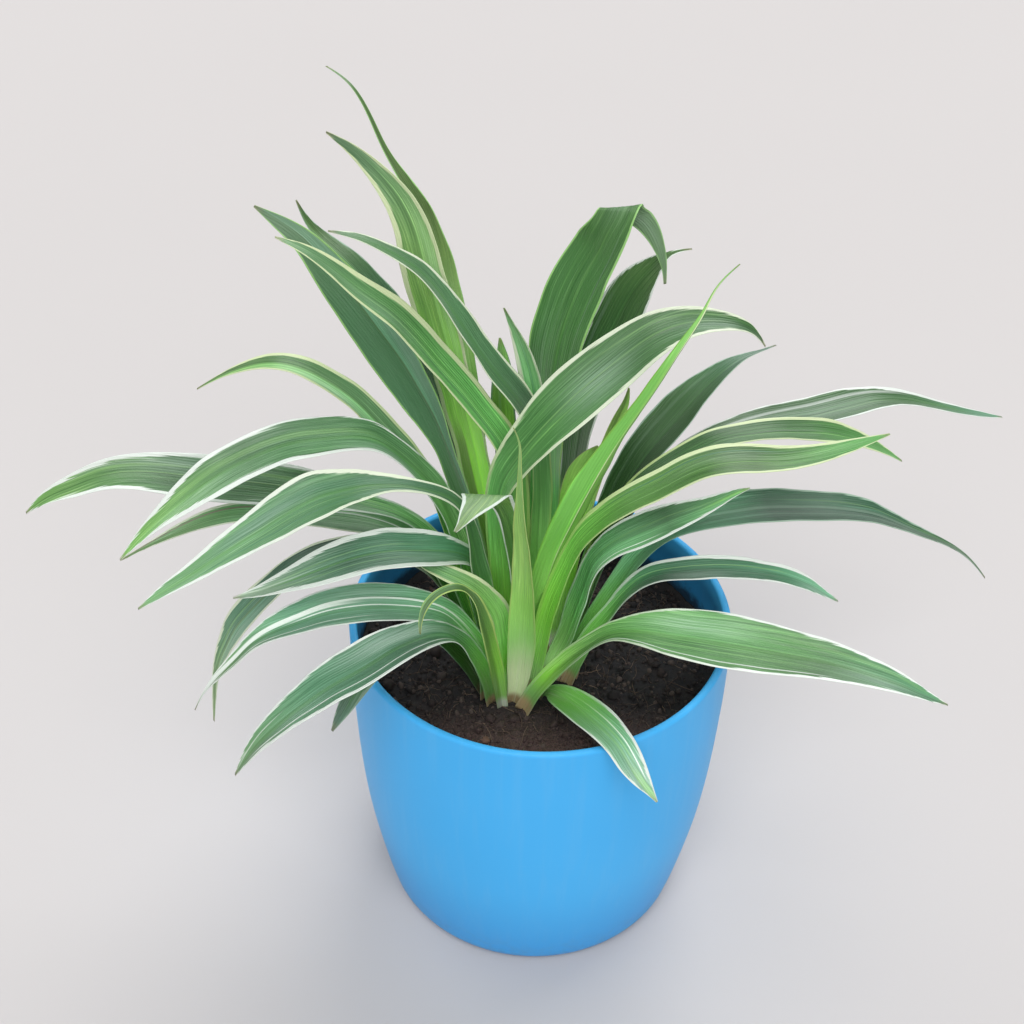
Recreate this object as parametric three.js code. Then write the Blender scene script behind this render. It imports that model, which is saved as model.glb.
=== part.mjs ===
// Spider plant with variegated strap leaves, growing in a round tapered pot filled with coir soil.
// Millimetres, +Z up, origin at the centre of the pot's flat underside. -Y is the front, +X the right.
import * as THREE from "three";

// ---- pot ----
const RIM_OUTER_R = 75; // 150 mm across the rim
const POT_HEIGHT = 140;
const WALL = 2.6; // side wall thickness
const LIP_WALL = 3.1; // thickness of the rounded lip
const LIP_ROUND = 1.3; // radius on the lip's edges
const FLOOR_THICKNESS = 3.4;
const POT_SEGMENTS = 48;
// outer wall, height and radius: flat foot, small rounded edge, then a gentle taper out to the rim
const OUTER_WALL = [
  [0, 55.5],
  [0.5, 58.3],
  [1.8, 60.3],
  [5, 61.7],
  [12, 63.4],
  [25, 66.1],
  [45, 69.6],
  [75, 72.8],
  [110, 74.6],
];

// ---- soil ----
const SOIL_TOP = 117.2; // highest level, under the crown
const SOIL_DIP = 3.2; // how far it falls away toward the wall
const SOIL_GAP = 0.3; // clearance to the wall and the floor
const SOIL_RINGS = 7;
const SOIL_SEGMENTS = 28;

// ---- leaves ----
const MIDRIB_THICKNESS = 0.6;
const EDGE_THICKNESS = 0.32;
const LEAF_SOIL_GAP = 0.3; // clearance between a leaf's cut base and the soil
const TIP_TAPER_STATIONS = 2.2; // stations over which the thickness grows from the tip
const TIP_THICKNESS_SHARE = 0.45;

const COLOURS = { pot: 0x5fb8f2, soil: 0x33291f, leaf: 0x3f8a45 };

// Each leaf runs from its tip to its base in the soil. One row is one station along the midrib:
// x, y, z of the midrib, half width, direction of the blade's cross line (azimuth and elevation in degrees),
// and how far the edges stand off the midrib as a share of the half width (the keel of the folded blade).
const LEAVES = {
  leaf_tall_thread_tip: [
    [-81.12, 67.73, 337.96, 0.44, 57, -14, 0.22],
    [-72.28, 60.73, 334.76, 0.84, 61.7, -15.2, 0.22],
    [-65.55, 55.4, 325.88, 1.24, 66.1, -13.6, 0.22],
    [-60, 50.95, 314.96, 1.85, 66.8, -12.5, 0.22],
    [-52.72, 45.06, 305.25, 3.48, 66.3, -11.7, 0.22],
    [-46.15, 39.66, 294.67, 5.87, 66, -8.8, 0.22],
    [-42.28, 36.48, 281.81, 7.75, 64, -5.1, 0.22],
    [-39.75, 34.36, 267.96, 9.21, 61, -3.1, 0.22],
    [-37.62, 32.48, 253.64, 10.13, 58.8, -2.6, 0.22],
    [-35.21, 30.28, 239.12, 10.23, 57.8, -2.6, 0.22],
    [-32.7, 27.87, 224.48, 9.76, 57.5, -2.8, 0.22],
    [-30.21, 25.36, 209.71, 8.94, 57.8, -3, 0.22],
    [-27.93, 23, 194.73, 7.82, 56.4, -2.4, 0.24],
    [-25.67, 20.94, 179.4, 6.41, 51, -0.7, 0.27],
    [-23.33, 19.17, 163.6, 5.16, 43.6, 1.8, 0.3],
    [-20.99, 17.74, 147.04, 4.26, 38.2, 5.7, 0.33],
    [-15.54, 14.35, 131.05, 3.56, 36.3, 10.8, 0.36],
    [-6.68, 8.65, 117.5, 3.04, 36.7, 14.1, 0.4],
  ],
  leaf_tall_cream_edge: [
    [-79.69, 45.87, 324.11, 0.5, -49.6, 70.7, 0.22],
    [-70.52, 40.53, 320.86, 2.5, -28.1, 65.6, 0.22],
    [-61.72, 35.31, 315.32, 4.24, -16.6, 53.9, 0.22],
    [-53.87, 30.61, 307.69, 5.9, -14.3, 39, 0.22],
    [-48.63, 27.35, 297.39, 7.24, -16.5, 25.6, 0.22],
    [-45.64, 25.35, 285.56, 8.38, -19.8, 18.7, 0.22],
    [-42.37, 23.09, 273.51, 9.04, -23.6, 17.6, 0.22],
    [-39.02, 20.65, 261.22, 9.15, -28.1, 17.8, 0.22],
    [-35.52, 18.12, 248.71, 9.11, -33, 17.6, 0.22],
    [-32.07, 15.74, 235.87, 9.27, -37.3, 16.4, 0.22],
    [-28.84, 13.65, 222.59, 9.3, -40.3, 14.6, 0.22],
    [-25.73, 11.8, 208.81, 8.82, -42.1, 12.3, 0.22],
    [-23.24, 10.7, 194.42, 7.97, -40.9, 10.6, 0.24],
    [-19.72, 9.82, 179.61, 6.82, -34, 10.1, 0.27],
    [-16.56, 9.11, 164.26, 5.84, -23.7, 10.4, 0.3],
    [-15.66, 8.49, 148.62, 5.09, -12.5, 11.9, 0.33],
    [-13.11, 7.23, 132.98, 4.54, -3.3, 13.8, 0.36],
    [-9.01, 5.48, 117.5, 4.17, 0.9, 14.7, 0.4],
  ],
  leaf_broad_upper_left: [
    [-103.38, 24.4, 306.75, 0.5, -16.4, 59.6, 0.4],
    [-94.66, 23.26, 301.66, 2.9, -1, 54.8, 0.4],
    [-86.21, 21.85, 295.3, 4.6, 6.1, 45.6, 0.4],
    [-79.34, 20.85, 286.57, 6.29, 7.1, 38.2, 0.4],
    [-72.45, 19.85, 277.31, 7.83, 4.1, 34.7, 0.4],
    [-65.6, 18.65, 267.62, 8.72, -2.3, 33, 0.4],
    [-58.78, 17.39, 257.53, 9.46, -11.3, 31.1, 0.4],
    [-52.14, 16.1, 246.93, 10.12, -20.7, 28.8, 0.4],
    [-45.92, 14.41, 235.82, 9.72, -29.2, 26, 0.4],
    [-40.25, 12.18, 224.14, 7.66, -36.1, 22.2, 0.4],
    [-35.54, 10.23, 211.72, 5.61, -41.6, 17.6, 0.4],
    [-31.32, 9.4, 198.79, 6.16, -45.5, 13.7, 0.4],
    [-27.63, 9.07, 185.48, 6.77, -45.3, 11.7, 0.45],
    [-25.02, 8.4, 171.78, 5.71, -38.9, 11.1, 0.5],
    [-22.8, 7.67, 157.89, 4.61, -29.1, 11, 0.56],
    [-20.97, 6.99, 143.87, 4.04, -18, 11.9, 0.61],
    [-18.61, 6.06, 129.87, 3.71, -7.9, 14.1, 0.67],
    [-15.22, 3.65, 117.5, 3.41, -2.9, 15.9, 0.72],
  ],
  leaf_dark_upper_left: [
    [-92.4, 50, 294.15, 0.5, 73.4, -5, 0.22],
    [-88.11, 48.08, 285.59, 2.34, 71.5, -5.9, 0.22],
    [-80.79, 44.57, 279.37, 4.3, 69.3, -5.8, 0.22],
    [-72.9, 40.79, 273.66, 5.82, 68.6, -4.9, 0.22],
    [-65.89, 37.48, 266.13, 7.11, 69, -4.2, 0.22],
    [-59.07, 34.23, 257.98, 8.51, 69.8, -3.6, 0.22],
    [-53.33, 31.61, 248.49, 8.77, 70.5, -2.8, 0.22],
    [-48.53, 29.49, 237.89, 8.6, 71.1, -2.2, 0.22],
    [-44.28, 27.65, 226.61, 8.35, 71.4, -1.9, 0.22],
    [-40.38, 25.97, 214.9, 7.83, 71.4, -1.7, 0.22],
    [-36.94, 24.47, 202.78, 7.47, 70.8, -1.6, 0.22],
    [-34, 23.12, 190.32, 7.37, 70, -1.7, 0.22],
    [-31.23, 21.8, 177.69, 6.79, 66.2, -1.4, 0.25],
    [-28.39, 20.4, 165, 5.62, 57.6, -0.2, 0.28],
    [-25.49, 18.7, 152.38, 4.58, 47, 1.4, 0.31],
    [-22.91, 16.74, 139.8, 3.9, 38.3, 3.9, 0.34],
    [-20.24, 14.32, 127.16, 3.44, 35.4, 8.4, 0.37],
    [-13.98, 9.86, 117.5, 3.04, 36.5, 12.1, 0.4],
  ],
  leaf_crossing_upper: [
    [-76.63, 9.61, 306.28, 0.5, 91.3, 0.9, 0.22],
    [-66.67, 9.89, 303.77, 2.25, 90.6, 1.9, 0.22],
    [-56.83, 10.13, 298.76, 3.5, 89.3, 3.1, 0.22],
    [-47.44, 10.37, 292.11, 4.7, 87, 4.6, 0.22],
    [-39.75, 10.62, 282.92, 5.57, 83.9, 5.7, 0.22],
    [-33.32, 10.87, 272.09, 6.67, 82, 5.9, 0.22],
    [-26.92, 11.08, 260.68, 7.38, 81.9, 5.6, 0.22],
    [-19.96, 11.18, 249.14, 7.86, 82.1, 5.2, 0.22],
    [-12.26, 11.27, 237.92, 8.04, 79.8, 5.4, 0.22],
    [-5.97, 11.4, 225.85, 7.38, 73.1, 5.3, 0.22],
    [-3.42, 11.55, 212.07, 7.13, 65.2, 2.9, 0.22],
    [-2.23, 11.4, 197.92, 7, 59.4, -0.7, 0.23],
    [-2.14, 10.7, 183.93, 6.26, 51.6, -3.9, 0.25],
    [-2.32, 9.29, 170.29, 5.17, 41.6, -5.8, 0.28],
    [-2.59, 7.49, 156.83, 4.26, 31.5, -5.3, 0.31],
    [-2.96, 5.45, 143.45, 3.66, 25, -1.7, 0.34],
    [-2.06, 3.28, 130.12, 3.24, 23.7, 4.4, 0.37],
    [1.45, 1.18, 117.5, 2.95, 25.3, 8.7, 0.4],
  ],
  leaf_arching_centre_left: [
    [-92.44, -6.05, 313.16, 0.5, 90.6, 7.3, 0.22],
    [-82.79, -5.16, 307.49, 2.67, 87.8, 10.6, 0.22],
    [-73.67, -4.08, 299.35, 4.43, 84.8, 13, 0.22],
    [-64.73, -2.84, 289.94, 5.85, 83.2, 14.1, 0.22],
    [-54.95, -1.51, 280.94, 7.1, 82.2, 14, 0.22],
    [-46.67, -0.49, 270.1, 7.65, 81, 13.1, 0.22],
    [-38.85, 0.62, 258.48, 8.1, 80.7, 11.4, 0.22],
    [-30.91, 1.5, 246.81, 8.16, 80.5, 8.9, 0.22],
    [-23.31, 1.83, 235.25, 8.04, 78.2, 5.9, 0.22],
    [-16.55, 1.54, 224, 8.34, 72.8, 2.1, 0.22],
    [-12.48, 0.25, 212.65, 8.54, 66.2, -2.3, 0.22],
    [-11.31, -1.78, 200.67, 7.85, 61.8, -4.8, 0.23],
    [-10.5, -3.58, 188.24, 6.72, 56.6, -3.8, 0.25],
    [-9.87, -4.58, 175.17, 5.5, 48.9, -1.1, 0.28],
    [-9.33, -5, 161.48, 4.52, 41.1, 2.6, 0.31],
    [-7.75, -4.96, 147.34, 3.81, 34.9, 7.1, 0.34],
    [-4.65, -4.6, 133.06, 3.29, 29.9, 10.3, 0.37],
    [-1.35, -4.01, 117.5, 2.96, 27.5, 11.3, 0.4],
  ],
  leaf_arching_centre_right: [
    [76.01, 8.64, 263.66, 0.5, -99.3, -19.4, 0.2],
    [69.5, 7.01, 272.23, 2.19, -92.7, -21.4, 0.2],
    [59.17, 5.02, 276.25, 4.24, -83.7, -23.5, 0.2],
    [47.9, 2.73, 276.92, 6.07, -74, -27.6, 0.2],
    [37, 0.3, 273.87, 7.96, -61.8, -30.1, 0.2],
    [27.23, -2.25, 267.28, 9.44, -52.4, -29.3, 0.2],
    [17.65, -5.35, 259.7, 10.42, -49.4, -25.9, 0.2],
    [8.14, -9.26, 251.98, 10.89, -51.3, -20.3, 0.2],
    [-0.78, -13.02, 243.21, 10.37, -56.2, -14.1, 0.2],
    [-8.98, -15.44, 232.38, 8.99, -60.8, -10.3, 0.2],
    [-15.63, -15.56, 218.64, 7.45, -59.7, -7.5, 0.2],
    [-17.07, -14.86, 202.14, 6.84, -55.1, -3.3, 0.2],
    [-15.85, -13.8, 185.07, 6.3, -48.4, 0.2, 0.23],
    [-14.64, -12.81, 168.36, 5.37, -37.6, 3, 0.26],
    [-13.34, -12.24, 153.04, 4.58, -25.1, 6, 0.29],
    [-11.19, -11.53, 139.52, 4.1, -14.3, 8.8, 0.32],
    [-9.04, -11.02, 127.2, 3.84, -7.7, 10.2, 0.34],
    [-7.25, -10.71, 117.5, 3.72, -5.3, 10.5, 0.36],
  ],
  leaf_centre_spike: [
    [-12.15, -63.05, 279.92, 0.34, -46.5, -1, 0.35],
    [-10.11, -61.18, 272.24, 0.5, -51, -5.4, 0.35],
    [-9.65, -59.19, 263.78, 0.84, -56, -9.3, 0.35],
    [-9.34, -57.05, 255, 1.39, -58.2, -10.8, 0.35],
    [-9.02, -54.72, 245.96, 2.19, -57.9, -11.1, 0.35],
    [-8.62, -52.28, 236.69, 3.05, -56.3, -10.8, 0.35],
    [-8.15, -49.7, 227.2, 3.86, -53.5, -10, 0.35],
    [-7.42, -47.05, 217.48, 4.55, -50.1, -9.2, 0.35],
    [-6.95, -44.37, 207.5, 4.84, -45.9, -8.8, 0.35],
    [-6.73, -41.66, 197.33, 4.9, -40.2, -8.2, 0.35],
    [-6.69, -38.86, 187.01, 4.95, -32.8, -7.2, 0.35],
    [-6.86, -35.99, 176.6, 5.04, -24.2, -5.5, 0.36],
    [-6.97, -32.96, 166.16, 5.16, -15.1, -3.5, 0.41],
    [-7.07, -30.09, 155.68, 5.21, -9.2, -2.7, 0.46],
    [-7.4, -27.69, 145.31, 4.92, -7.2, -3.3, 0.51],
    [-7.83, -26.04, 135.28, 4.35, -7.9, -4.6, 0.55],
    [-8.41, -25.37, 125.92, 3.46, -10.1, -6.5, 0.59],
    [-9.6, -25.25, 117.5, 2.69, -12.6, -8.1, 0.63],
  ],
  leaf_centre_curled_tip: [
    [-30.89, -64.32, 236.75, 0.5, -15.8, -17.9, 0.08],
    [-28.98, -61.5, 237.74, 1.33, -15, -17.2, 0.1],
    [-27.07, -58.14, 238.79, 2.68, -12.3, -14.2, 0.1],
    [-24.38, -53.41, 239.11, 4.64, -7.6, -8.9, 0.06],
    [-22.32, -49.49, 238.96, 6.59, -3, -3.6, 0.03],
    [-20.91, -45.05, 237.1, 8.34, -0.4, -0.5, 0],
    [-18.54, -42.91, 233.57, 6.7, 2, -3.9, -0.05],
    [-16.31, -40.62, 229.47, 5.22, 3.8, -8, -0.1],
    [-14.24, -38.54, 223.77, 4.27, 5.7, -12, -0.2],
    [-12.45, -36.1, 215.21, 3.92, 6.7, -14, -0.26],
    [-10.96, -33.16, 204.77, 3.78, 8.3, -15.3, -0.28],
    [-9.68, -30.47, 193.95, 3.55, 9.7, -15.1, -0.28],
    [-8.76, -27.8, 183.01, 3.33, 10.9, -13.6, -0.25],
    [-8.32, -25.56, 172.26, 3.16, 12, -10.7, -0.2],
    [-8.27, -23.75, 162.64, 3.01, 12.2, -7.2, -0.16],
    [-8.29, -22.66, 152.95, 2.86, 13.2, -2.9, -0.13],
    [-8.25, -22.02, 143.43, 2.73, 14.4, -0.1, -0.13],
    [-8.16, -21.97, 134.61, 2.62, 14.9, 2.1, -0.12],
    [-7.88, -22.23, 125.97, 2.48, 15.5, 4.2, -0.1],
    [-7.6, -22, 117.5, 2.25, 15.6, 4.8, -0.05],
  ],
  leaf_left_cream_edge: [
    [-124.84, -1.25, 246.65, 0.45, 94.3, 2.8, 0.22],
    [-116.9, -0.89, 251.69, 1.2, 93.5, 2.7, 0.22],
    [-107.86, -0.59, 255.87, 2.9, 91.9, 1.4, 0.22],
    [-97.8, -0.39, 257.97, 4.76, 90.8, 0, 0.22],
    [-87.51, -0.28, 255.73, 5.89, 89.9, 0.5, 0.22],
    [-78.02, -0.26, 249.78, 6.66, 87.9, 1.7, 0.22],
    [-69.26, -0.43, 242.28, 7.34, 85.5, 2.1, 0.22],
    [-61.76, -0.89, 233.25, 7.5, 83.8, 1.5, 0.22],
    [-54.46, -1.6, 223.78, 7.36, 83, 0.7, 0.22],
    [-47.23, -2.44, 214.16, 6.6, 81.5, 0.5, 0.22],
    [-41.28, -3.28, 203.72, 6.02, 78.6, 0.8, 0.22],
    [-37.25, -4.07, 192.18, 6.07, 75.3, 1.1, 0.22],
    [-33.56, -4.77, 180.26, 5.74, 70.2, 2.1, 0.25],
    [-29.98, -5.41, 168.11, 4.86, 61, 4.3, 0.28],
    [-26.43, -6.03, 155.74, 4.06, 49.5, 6.7, 0.31],
    [-23.34, -6.65, 143.08, 3.55, 38.9, 8.7, 0.34],
    [-20.13, -7.29, 130.23, 3.2, 31.8, 10.7, 0.37],
    [-16.58, -7.97, 117.5, 2.92, 29.2, 11.8, 0.4],
  ],
  leaf_left_large: [
    [-148.89, -47.33, 205.68, 0.5, 117.4, 5.8, 0.22],
    [-141.78, -44.39, 213.35, 2.24, 121.2, 10.9, 0.22],
    [-133.43, -41.08, 220.73, 4.17, 123.7, 16.4, 0.22],
    [-124.06, -37.46, 227.63, 6.36, 123.9, 20.8, 0.22],
    [-113.86, -33.78, 234.1, 7.84, 120.6, 22.2, 0.22],
    [-102.34, -30.02, 239.09, 8.3, 114.7, 19.8, 0.22],
    [-89.82, -26.16, 242.3, 8.75, 109.1, 14.4, 0.22],
    [-76.41, -22.16, 242.04, 9, 105.7, 8.9, 0.22],
    [-62.96, -18.16, 239.39, 7.81, 102.6, 7.3, 0.22],
    [-52.5, -14.95, 229.58, 6.8, 96.3, 8.4, 0.22],
    [-44, -12.61, 217.24, 7.37, 88.4, 7.6, 0.22],
    [-37.33, -11.57, 204.09, 7.25, 80.8, 4.6, 0.22],
    [-32.75, -12.12, 190.64, 6.15, 72.2, 2, 0.25],
    [-28.75, -13.61, 177.48, 5.17, 62.4, 2.2, 0.28],
    [-25.23, -15.04, 163.99, 4.37, 52.3, 5.3, 0.3],
    [-22.02, -15.41, 149.26, 3.79, 42.3, 9, 0.33],
    [-18.39, -14.76, 133.55, 3.46, 34.2, 11.6, 0.36],
    [-14.73, -13.67, 117.5, 3.31, 30.8, 12.6, 0.4],
  ],
  leaf_left_front: [
    [-139.6, -67.87, 201.63, 0.5, 108.9, 2.6, 0.22],
    [-130.54, -65, 207.41, 2.7, 111.5, 6.8, 0.22],
    [-120.71, -61.79, 212.96, 4.33, 114, 10.9, 0.22],
    [-110.7, -58.46, 219.07, 5.94, 116.1, 14.1, 0.22],
    [-100.27, -55.03, 225.11, 7.51, 116.6, 15.5, 0.22],
    [-89.61, -51.56, 231.21, 9.27, 114.7, 14.5, 0.22],
    [-78.53, -48.07, 236.17, 10.22, 111, 11.1, 0.22],
    [-66.57, -44.31, 237.8, 8.22, 108.6, 6.8, 0.22],
    [-54.14, -40.19, 236.54, 4.81, 108, 4.1, 0.22],
    [-42.3, -36, 231.58, 3.48, 106.2, 5.8, 0.22],
    [-32.27, -32.15, 223.05, 3.53, 95.9, 11.2, 0.22],
    [-27.72, -29.9, 209.77, 4.72, 80, 11.6, 0.22],
    [-25.62, -28.21, 195.05, 5.77, 70.5, 9.8, 0.24],
    [-23.42, -26.23, 179.62, 5.5, 61.7, 10.4, 0.27],
    [-20.78, -23.72, 163.44, 4.54, 51, 11.3, 0.3],
    [-17.8, -21.48, 147.37, 3.83, 40.3, 11.5, 0.34],
    [-14.68, -20.15, 131.99, 3.47, 32.2, 11.4, 0.37],
    [-11.76, -19.29, 117.5, 3.3, 28.9, 11.4, 0.4],
  ],
  leaf_far_left: [
    [-189.81, -14.84, 198.69, 0.5, 113, 22.4, 0.22],
    [-181.54, -14.13, 205.65, 2.51, 115.7, 30.2, 0.22],
    [-171.27, -13.29, 210.72, 4.27, 114.1, 38, 0.22],
    [-160.35, -12.5, 215.3, 5.35, 107, 44.3, 0.22],
    [-148.32, -11.68, 216.71, 6.5, 95.6, 46.8, 0.22],
    [-135.84, -10.86, 215.29, 7.72, 87.8, 45.4, 0.22],
    [-122.98, -10.15, 213.08, 8.48, 86.4, 41.4, 0.22],
    [-109.73, -9.61, 211.36, 8.68, 87.3, 34.6, 0.22],
    [-96.33, -9.17, 209.31, 8.61, 87.7, 25.3, 0.22],
    [-82.88, -8.83, 206.56, 7.64, 88.5, 15.4, 0.22],
    [-69.57, -8.43, 202.09, 5.75, 90.2, 7, 0.22],
    [-56.16, -7.84, 197.36, 4.31, 91.3, 2.8, 0.22],
    [-45.01, -7.18, 188.61, 3.98, 87.5, 5, 0.24],
    [-37.65, -6.54, 176.09, 4.03, 74.4, 9.7, 0.27],
    [-32.36, -5.93, 162.12, 4.04, 58.3, 11.8, 0.3],
    [-27.66, -5.47, 147.65, 3.67, 43.9, 12.2, 0.33],
    [-23.54, -5.16, 132.77, 3.24, 32.8, 11.4, 0.36],
    [-20.55, -4.95, 117.5, 2.94, 27.6, 10.4, 0.4],
  ],
  leaf_left_under: [
    [-154.36, -26.61, 187.14, 0.49, 97.9, -3.6, 0.22],
    [-146.7, -25.27, 191.43, 1.26, 98.2, -3.2, 0.22],
    [-138.43, -23.83, 195.62, 2.68, 98.5, -3, 0.22],
    [-129.66, -22.31, 199.53, 4.51, 98.7, -3.3, 0.22],
    [-120.4, -20.71, 202.58, 5.82, 99.1, -4, 0.22],
    [-110.55, -18.97, 203.73, 6.1, 99.9, -4.2, 0.22],
    [-100.36, -17.18, 202.54, 6.67, 100.4, -3.6, 0.22],
    [-89.92, -15.33, 200.49, 7.65, 100.5, -2.8, 0.22],
    [-79.32, -13.44, 198.15, 8.3, 100.6, -2.2, 0.22],
    [-68.77, -11.55, 195.27, 8.53, 100.4, -1.1, 0.22],
    [-58.79, -9.7, 190.77, 7.86, 99.2, 1.3, 0.22],
    [-49.96, -8, 183.91, 7.05, 95.1, 4.9, 0.22],
    [-42.87, -6.51, 174.96, 6.29, 86, 8.8, 0.24],
    [-37.87, -5.35, 164.28, 5.18, 72.1, 11.9, 0.27],
    [-33.38, -4.39, 152.97, 4.21, 58.4, 13.9, 0.3],
    [-29.18, -3.54, 141.32, 3.6, 46.6, 15.5, 0.33],
    [-25.07, -2.76, 129.46, 3.2, 38, 16.4, 0.36],
    [-21.17, -2.02, 117.5, 2.93, 34.4, 16.7, 0.4],
  ],
  leaf_left_middle: [
    [-108.83, -56.62, 197.31, 0.5, 105.1, -1.6, 0.22],
    [-101.48, -54.57, 197.91, 2.33, 106.3, 4.1, 0.22],
    [-93.81, -52.3, 199.58, 4.09, 108.4, 9.8, 0.22],
    [-85.96, -49.89, 201.61, 5.73, 110.4, 14, 0.22],
    [-77.98, -47.35, 203.73, 7.2, 111.3, 15.8, 0.22],
    [-69.87, -44.67, 205.44, 8.27, 111, 15.1, 0.22],
    [-61.6, -41.79, 206.03, 8.83, 110.6, 12.5, 0.22],
    [-53.27, -38.54, 204.99, 9.49, 111.4, 9.5, 0.22],
    [-44.92, -34.78, 202.06, 9.5, 113.6, 7.5, 0.22],
    [-36.49, -30.26, 198.14, 7.82, 114.2, 9.3, 0.22],
    [-28.79, -25.05, 191.61, 5.42, 105.6, 15.9, 0.22],
    [-24.11, -20.72, 181.25, 4.58, 85.7, 17.6, 0.22],
    [-22.2, -18.34, 170.1, 4.55, 67.8, 11.8, 0.25],
    [-21.04, -17.2, 159.22, 4.14, 53.9, 6.2, 0.28],
    [-20.23, -16.94, 148.64, 3.63, 42.4, 3.8, 0.31],
    [-19.34, -17.08, 138.3, 3.28, 33.6, 4.4, 0.34],
    [-17.92, -17.21, 128.12, 3.12, 27.5, 5.8, 0.37],
    [-16.46, -17.34, 117.5, 3.08, 25, 6.5, 0.4],
  ],
  leaf_left_short: [
    [-46.7, -36.44, 201.01, 0.5, 70.7, 3.3, 0.22],
    [-43.35, -37.45, 198.39, 2, 70.4, 9.6, 0.22],
    [-39.15, -38.42, 196.86, 2.8, 73, 14, 0.22],
    [-34.84, -39.15, 195.2, 3.47, 76.6, 14.8, 0.22],
    [-30.53, -39.51, 193.06, 4, 81, 13.9, 0.22],
    [-26.44, -39.27, 189.99, 4.49, 85.1, 14.2, 0.22],
    [-22.85, -38.22, 185.58, 4.84, 86, 16.3, 0.22],
    [-20.03, -36.6, 179.98, 5.48, 82.8, 18.2, 0.22],
    [-17.69, -34.66, 173.82, 6.25, 75.6, 19, 0.22],
    [-16.22, -32.57, 167.19, 6.54, 66, 17.6, 0.22],
    [-15.58, -30.59, 160.16, 6.09, 59.6, 15.2, 0.22],
    [-15.01, -28.74, 153.07, 5.45, 56.8, 13.7, 0.23],
    [-14.5, -26.95, 146.13, 4.73, 50.5, 12.1, 0.26],
    [-13.91, -25.37, 139.38, 4.03, 40.5, 9.7, 0.29],
    [-13.31, -24.08, 132.92, 3.5, 29.6, 6.5, 0.32],
    [-12.98, -23.2, 126.8, 3.08, 20.4, 3.1, 0.35],
    [-12.86, -22.83, 121.14, 2.72, 14.9, 1, 0.37],
    [-12.82, -22.83, 117.5, 2.46, 13.1, 0.3, 0.4],
  ],
  leaf_left_small_curl: [
    [-42.63, -71.94, 196.82, 0.45, 127.8, -6.3, 0.22],
    [-42.22, -70.71, 202.65, 1.23, 123.3, -4.6, 0.22],
    [-40.01, -68.98, 208.15, 1.92, 115.7, -5.8, 0.22],
    [-35.4, -66.62, 211.63, 1.97, 115.7, -8.6, 0.22],
    [-29.71, -63.88, 211.17, 2.04, 118.2, 0.9, 0.22],
    [-26, -61.53, 206.09, 2.37, 104.2, 15.5, 0.22],
    [-23.77, -59.19, 199.79, 3.12, 86.4, 20.3, 0.22],
    [-22.52, -56.82, 192.99, 3.62, 75.9, 20.7, 0.22],
    [-21.31, -54.36, 186.01, 3.89, 70.2, 20.7, 0.22],
    [-20.23, -51.8, 178.91, 3.97, 65.2, 20.6, 0.22],
    [-19.36, -49.16, 171.64, 3.84, 60.5, 20.3, 0.22],
    [-18.51, -46.44, 164.24, 3.63, 56.3, 20.1, 0.22],
    [-17.66, -43.58, 156.77, 3.35, 49.8, 19.3, 0.24],
    [-16.83, -40.59, 149.2, 2.99, 39.2, 17.1, 0.27],
    [-16.12, -37.59, 141.5, 2.62, 28.4, 14, 0.3],
    [-15.44, -34.54, 133.7, 2.34, 20, 11.3, 0.33],
    [-14.8, -31.44, 125.78, 2.13, 14.8, 9.6, 0.36],
    [-14.18, -28.18, 117.5, 1.98, 12.6, 8.8, 0.4],
  ],
  leaf_left_hanging: [
    [-129.67, -16.92, 93.24, 0.5, 127.9, 2.6, 0.22],
    [-128.74, -16.71, 102.66, 1.25, 127.5, 3, 0.22],
    [-127.52, -16.48, 112.6, 1.94, 125.9, 4.1, 0.22],
    [-125.73, -16.13, 122.8, 3, 122.3, 5.8, 0.22],
    [-122.06, -15.46, 132.79, 5.15, 117.5, 7.2, 0.22],
    [-117.39, -14.72, 142.59, 7.04, 112.4, 7.6, 0.22],
    [-111.05, -13.83, 151.61, 7.91, 107.7, 6.8, 0.22],
    [-103.53, -12.81, 160.16, 7.83, 103.9, 5.1, 0.22],
    [-95.28, -11.69, 168.25, 7.55, 100.4, 2.3, 0.22],
    [-85.7, -10.38, 174.74, 7.82, 97.8, -1.7, 0.22],
    [-74.67, -8.8, 178.31, 7.66, 97.9, -4.9, 0.22],
    [-62.96, -7, 178.17, 7.06, 99.4, -4.2, 0.22],
    [-51.94, -5.16, 173.78, 6.33, 96.9, 2.5, 0.25],
    [-42.62, -3.42, 166.07, 5.37, 84.1, 12.1, 0.27],
    [-36.15, -2.18, 155.36, 4.4, 64.6, 16.5, 0.3],
    [-31.11, -1.34, 143.43, 3.74, 48.4, 17, 0.33],
    [-26.56, -0.66, 131.03, 3.31, 38.6, 17.1, 0.37],
    [-21.79, -0.05, 117.5, 2.95, 35, 17.2, 0.4],
  ],
  leaf_left_striped: [
    [-124.06, -69.84, 154.56, 0.38, 111.5, -3.2, 0.22],
    [-120.57, -68.08, 161.49, 0.77, 109.8, -5.1, 0.22],
    [-115.31, -65.55, 167.51, 2.38, 108.7, -7.3, 0.22],
    [-109.06, -62.57, 172.96, 3.93, 108.8, -8.4, 0.22],
    [-102.78, -59.62, 178.65, 5.08, 109.8, -9.1, 0.22],
    [-95.05, -56.11, 181.5, 7.45, 111.4, -8.5, 0.22],
    [-86.56, -52.34, 182.65, 9.2, 112, -6.3, 0.22],
    [-77.89, -48.68, 183.63, 10.15, 111.3, -3.9, 0.22],
    [-69.21, -45.34, 183.08, 10.6, 109.5, -2.1, 0.22],
    [-60.5, -42.43, 181.61, 10.8, 107, -1.6, 0.22],
    [-51.93, -40.13, 179.5, 10.4, 104.8, -2, 0.22],
    [-43.63, -38.24, 177.05, 9.19, 103.4, -1.4, 0.22],
    [-36.4, -36.57, 173.05, 7.91, 100.4, 2.9, 0.23],
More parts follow.
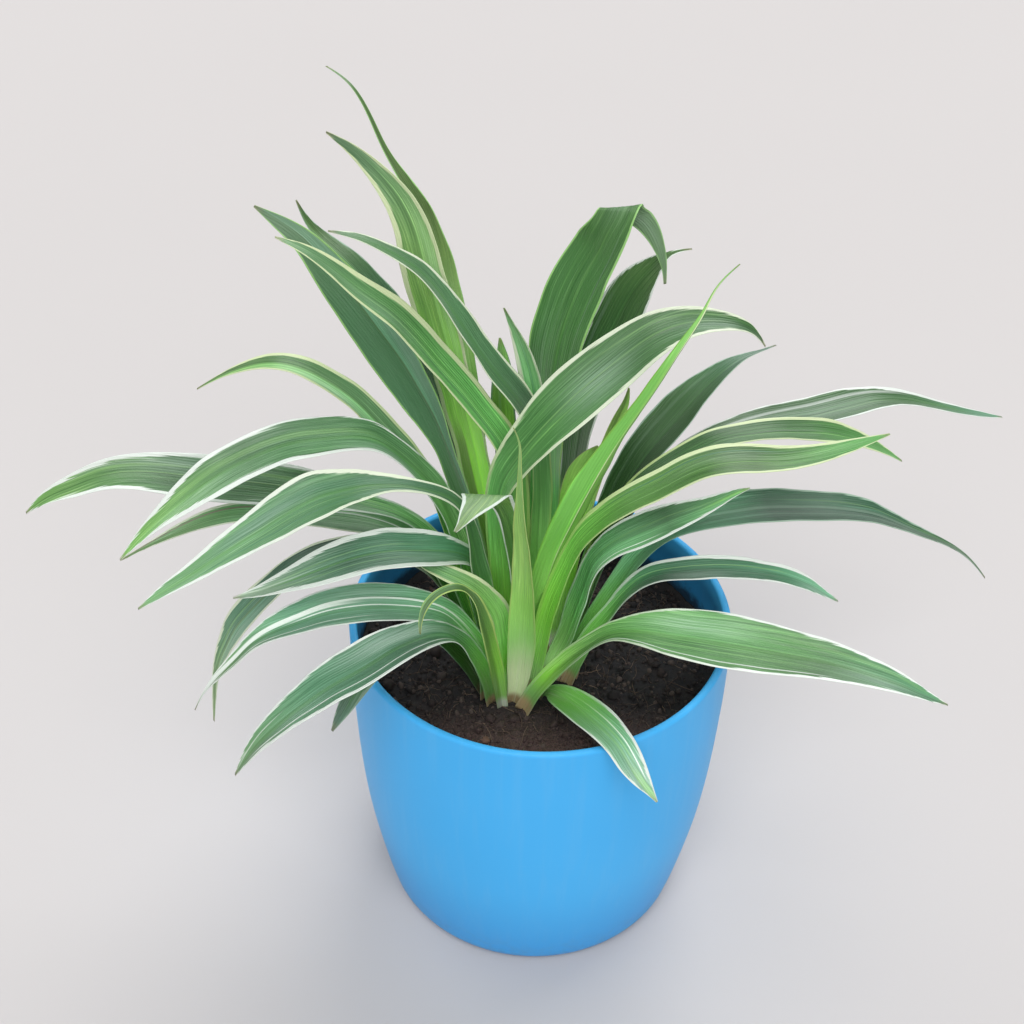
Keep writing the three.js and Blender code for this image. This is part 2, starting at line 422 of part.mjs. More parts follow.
    [-31.07, -35.1, 166.3, 6.43, 90.7, 10.9, 0.26],
    [-26.59, -33.13, 157.48, 5.05, 74.4, 17.3, 0.28],
    [-22.89, -29.97, 146.5, 4.14, 52, 17.9, 0.32],
    [-20.65, -26.18, 133.14, 3.56, 30.5, 11.9, 0.35],
    [-20.03, -22.22, 117.5, 3.29, 20.3, 7.1, 0.4],
  ],
  leaf_front_left: [
    [-109.08, -84.99, 137.4, 0.5, 109.1, 7.4, 0.22],
    [-104.83, -84.62, 145.24, 2.63, 110.4, 7.5, 0.22],
    [-100, -83.83, 152.76, 4.45, 110.6, 6.8, 0.22],
    [-94.17, -82.33, 159.05, 5.82, 111, 6.1, 0.22],
    [-87.87, -80.51, 164.73, 6.94, 111.8, 6.1, 0.22],
    [-81.25, -78.39, 169.82, 7.98, 112.5, 5.8, 0.22],
    [-74.5, -76.08, 174.32, 9.13, 113, 4.7, 0.22],
    [-67.39, -73.33, 177.34, 10.06, 114, 2.5, 0.22],
    [-60.14, -70.24, 180.46, 10.45, 115.7, -0.9, 0.22],
    [-53.2, -66.81, 183.4, 10.2, 119.3, -5, 0.22],
    [-46.27, -62.52, 183.99, 9.03, 125.6, -6.2, 0.22],
    [-39.34, -57.01, 182.18, 7.07, 129.4, 0.3, 0.22],
    [-33.25, -51.09, 176.3, 5.51, 122.1, 12.5, 0.22],
    [-28.86, -45.55, 166.98, 4.74, 102.2, 22.5, 0.25],
    [-25.35, -40.2, 156.12, 4.03, 77.8, 25.6, 0.29],
    [-22.29, -35.1, 144.33, 3.43, 54.7, 23.4, 0.32],
    [-19.75, -30.29, 131.88, 3.13, 36.6, 18.3, 0.36],
    [-17.97, -25.57, 117.5, 3.21, 28.3, 14.8, 0.4],
  ],
  leaf_front_left_low: [
    [-75.44, -69.07, 144.45, 0.5, 133.5, 1.1, 0.22],
    [-72.97, -66.73, 148.6, 1.9, 141.9, 7.5, 0.22],
    [-70.28, -64.11, 152.86, 2.94, 149.1, 13.2, 0.22],
    [-67.62, -61.5, 157.44, 3.9, 153.3, 17, 0.22],
    [-64.65, -58.68, 161.9, 4.82, 152.5, 18.9, 0.22],
    [-61.33, -55.69, 166.11, 5.63, 146.6, 18.6, 0.22],
    [-57.53, -52.44, 169.48, 6.04, 138, 15.5, 0.22],
    [-53.02, -48.55, 170.44, 5.88, 132.1, 10.8, 0.22],
    [-48.35, -44.43, 169.46, 5.36, 129.2, 8.5, 0.22],
    [-44.02, -40.47, 166.66, 4.79, 125, 10.6, 0.22],
    [-40.38, -36.99, 162.2, 4.86, 117.1, 14.4, 0.22],
    [-37.22, -33.92, 156.82, 5.14, 108.5, 16.9, 0.22],
    [-34.38, -31.12, 150.93, 4.95, 99.3, 19, 0.24],
    [-31.67, -28.48, 144.72, 4.28, 86.8, 21.8, 0.27],
    [-28.85, -25.82, 138.42, 3.59, 70.8, 23.6, 0.3],
    [-26.37, -23.58, 131.72, 2.98, 54.5, 22.9, 0.33],
    [-24.16, -21.7, 124.69, 2.46, 43.4, 21.5, 0.36],
    [-22.03, -19.85, 117.5, 2.1, 39.4, 21, 0.4],
  ],
  leaf_front_right_drooping: [
    [41.99, -90.35, 134.07, 0.5, -139.7, 14.5, 0.22],
    [39.77, -87.24, 135.12, 1.73, -142.9, 6.1, 0.22],
    [37.46, -83.82, 136, 3.11, -145.6, -1.4, 0.22],
    [35.12, -80.3, 137.35, 4.22, -147.8, -5.8, 0.22],
    [32.72, -76.73, 139.03, 5.1, -148.8, -6.6, 0.22],
    [30.38, -73.31, 141.07, 5.59, -148.2, -4.9, 0.22],
    [27.99, -69.71, 142.2, 6.06, -147.8, -2.7, 0.22],
    [25.43, -65.68, 141.99, 6.62, -148, -1.5, 0.22],
    [22.77, -61.39, 141.19, 7.13, -148.4, -0.8, 0.22],
    [20.06, -56.94, 140.02, 7.47, -148.7, -0.4, 0.22],
    [17.31, -52.38, 138.64, 7.57, -148.9, 0, 0.22],
    [14.53, -47.79, 137.03, 7.46, -149, 0.2, 0.22],
    [11.83, -43.2, 135.08, 6.97, -148.5, -1.1, 0.24],
    [9.29, -38.61, 132.78, 5.86, -144.9, -7.5, 0.27],
    [6.83, -34.04, 130.09, 4.2, -135.7, -18.4, 0.3],
    [4.24, -29.59, 127.06, 2.37, -113.3, -31.8, 0.33],
    [1.9, -25.9, 122.86, 1.26, -75.4, -35.7, 0.36],
    [0.39, -23.22, 117.5, 1.2, -54.1, -30.3, 0.4],
  ],
  leaf_right_large: [
    [144.88, -67.28, 163.13, 0.5, -100.3, 0.2, 0.22],
    [136.53, -65.69, 166.05, 2.57, -102.3, -4.6, 0.22],
    [127.82, -63.95, 169.23, 4.57, -103.8, -9.2, 0.22],
    [118.64, -62.07, 171.69, 5.95, -104.2, -13.2, 0.22],
    [109.08, -60.1, 173.52, 7.17, -103.7, -16.4, 0.22],
    [99.21, -58.06, 174.6, 8.23, -103, -18.8, 0.22],
    [89.06, -55.98, 175.06, 9.25, -102.3, -20.2, 0.22],
    [78.64, -53.87, 175.4, 10.23, -102, -20.3, 0.22],
    [68.04, -51.81, 175.62, 11.07, -101.8, -18.4, 0.22],
    [57.28, -49.8, 175.72, 11.46, -101.5, -14.3, 0.22],
    [46.39, -47.81, 175.63, 10.7, -101.4, -8.6, 0.22],
    [35.56, -45.68, 175.36, 8.24, -101.8, -3.6, 0.22],
    [25.47, -43.34, 172.05, 5.31, -101.5, -3.8, 0.24],
    [17.75, -41.13, 163.82, 4.43, -95.1, -10, 0.27],
    [10.66, -38.66, 154.22, 4.12, -83.2, -16.7, 0.3],
    [4.43, -36.03, 143.32, 3.59, -67.7, -21.5, 0.33],
    [-1.3, -33.1, 131.33, 3.18, -51.9, -22.7, 0.36],
    [-5.78, -29.9, 117.5, 3.21, -43.3, -21.6, 0.4],
  ],
  leaf_right_low: [
    [115.25, 0.02, 150.53, 0.5, -87.7, -12.3, 0.22],
    [109.68, -1.17, 155.08, 1.69, -90.5, -15.4, 0.22],
    [103.88, -2.37, 159.92, 3.06, -90.9, -17, 0.22],
    [97.56, -3.72, 164.35, 4.04, -88.3, -16.4, 0.22],
    [90.62, -5.21, 168, 4.49, -84.8, -14, 0.22],
    [83.14, -6.81, 170.86, 4.91, -82.2, -10.6, 0.22],
    [75.28, -8.44, 173.02, 5.67, -80.7, -7.1, 0.22],
    [67.21, -10.08, 174.67, 6.2, -79.9, -3.5, 0.22],
    [58.92, -11.7, 175.53, 6.6, -80, 0, 0.22],
    [50.52, -13.24, 175.73, 6.67, -81.2, 3.5, 0.22],
    [42.28, -14.55, 174.91, 6.26, -84.1, 5.2, 0.22],
    [35.11, -15.41, 170.77, 5.33, -85.8, 2.1, 0.22],
    [29.77, -15.68, 163.58, 4.3, -81.7, -3.4, 0.24],
    [25.3, -15.59, 155.13, 3.6, -71.8, -9.1, 0.27],
    [20.56, -15.35, 146.54, 3.48, -58.3, -14, 0.3],
    [16.68, -14.92, 137.28, 3.31, -43.4, -16.1, 0.33],
    [13.36, -14.43, 127.54, 3.2, -31.9, -15.8, 0.36],
    [10.56, -13.88, 117.5, 3.18, -26.5, -15.1, 0.4],
  ],
  leaf_far_right: [
    [182.65, 37.58, 130.81, 0.48, -97, -14.7, 0.22],
    [176.37, 36.11, 139.64, 0.81, -92.2, -13.3, 0.22],
    [168.61, 34.2, 148.04, 1.2, -85.4, -10.1, 0.22],
    [159.21, 31.84, 155.27, 1.99, -81.1, -6.9, 0.22],
    [148.9, 29.25, 161.92, 3.33, -79.7, -5.8, 0.22],
    [138.35, 26.61, 168.87, 5.02, -78.8, -5.2, 0.22],
    [127.27, 23.77, 175.21, 7.18, -77.2, -3.5, 0.22],
    [115.02, 20.56, 179.47, 8.59, -76, -1.8, 0.22],
    [101.98, 17.14, 182.53, 9.17, -75.5, -1.3, 0.22],
    [88.54, 13.55, 185.1, 9.8, -75, -0.4, 0.22],
    [74.76, 9.73, 186.23, 10.13, -74.7, 1.9, 0.22],
    [60.71, 5.73, 185.78, 8.83, -75.3, 5.2, 0.22],
    [47.13, 1.84, 182.31, 6.88, -76.3, 5.1, 0.25],
    [36.54, -1.16, 172.59, 5.56, -71.2, -0.9, 0.28],
    [28.74, -3.6, 159.79, 4.06, -59.9, -6.4, 0.31],
    [21.55, -6.08, 146.41, 3.47, -47.1, -9.6, 0.34],
    [15.9, -8.21, 132.24, 3.36, -35.3, -9.9, 0.37],
    [12.65, -9.76, 117.5, 3.29, -28.9, -8.6, 0.4],
  ],
  leaf_right_middle: [
    [75.44, -1.17, 207.01, 0.5, -75, 7, 0.22],
    [69.78, -2.86, 205.5, 2, -74.5, 3.3, 0.22],
    [64.05, -4.51, 203.18, 3.43, -73.7, -0.7, 0.22],
    [57.99, -6.17, 200.84, 4.78, -73, -4.5, 0.22],
    [51.55, -7.87, 198.99, 6.08, -73, -7.1, 0.22],
    [45.11, -9.53, 196.98, 7.21, -73.4, -7.5, 0.22],
    [38.71, -11.15, 194.35, 8.02, -74.7, -5.9, 0.22],
    [32.21, -12.68, 191.68, 8.32, -76.8, -3.2, 0.22],
    [26.06, -13.92, 188.3, 7.9, -79.2, -1.4, 0.22],
    [20.96, -14.67, 183.21, 7, -79.3, -2.5, 0.22],
    [17.72, -14.84, 176.28, 6.41, -75.9, -4.2, 0.22],
    [16.06, -14.62, 168.21, 6.53, -73.2, -4.7, 0.22],
    [14.17, -14.4, 159.92, 6.73, -70.8, -5.1, 0.24],
    [12.32, -14.08, 151.48, 5.67, -63.7, -6.4, 0.27],
    [10.29, -13.83, 142.84, 4.35, -55, -8.7, 0.3],
    [7.43, -13.8, 134.31, 3.56, -46.2, -11.7, 0.33],
    [4.5, -13.82, 125.78, 3.13, -38.6, -13.8, 0.36],
    [1.74, -13.85, 117.5, 2.9, -35.1, -14.6, 0.4],
  ],
  leaf_right_upper: [
    [124.23, 3.07, 230.27, 0.5, -76.6, 0, 0.22],
    [115.08, 0.94, 227.89, 2.34, -75.8, -5.1, 0.22],
    [105.29, -1.28, 225.71, 3.74, -75.6, -9.3, 0.22],
    [94.91, -3.6, 224.21, 4.82, -76.5, -12.3, 0.22],
    [83.99, -6.04, 224.25, 5.88, -77.8, -13.2, 0.22],
    [72.99, -8.56, 225.82, 6.94, -77.8, -11.1, 0.22],
    [62.08, -11.17, 226.58, 7.59, -76.7, -5.9, 0.22],
    [51.53, -13.68, 223.99, 7.75, -77.2, -1, 0.22],
    [41.48, -16.06, 218.74, 7.94, -79, 2.3, 0.22],
    [31.02, -18.45, 213.73, 8.19, -81.1, 4, 0.22],
    [21.51, -20.45, 207.08, 7.58, -82.6, 3.2, 0.22],
    [13.68, -21.93, 198.3, 6.59, -81, -0.3, 0.22],
    [9.06, -22.43, 186.79, 6.17, -75.3, -3.9, 0.24],
    [5.47, -22.12, 174.02, 5.3, -64.4, -6.8, 0.27],
    [2.33, -21.27, 160.38, 4.22, -50.1, -8.2, 0.3],
    [0.34, -20.03, 146.02, 3.75, -36.3, -8.1, 0.33],
    [-1.56, -18.84, 131.34, 3.48, -26.5, -7.9, 0.36],
    [-3.36, -17.85, 117.5, 3.27, -22.6, -7.9, 0.4],
  ],
  leaf_right_back: [
    [144.18, 55.42, 176.84, 0.5, -81.4, -17.7, 0.22],
    [136.8, 52.14, 183.65, 1.88, -81.4, -18.7, 0.22],
    [128.67, 48.56, 190.35, 3.41, -79.5, -18.5, 0.22],
    [119.83, 44.62, 196.56, 4.98, -75.8, -16.6, 0.22],
    [110.29, 40.28, 201.85, 6.23, -71.7, -12.8, 0.22],
    [99.99, 35.52, 205.89, 6.66, -68.5, -7.7, 0.22],
    [89.26, 30.56, 209.38, 6.72, -66.5, -2.2, 0.22],
    [78.12, 25.42, 211.77, 6.81, -65.6, 3.9, 0.22],
    [66.75, 20.22, 212.8, 7.03, -66.9, 9.7, 0.22],
    [55.55, 15.18, 210.53, 7.33, -70.5, 13.2, 0.22],
    [44.85, 10.52, 205.51, 7.49, -74.4, 12.9, 0.22],
    [35.18, 6.48, 198.14, 7.2, -76.6, 9.7, 0.22],
    [27.46, 3.46, 188.2, 6.71, -74.2, 3.7, 0.24],
    [22.47, 1.87, 175.95, 5.52, -64.7, -2.5, 0.27],
    [18.53, 0.97, 162.52, 4.36, -52.3, -6.3, 0.3],
    [14.98, 0.63, 148.28, 3.72, -39.6, -7.9, 0.33],
    [12.11, 0.82, 133.34, 3.26, -27.7, -6.5, 0.36],
    [11.38, 1.85, 117.5, 2.64, -21.4, -4.2, 0.4],
  ],
  leaf_back_right_long: [
    [200.3, 117.46, 153.66, 0.5, -64, -7.6, 0.22],
    [190.08, 111.69, 158.88, 1.94, -64.6, -8.5, 0.22],
    [179.45, 105.67, 164.9, 2.78, -65.5, -9.8, 0.22],
    [168.59, 99.53, 171.58, 3.37, -66.3, -11, 0.22],
    [157.45, 93.2, 178.56, 4.1, -65.8, -10.9, 0.22],
    [145.77, 86.55, 185, 5.37, -63.6, -8.6, 0.22],
    [133.17, 79.3, 189.28, 7.05, -61.6, -5.4, 0.22],
    [119.72, 71.58, 191.02, 8.36, -60.9, -3.8, 0.22],
    [105.82, 63.62, 192.93, 8.36, -60.7, -3.1, 0.22],
    [91.87, 55.55, 196.07, 7.65, -60.3, -0.6, 0.22],
    [77.71, 47.29, 198.41, 6.56, -60.1, 4.7, 0.22],
    [63.28, 38.88, 198.23, 5.71, -62.3, 10.3, 0.22],
    [49.46, 30.92, 192.68, 5.09, -65.4, 10.1, 0.24],
    [37.38, 24.11, 182.53, 4.87, -62.8, 3.1, 0.27],
    [28.1, 19, 168.71, 4.26, -53, -4, 0.3],
    [21.68, 15.47, 152.46, 3.69, -40.3, -7.1, 0.33],
    [16.83, 12.68, 135.31, 3.22, -29.4, -6.8, 0.37],
    [14.44, 11.04, 117.5, 2.64, -24, -5.3, 0.4],
  ],
  leaf_dark_right: [
    [90.07, 69.96, 221.8, 0.44, -51.7, 11.7, 0.3],
    [84.02, 65.33, 222.3, 0.83, -51.8, 11.1, 0.3],
    [77.66, 60.38, 222.85, 2.05, -52.6, 11.8, 0.3],
    [71.23, 55.25, 222.05, 4.28, -54.5, 13.2, 0.3],
    [64.94, 50.24, 219.4, 6.38, -56.7, 12.8, 0.3],
    [58.83, 45.43, 215.52, 8.19, -57.9, 10.9, 0.3],
    [53.06, 40.91, 210.2, 9.97, -58, 9.4, 0.3],
    [47.01, 36.12, 204.75, 10.62, -58.2, 9.1, 0.3],
    [40.88, 31.17, 199.58, 10.22, -59.6, 9.8, 0.3],
    [35.66, 26.79, 193.16, 9.92, -62.4, 10.2, 0.3],
    [31.26, 23.03, 185.59, 9.46, -65.2, 9.7, 0.3],
    [27.52, 19.87, 177.15, 8.7, -67.1, 8.4, 0.3],
    [24.59, 17.45, 167.96, 7.61, -66.2, 6.2, 0.33],
    [22.11, 15.7, 158.1, 6.18, -60.2, 3.4, 0.37],
    [19.14, 13.7, 148.08, 4.96, -51.6, 0.2, 0.41],
    [16.01, 11.63, 137.93, 4.05, -42.4, -3.4, 0.45],
    [12.79, 9.44, 127.62, 3.24, -34.8, -6.3, 0.5],
    [9.78, 7.24, 117.5, 2.65, -31.6, -7.4, 0.54],
  ],
  leaf_right_upright: [
    [60.16, -18.43, 314.59, 0.34, 43.2, -35.3, -0.45],
    [53.69, -19.95, 307.12, 0.48, 42.8, -29.4, -0.45],
    [49.58, -21.31, 297.15, 0.98, 42.6, -24.1, -0.45],
    [44.69, -22.49, 286.98, 2.08, 41.8, -21.9, -0.45],
    [39.57, -23.01, 276.4, 2.87, 40.5, -20.3, -0.45],
    [34.56, -22.82, 265.36, 3.4, 38.9, -19.2, -0.45],
    [29.16, -22.31, 254.19, 3.83, 36.9, -18.8, -0.45],
    [23.85, -21.73, 242.69, 4.51, 34.6, -18.4, -0.45],
    [18.88, -21.38, 230.78, 5.93, 32.2, -17.4, -0.45],
    [14.25, -20.78, 218.48, 6.87, 29.8, -16, -0.45],
    [10.01, -19.65, 205.77, 6.67, 27.6, -14.6, -0.45],
    [5.95, -18.4, 192.88, 6.01, 25.9, -12.8, -0.46],
    [2.57, -17.83, 180.07, 5.44, 23.4, -9.7, -0.52],
    [0.4, -17.76, 167.51, 4.81, 19.4, -6, -0.57],
    [-1.32, -14.67, 155.01, 4.17, 13.6, -3.9, 0.19],
    [-2.16, -14.8, 142.24, 3.7, 7.1, -3.8, 0.21],
    [-3.09, -14.53, 129.13, 3.39, 2.4, -3.9, 0.22],
    [-3.85, -13.97, 117.5, 3.21, 0.5, -3.9, 0.24],
  ],
  leaf_right_slender: [
    [30.06, 22.02, 234.49, 0.46, -48.3, 3.4, 0.22],
    [29.4, 20.9, 229.05, 1.4, -44.9, -0.9, 0.22],
    [27.47, 19.68, 223.55, 2.08, -44.3, -4.3, 0.22],
    [25.37, 18.39, 217.91, 2.45, -45.3, -4.4, 0.22],
    [23.57, 17.08, 211.95, 2.8, -48, -2.6, 0.22],
    [21.82, 15.76, 205.79, 3.17, -51.9, -0.9, 0.22],
    [20.1, 14.45, 199.45, 3.6, -55.4, 0.3, 0.22],
    [18.33, 13.17, 192.94, 3.99, -57.4, 0.9, 0.22],
    [16.58, 11.95, 186.27, 4.2, -57.5, 1, 0.22],
    [14.92, 10.79, 179.39, 4.24, -55.8, 0.9, 0.22],
    [13.62, 9.72, 172.26, 4.16, -52.9, 0.3, 0.22],
    [12.29, 8.75, 164.89, 3.99, -48.8, -0.8, 0.22],
    [10.98, 7.95, 157.28, 3.71, -42.3, -2.4, 0.24],
    [9.6, 7.19, 149.57, 3.42, -32.1, -4.1, 0.27],
    [8.24, 6.42, 141.73, 3.18, -21.7, -5.1, 0.3],
    [7.15, 5.61, 133.74, 2.91, -14, -5.4, 0.33],
    [6.13, 4.76, 125.62, 2.65, -10.1, -5.6, 0.36],
    [5.15, 3.98, 117.5, 2.45, -8.5, -5.8, 0.4],
  ],
  leaf_back_folded_over: [
    [42.75, 50.56, 261.67, 0.5, 6, 7.1, 0.1],
    [42.38, 52.11, 265.89, 0.81, 6, 7.1, 0.1],
    [41.47, 53.19, 270.37, 1.44, 7.1, 11.5, 0.1],
    [39.7, 54.16, 275.51, 2.21, 10.9, 18.8, 0.1],
    [36.81, 54.97, 281.27, 3.26, 12.6, 26.7, 0.1],
    [32.53, 54.89, 286.6, 4.32, 9.9, 30, 0.08],
    [28.09, 53.5, 290.18, 5.57, -4.7, 23, 0.05],
    [24.5, 51.44, 293.36, 8.02, -21.4, 15.2, 0.02],
    [22.87, 50.16, 290.42, 8.09, -29.4, 8.8, 0.08],
    [20.14, 49.38, 284.31, 9.54, -36.8, 3.7, 0.12],
    [16.78, 49.09, 275.59, 10.79, -50.8, -14, 0.12],
    [11.15, 46.9, 264.32, 11.81, -43.2, -9.9, 0.12],
    [6.74, 44.32, 252.42, 11.99, -41, -5.3, 0.12],
    [3.52, 41.97, 239.76, 12.2, -41.8, 0, 0.12],
    [1.93, 39.33, 226.48, 11.5, -44.7, 4.9, 0.12],
    [1.68, 36.45, 212.92, 10.5, -48.9, 7.9, 0.12],
    [1.76, 33.61, 199.17, 9.31, -52.9, 9.2, 0.12],
    [2.21, 31.11, 185.3, 7.95, -52.7, 9.6, 0.14],
    [2.64, 28.51, 171.47, 6.48, -46.9, 9.2, 0.15],
    [2.52, 25.61, 157.84, 5.28, -38.4, 7.6, 0.17],
    [2.13, 22.35, 144.54, 4.46, -30.7, 4.3, 0.18],
    [1.27, 19, 131.4, 3.79, -26.9, -0.6, 0.2],
    [-1.96, 15.46, 117.5, 3.13, -27, -4.1, 0.22],
  ],
  leaf_back_pointed: [
    [52.8, 62.01, 269.88, 0.4, -80.8, -6.4, 0.22],
    [45, 61.12, 268.05, 1.33, -74.7, -12.8, 0.22],
    [39.21, 60.23, 262.6, 4.75, -62.1, -17.3, 0.22],
    [33.91, 59.39, 255.67, 7.81, -47.7, -17.8, 0.22],
    [29.55, 58.09, 247.82, 9.15, -37.9, -15.3, 0.22],
    [25.94, 56.4, 239.21, 9.34, -34.5, -11.9, 0.22],
    [21.97, 54.35, 230.49, 8.55, -36.5, -7.9, 0.22],
    [19.03, 51.87, 221.34, 8.63, -41.1, -3, 0.22],
    [16.54, 49.01, 211.94, 8.76, -46.2, 2.2, 0.22],
    [14.45, 45.92, 202.35, 8.86, -50.6, 6.8, 0.22],
    [13.03, 42.69, 192.54, 8.59, -54.2, 10.2, 0.22],
    [12.21, 39.36, 182.41, 7.62, -57.2, 12, 0.22],
    [11.09, 35.98, 172.07, 6.57, -57.5, 12.2, 0.24],
    [9.57, 32.57, 161.63, 5.54, -51.5, 10.9, 0.27],
    [8.01, 29, 151.09, 4.6, -41.7, 8.4, 0.3],
    [6.62, 25.25, 140.43, 3.96, -31.8, 5.2, 0.33],
    [5.12, 21.25, 129.69, 3.47, -24.7, 1.9, 0.36],
    [3.16, 16.49, 117.5, 3.05, -22, 0.3, 0.4],
  ],
  leaf_centre_small: [
    [-16.57, 22.44, 268.29, 0.43, -29.8, 18.7, 0.22],
    [-13.55, 22.72, 260.92, 1.4, -21.3, 19.1, 0.22],
    [-10.56, 23.03, 253.04, 2.67, -14.9, 17.3, 0.22],
    [-8.12, 23.2, 244.64, 3.61, -13, 14.2, 0.22],
    [-6.07, 23.15, 235.91, 4.21, -16.1, 10.8, 0.22],
    [-4.57, 22.81, 226.96, 4.49, -23, 8.1, 0.22],
    [-3.52, 22.1, 217.95, 4.64, -31.1, 6.6, 0.22],
    [-2.86, 21.16, 208.9, 4.72, -38.3, 6.2, 0.22],
    [-2.39, 20.08, 199.82, 4.86, -43.2, 6.3, 0.22],
    [-2.02, 18.91, 190.67, 4.96, -45.7, 6.5, 0.22],
    [-1.89, 17.62, 181.5, 4.96, -46, 6.8, 0.22],
    [-1.8, 16.19, 172.33, 4.79, -44.3, 7, 0.23],
    [-1.85, 14.63, 163.22, 4.38, -38.5, 6.6, 0.26],
    [-2.18, 12.82, 154.2, 3.88, -30, 5.6, 0.28],
    [-2.5, 10.95, 145.22, 3.48, -20.4, 5.6, 0.31],
    [-2.31, 8.99, 136.24, 3.14, -11.3, 7, 0.34],
    [-1.18, 6.98, 127.29, 2.78, -5.2, 8.2, 0.37],
    [0.16, 4.84, 117.5, 2.49, -3, 8.6, 0.4],
  ],
  leaf_centre_back: [
    [-17.82, 23.32, 254.67, 0.5, -30.8, 5.9, 0.22],
    [-16.77, 23.69, 247.82, 2.17, -22.4, 4.5, 0.22],
    [-16.3, 23.98, 240.5, 3.48, -16.9, 2.1, 0.22],
    [-16.36, 24.13, 232.9, 4.22, -14.7, 1.4, 0.22],
    [-16.14, 24.17, 225.06, 4.61, -16.2, 2.6, 0.22],
    [-15.44, 24.15, 217.03, 4.84, -21.6, 3.6, 0.22],
    [-14.62, 24.06, 208.8, 5.02, -29.6, 3.3, 0.22],
    [-14.11, 23.89, 200.38, 5.1, -37.4, 3, 0.22],
    [-13.66, 23.66, 191.85, 5.13, -42.6, 3.5, 0.22],
    [-13.02, 23.37, 183.26, 5.23, -45, 4.7, 0.22],
    [-12.28, 22.93, 174.64, 5.29, -45.3, 6, 0.22],
    [-11.56, 22.32, 166.05, 5.13, -43.4, 7.3, 0.23],
    [-10.87, 21.54, 157.5, 4.63, -36.7, 8.6, 0.26],
    [-10.17, 20.47, 149.06, 4.06, -27.2, 9.6, 0.29],
    [-9.46, 19.07, 140.79, 3.63, -17, 11.1, 0.32],
    [-8.61, 17.19, 132.82, 3.3, -7, 14.1, 0.34],
    [-6.44, 14.8, 125.46, 2.89, 0.5, 16.9, 0.37],
    [-3.66, 11.87, 117.5, 2.54, 3.4, 18.1, 0.4],
  ],
  leaf_right_inner: [
    [19.98, 23.04, 206.25, 0.5, -58.5, -8.7, 0.22],
    [17.98, 22.67, 202.35, 2.74, -48.8, -13, 0.22],
    [15.89, 22.23, 198.24, 4.26, -39.5, -14.4, 0.22],
    [13.92, 21.64, 193.93, 5.04, -33, -12.1, 0.22],
    [12.58, 20.92, 189.24, 5.33, -31.2, -7.4, 0.22],
    [11.74, 20.12, 184.24, 5.5, -34.3, -2.8, 0.22],
    [11.2, 19.29, 179.05, 5.73, -40.3, 0.8, 0.22],
    [10.97, 18.45, 173.68, 5.9, -47.1, 3, 0.22],
    [10.73, 17.58, 168.13, 5.99, -53.3, 4.1, 0.22],
    [10.42, 16.72, 162.43, 6, -57.8, 4.9, 0.22],
    [9.98, 15.81, 156.69, 6.09, -60.1, 6.1, 0.22],
    [9.43, 14.72, 151, 6.01, -60.2, 7.5, 0.22],
    [8.88, 13.57, 145.35, 5.46, -55.8, 8.1, 0.25],
    [8.15, 12.28, 139.76, 4.65, -46.8, 7.6, 0.28],
    [7.52, 10.84, 134.18, 3.87, -36, 6.4, 0.31],
    [7.05, 9.28, 128.56, 3.26, -26.4, 4.7, 0.34],
    [6.62, 7.62, 122.92, 2.82, -19.7, 3, 0.37],
    [6.31, 6.02, 117.5, 2.54, -17, 2.3, 0.4],
  ],
};

const DEG = Math.PI / 180;

function closedMesh(name, positions, faces, material) {
  const geometry = new THREE.BufferGeometry();
  geometry.setAttribute("position", new THREE.Float32BufferAttribute(positions, 3));
  geometry.setIndex(faces);
  geometry.computeVertexNormals();
  const mesh = new THREE.Mesh(geometry, material);
  mesh.name = name;
  return mesh;
}

// A folded blade: six points a station (three over, three under), with a flat cap at the tip and at the base.
function leafMesh(name, rows) {
  const mid = rows.map((r) => new THREE.Vector3(r[0], r[1], r[2]));
  const positions = [];
  const faces = [];
  rows.forEach(([, , , half, az, el, keel], i) => {
    const along = new THREE.Vector3()
      .subVectors(mid[Math.min(i + 1, rows.length - 1)], mid[Math.max(i - 1, 0)])
      .normalize();
    const across = new THREE.Vector3(
      Math.cos(el * DEG) * Math.cos(az * DEG),
      Math.cos(el * DEG) * Math.sin(az * DEG),
      Math.sin(el * DEG),
    );
    const up = new THREE.Vector3().crossVectors(along, across).normalize();
    const share = Math.min(1, TIP_THICKNESS_SHARE + ((1 - TIP_THICKNESS_SHARE) * i) / TIP_TAPER_STATIONS);
    const a = (MIDRIB_THICKNESS * share) / 2;
    const b = (EDGE_THICKNESS * share) / 2;
    const left = mid[i].clone().addScaledVector(across, half).addScaledVector(up, half * keel);
    const right = mid[i].clone().addScaledVector(across, -half).addScaledVector(up, half * keel);
    for (const [p, d] of [
      [left, b],
      [mid[i], a],
      [right, b],
      [right, -b],
      [mid[i], -a],
      [left, -b],
    ]) {
      const q = p.clone().addScaledVector(up, d);
      // the base is cut level, just clear of the soil
      if (i === rows.length - 1) q.addScaledVector(along, (SOIL_TOP + LEAF_SOIL_GAP - q.z) / along.z);
      positions.push(q.x, q.y, q.z);
    }
  });
  for (let i = 0; i < rows.length - 1; i++)
    for (let j = 0; j < 6; j++) {
      const a = i * 6 + j;
      const b = i * 6 + ((j + 1) % 6);
      // the under side takes the same diagonal as the upper side, so a twisted blade keeps its thickness
      if (j === 3 || j === 4) faces.push(a, b, a + 6, b, b + 6, a + 6);
      else faces.push(a, b, b + 6, a, b + 6, a + 6);
    }
  const last = (rows.length - 1) * 6;
  for (const [a, b, c] of [
    [0, 1, 5],
    [1, 4, 5],
    [1, 2, 4],
    [2, 3, 4],
  ]) {
    faces.push(c, b, a);
    faces.push(last + a, last + b, last + c);
  }
  return closedMesh(
    name,
    positions,
    faces,
    new THREE.MeshStandardMaterial({ color: COLOURS.leaf, roughness: 0.45, metalness: 0 }),
  );
}

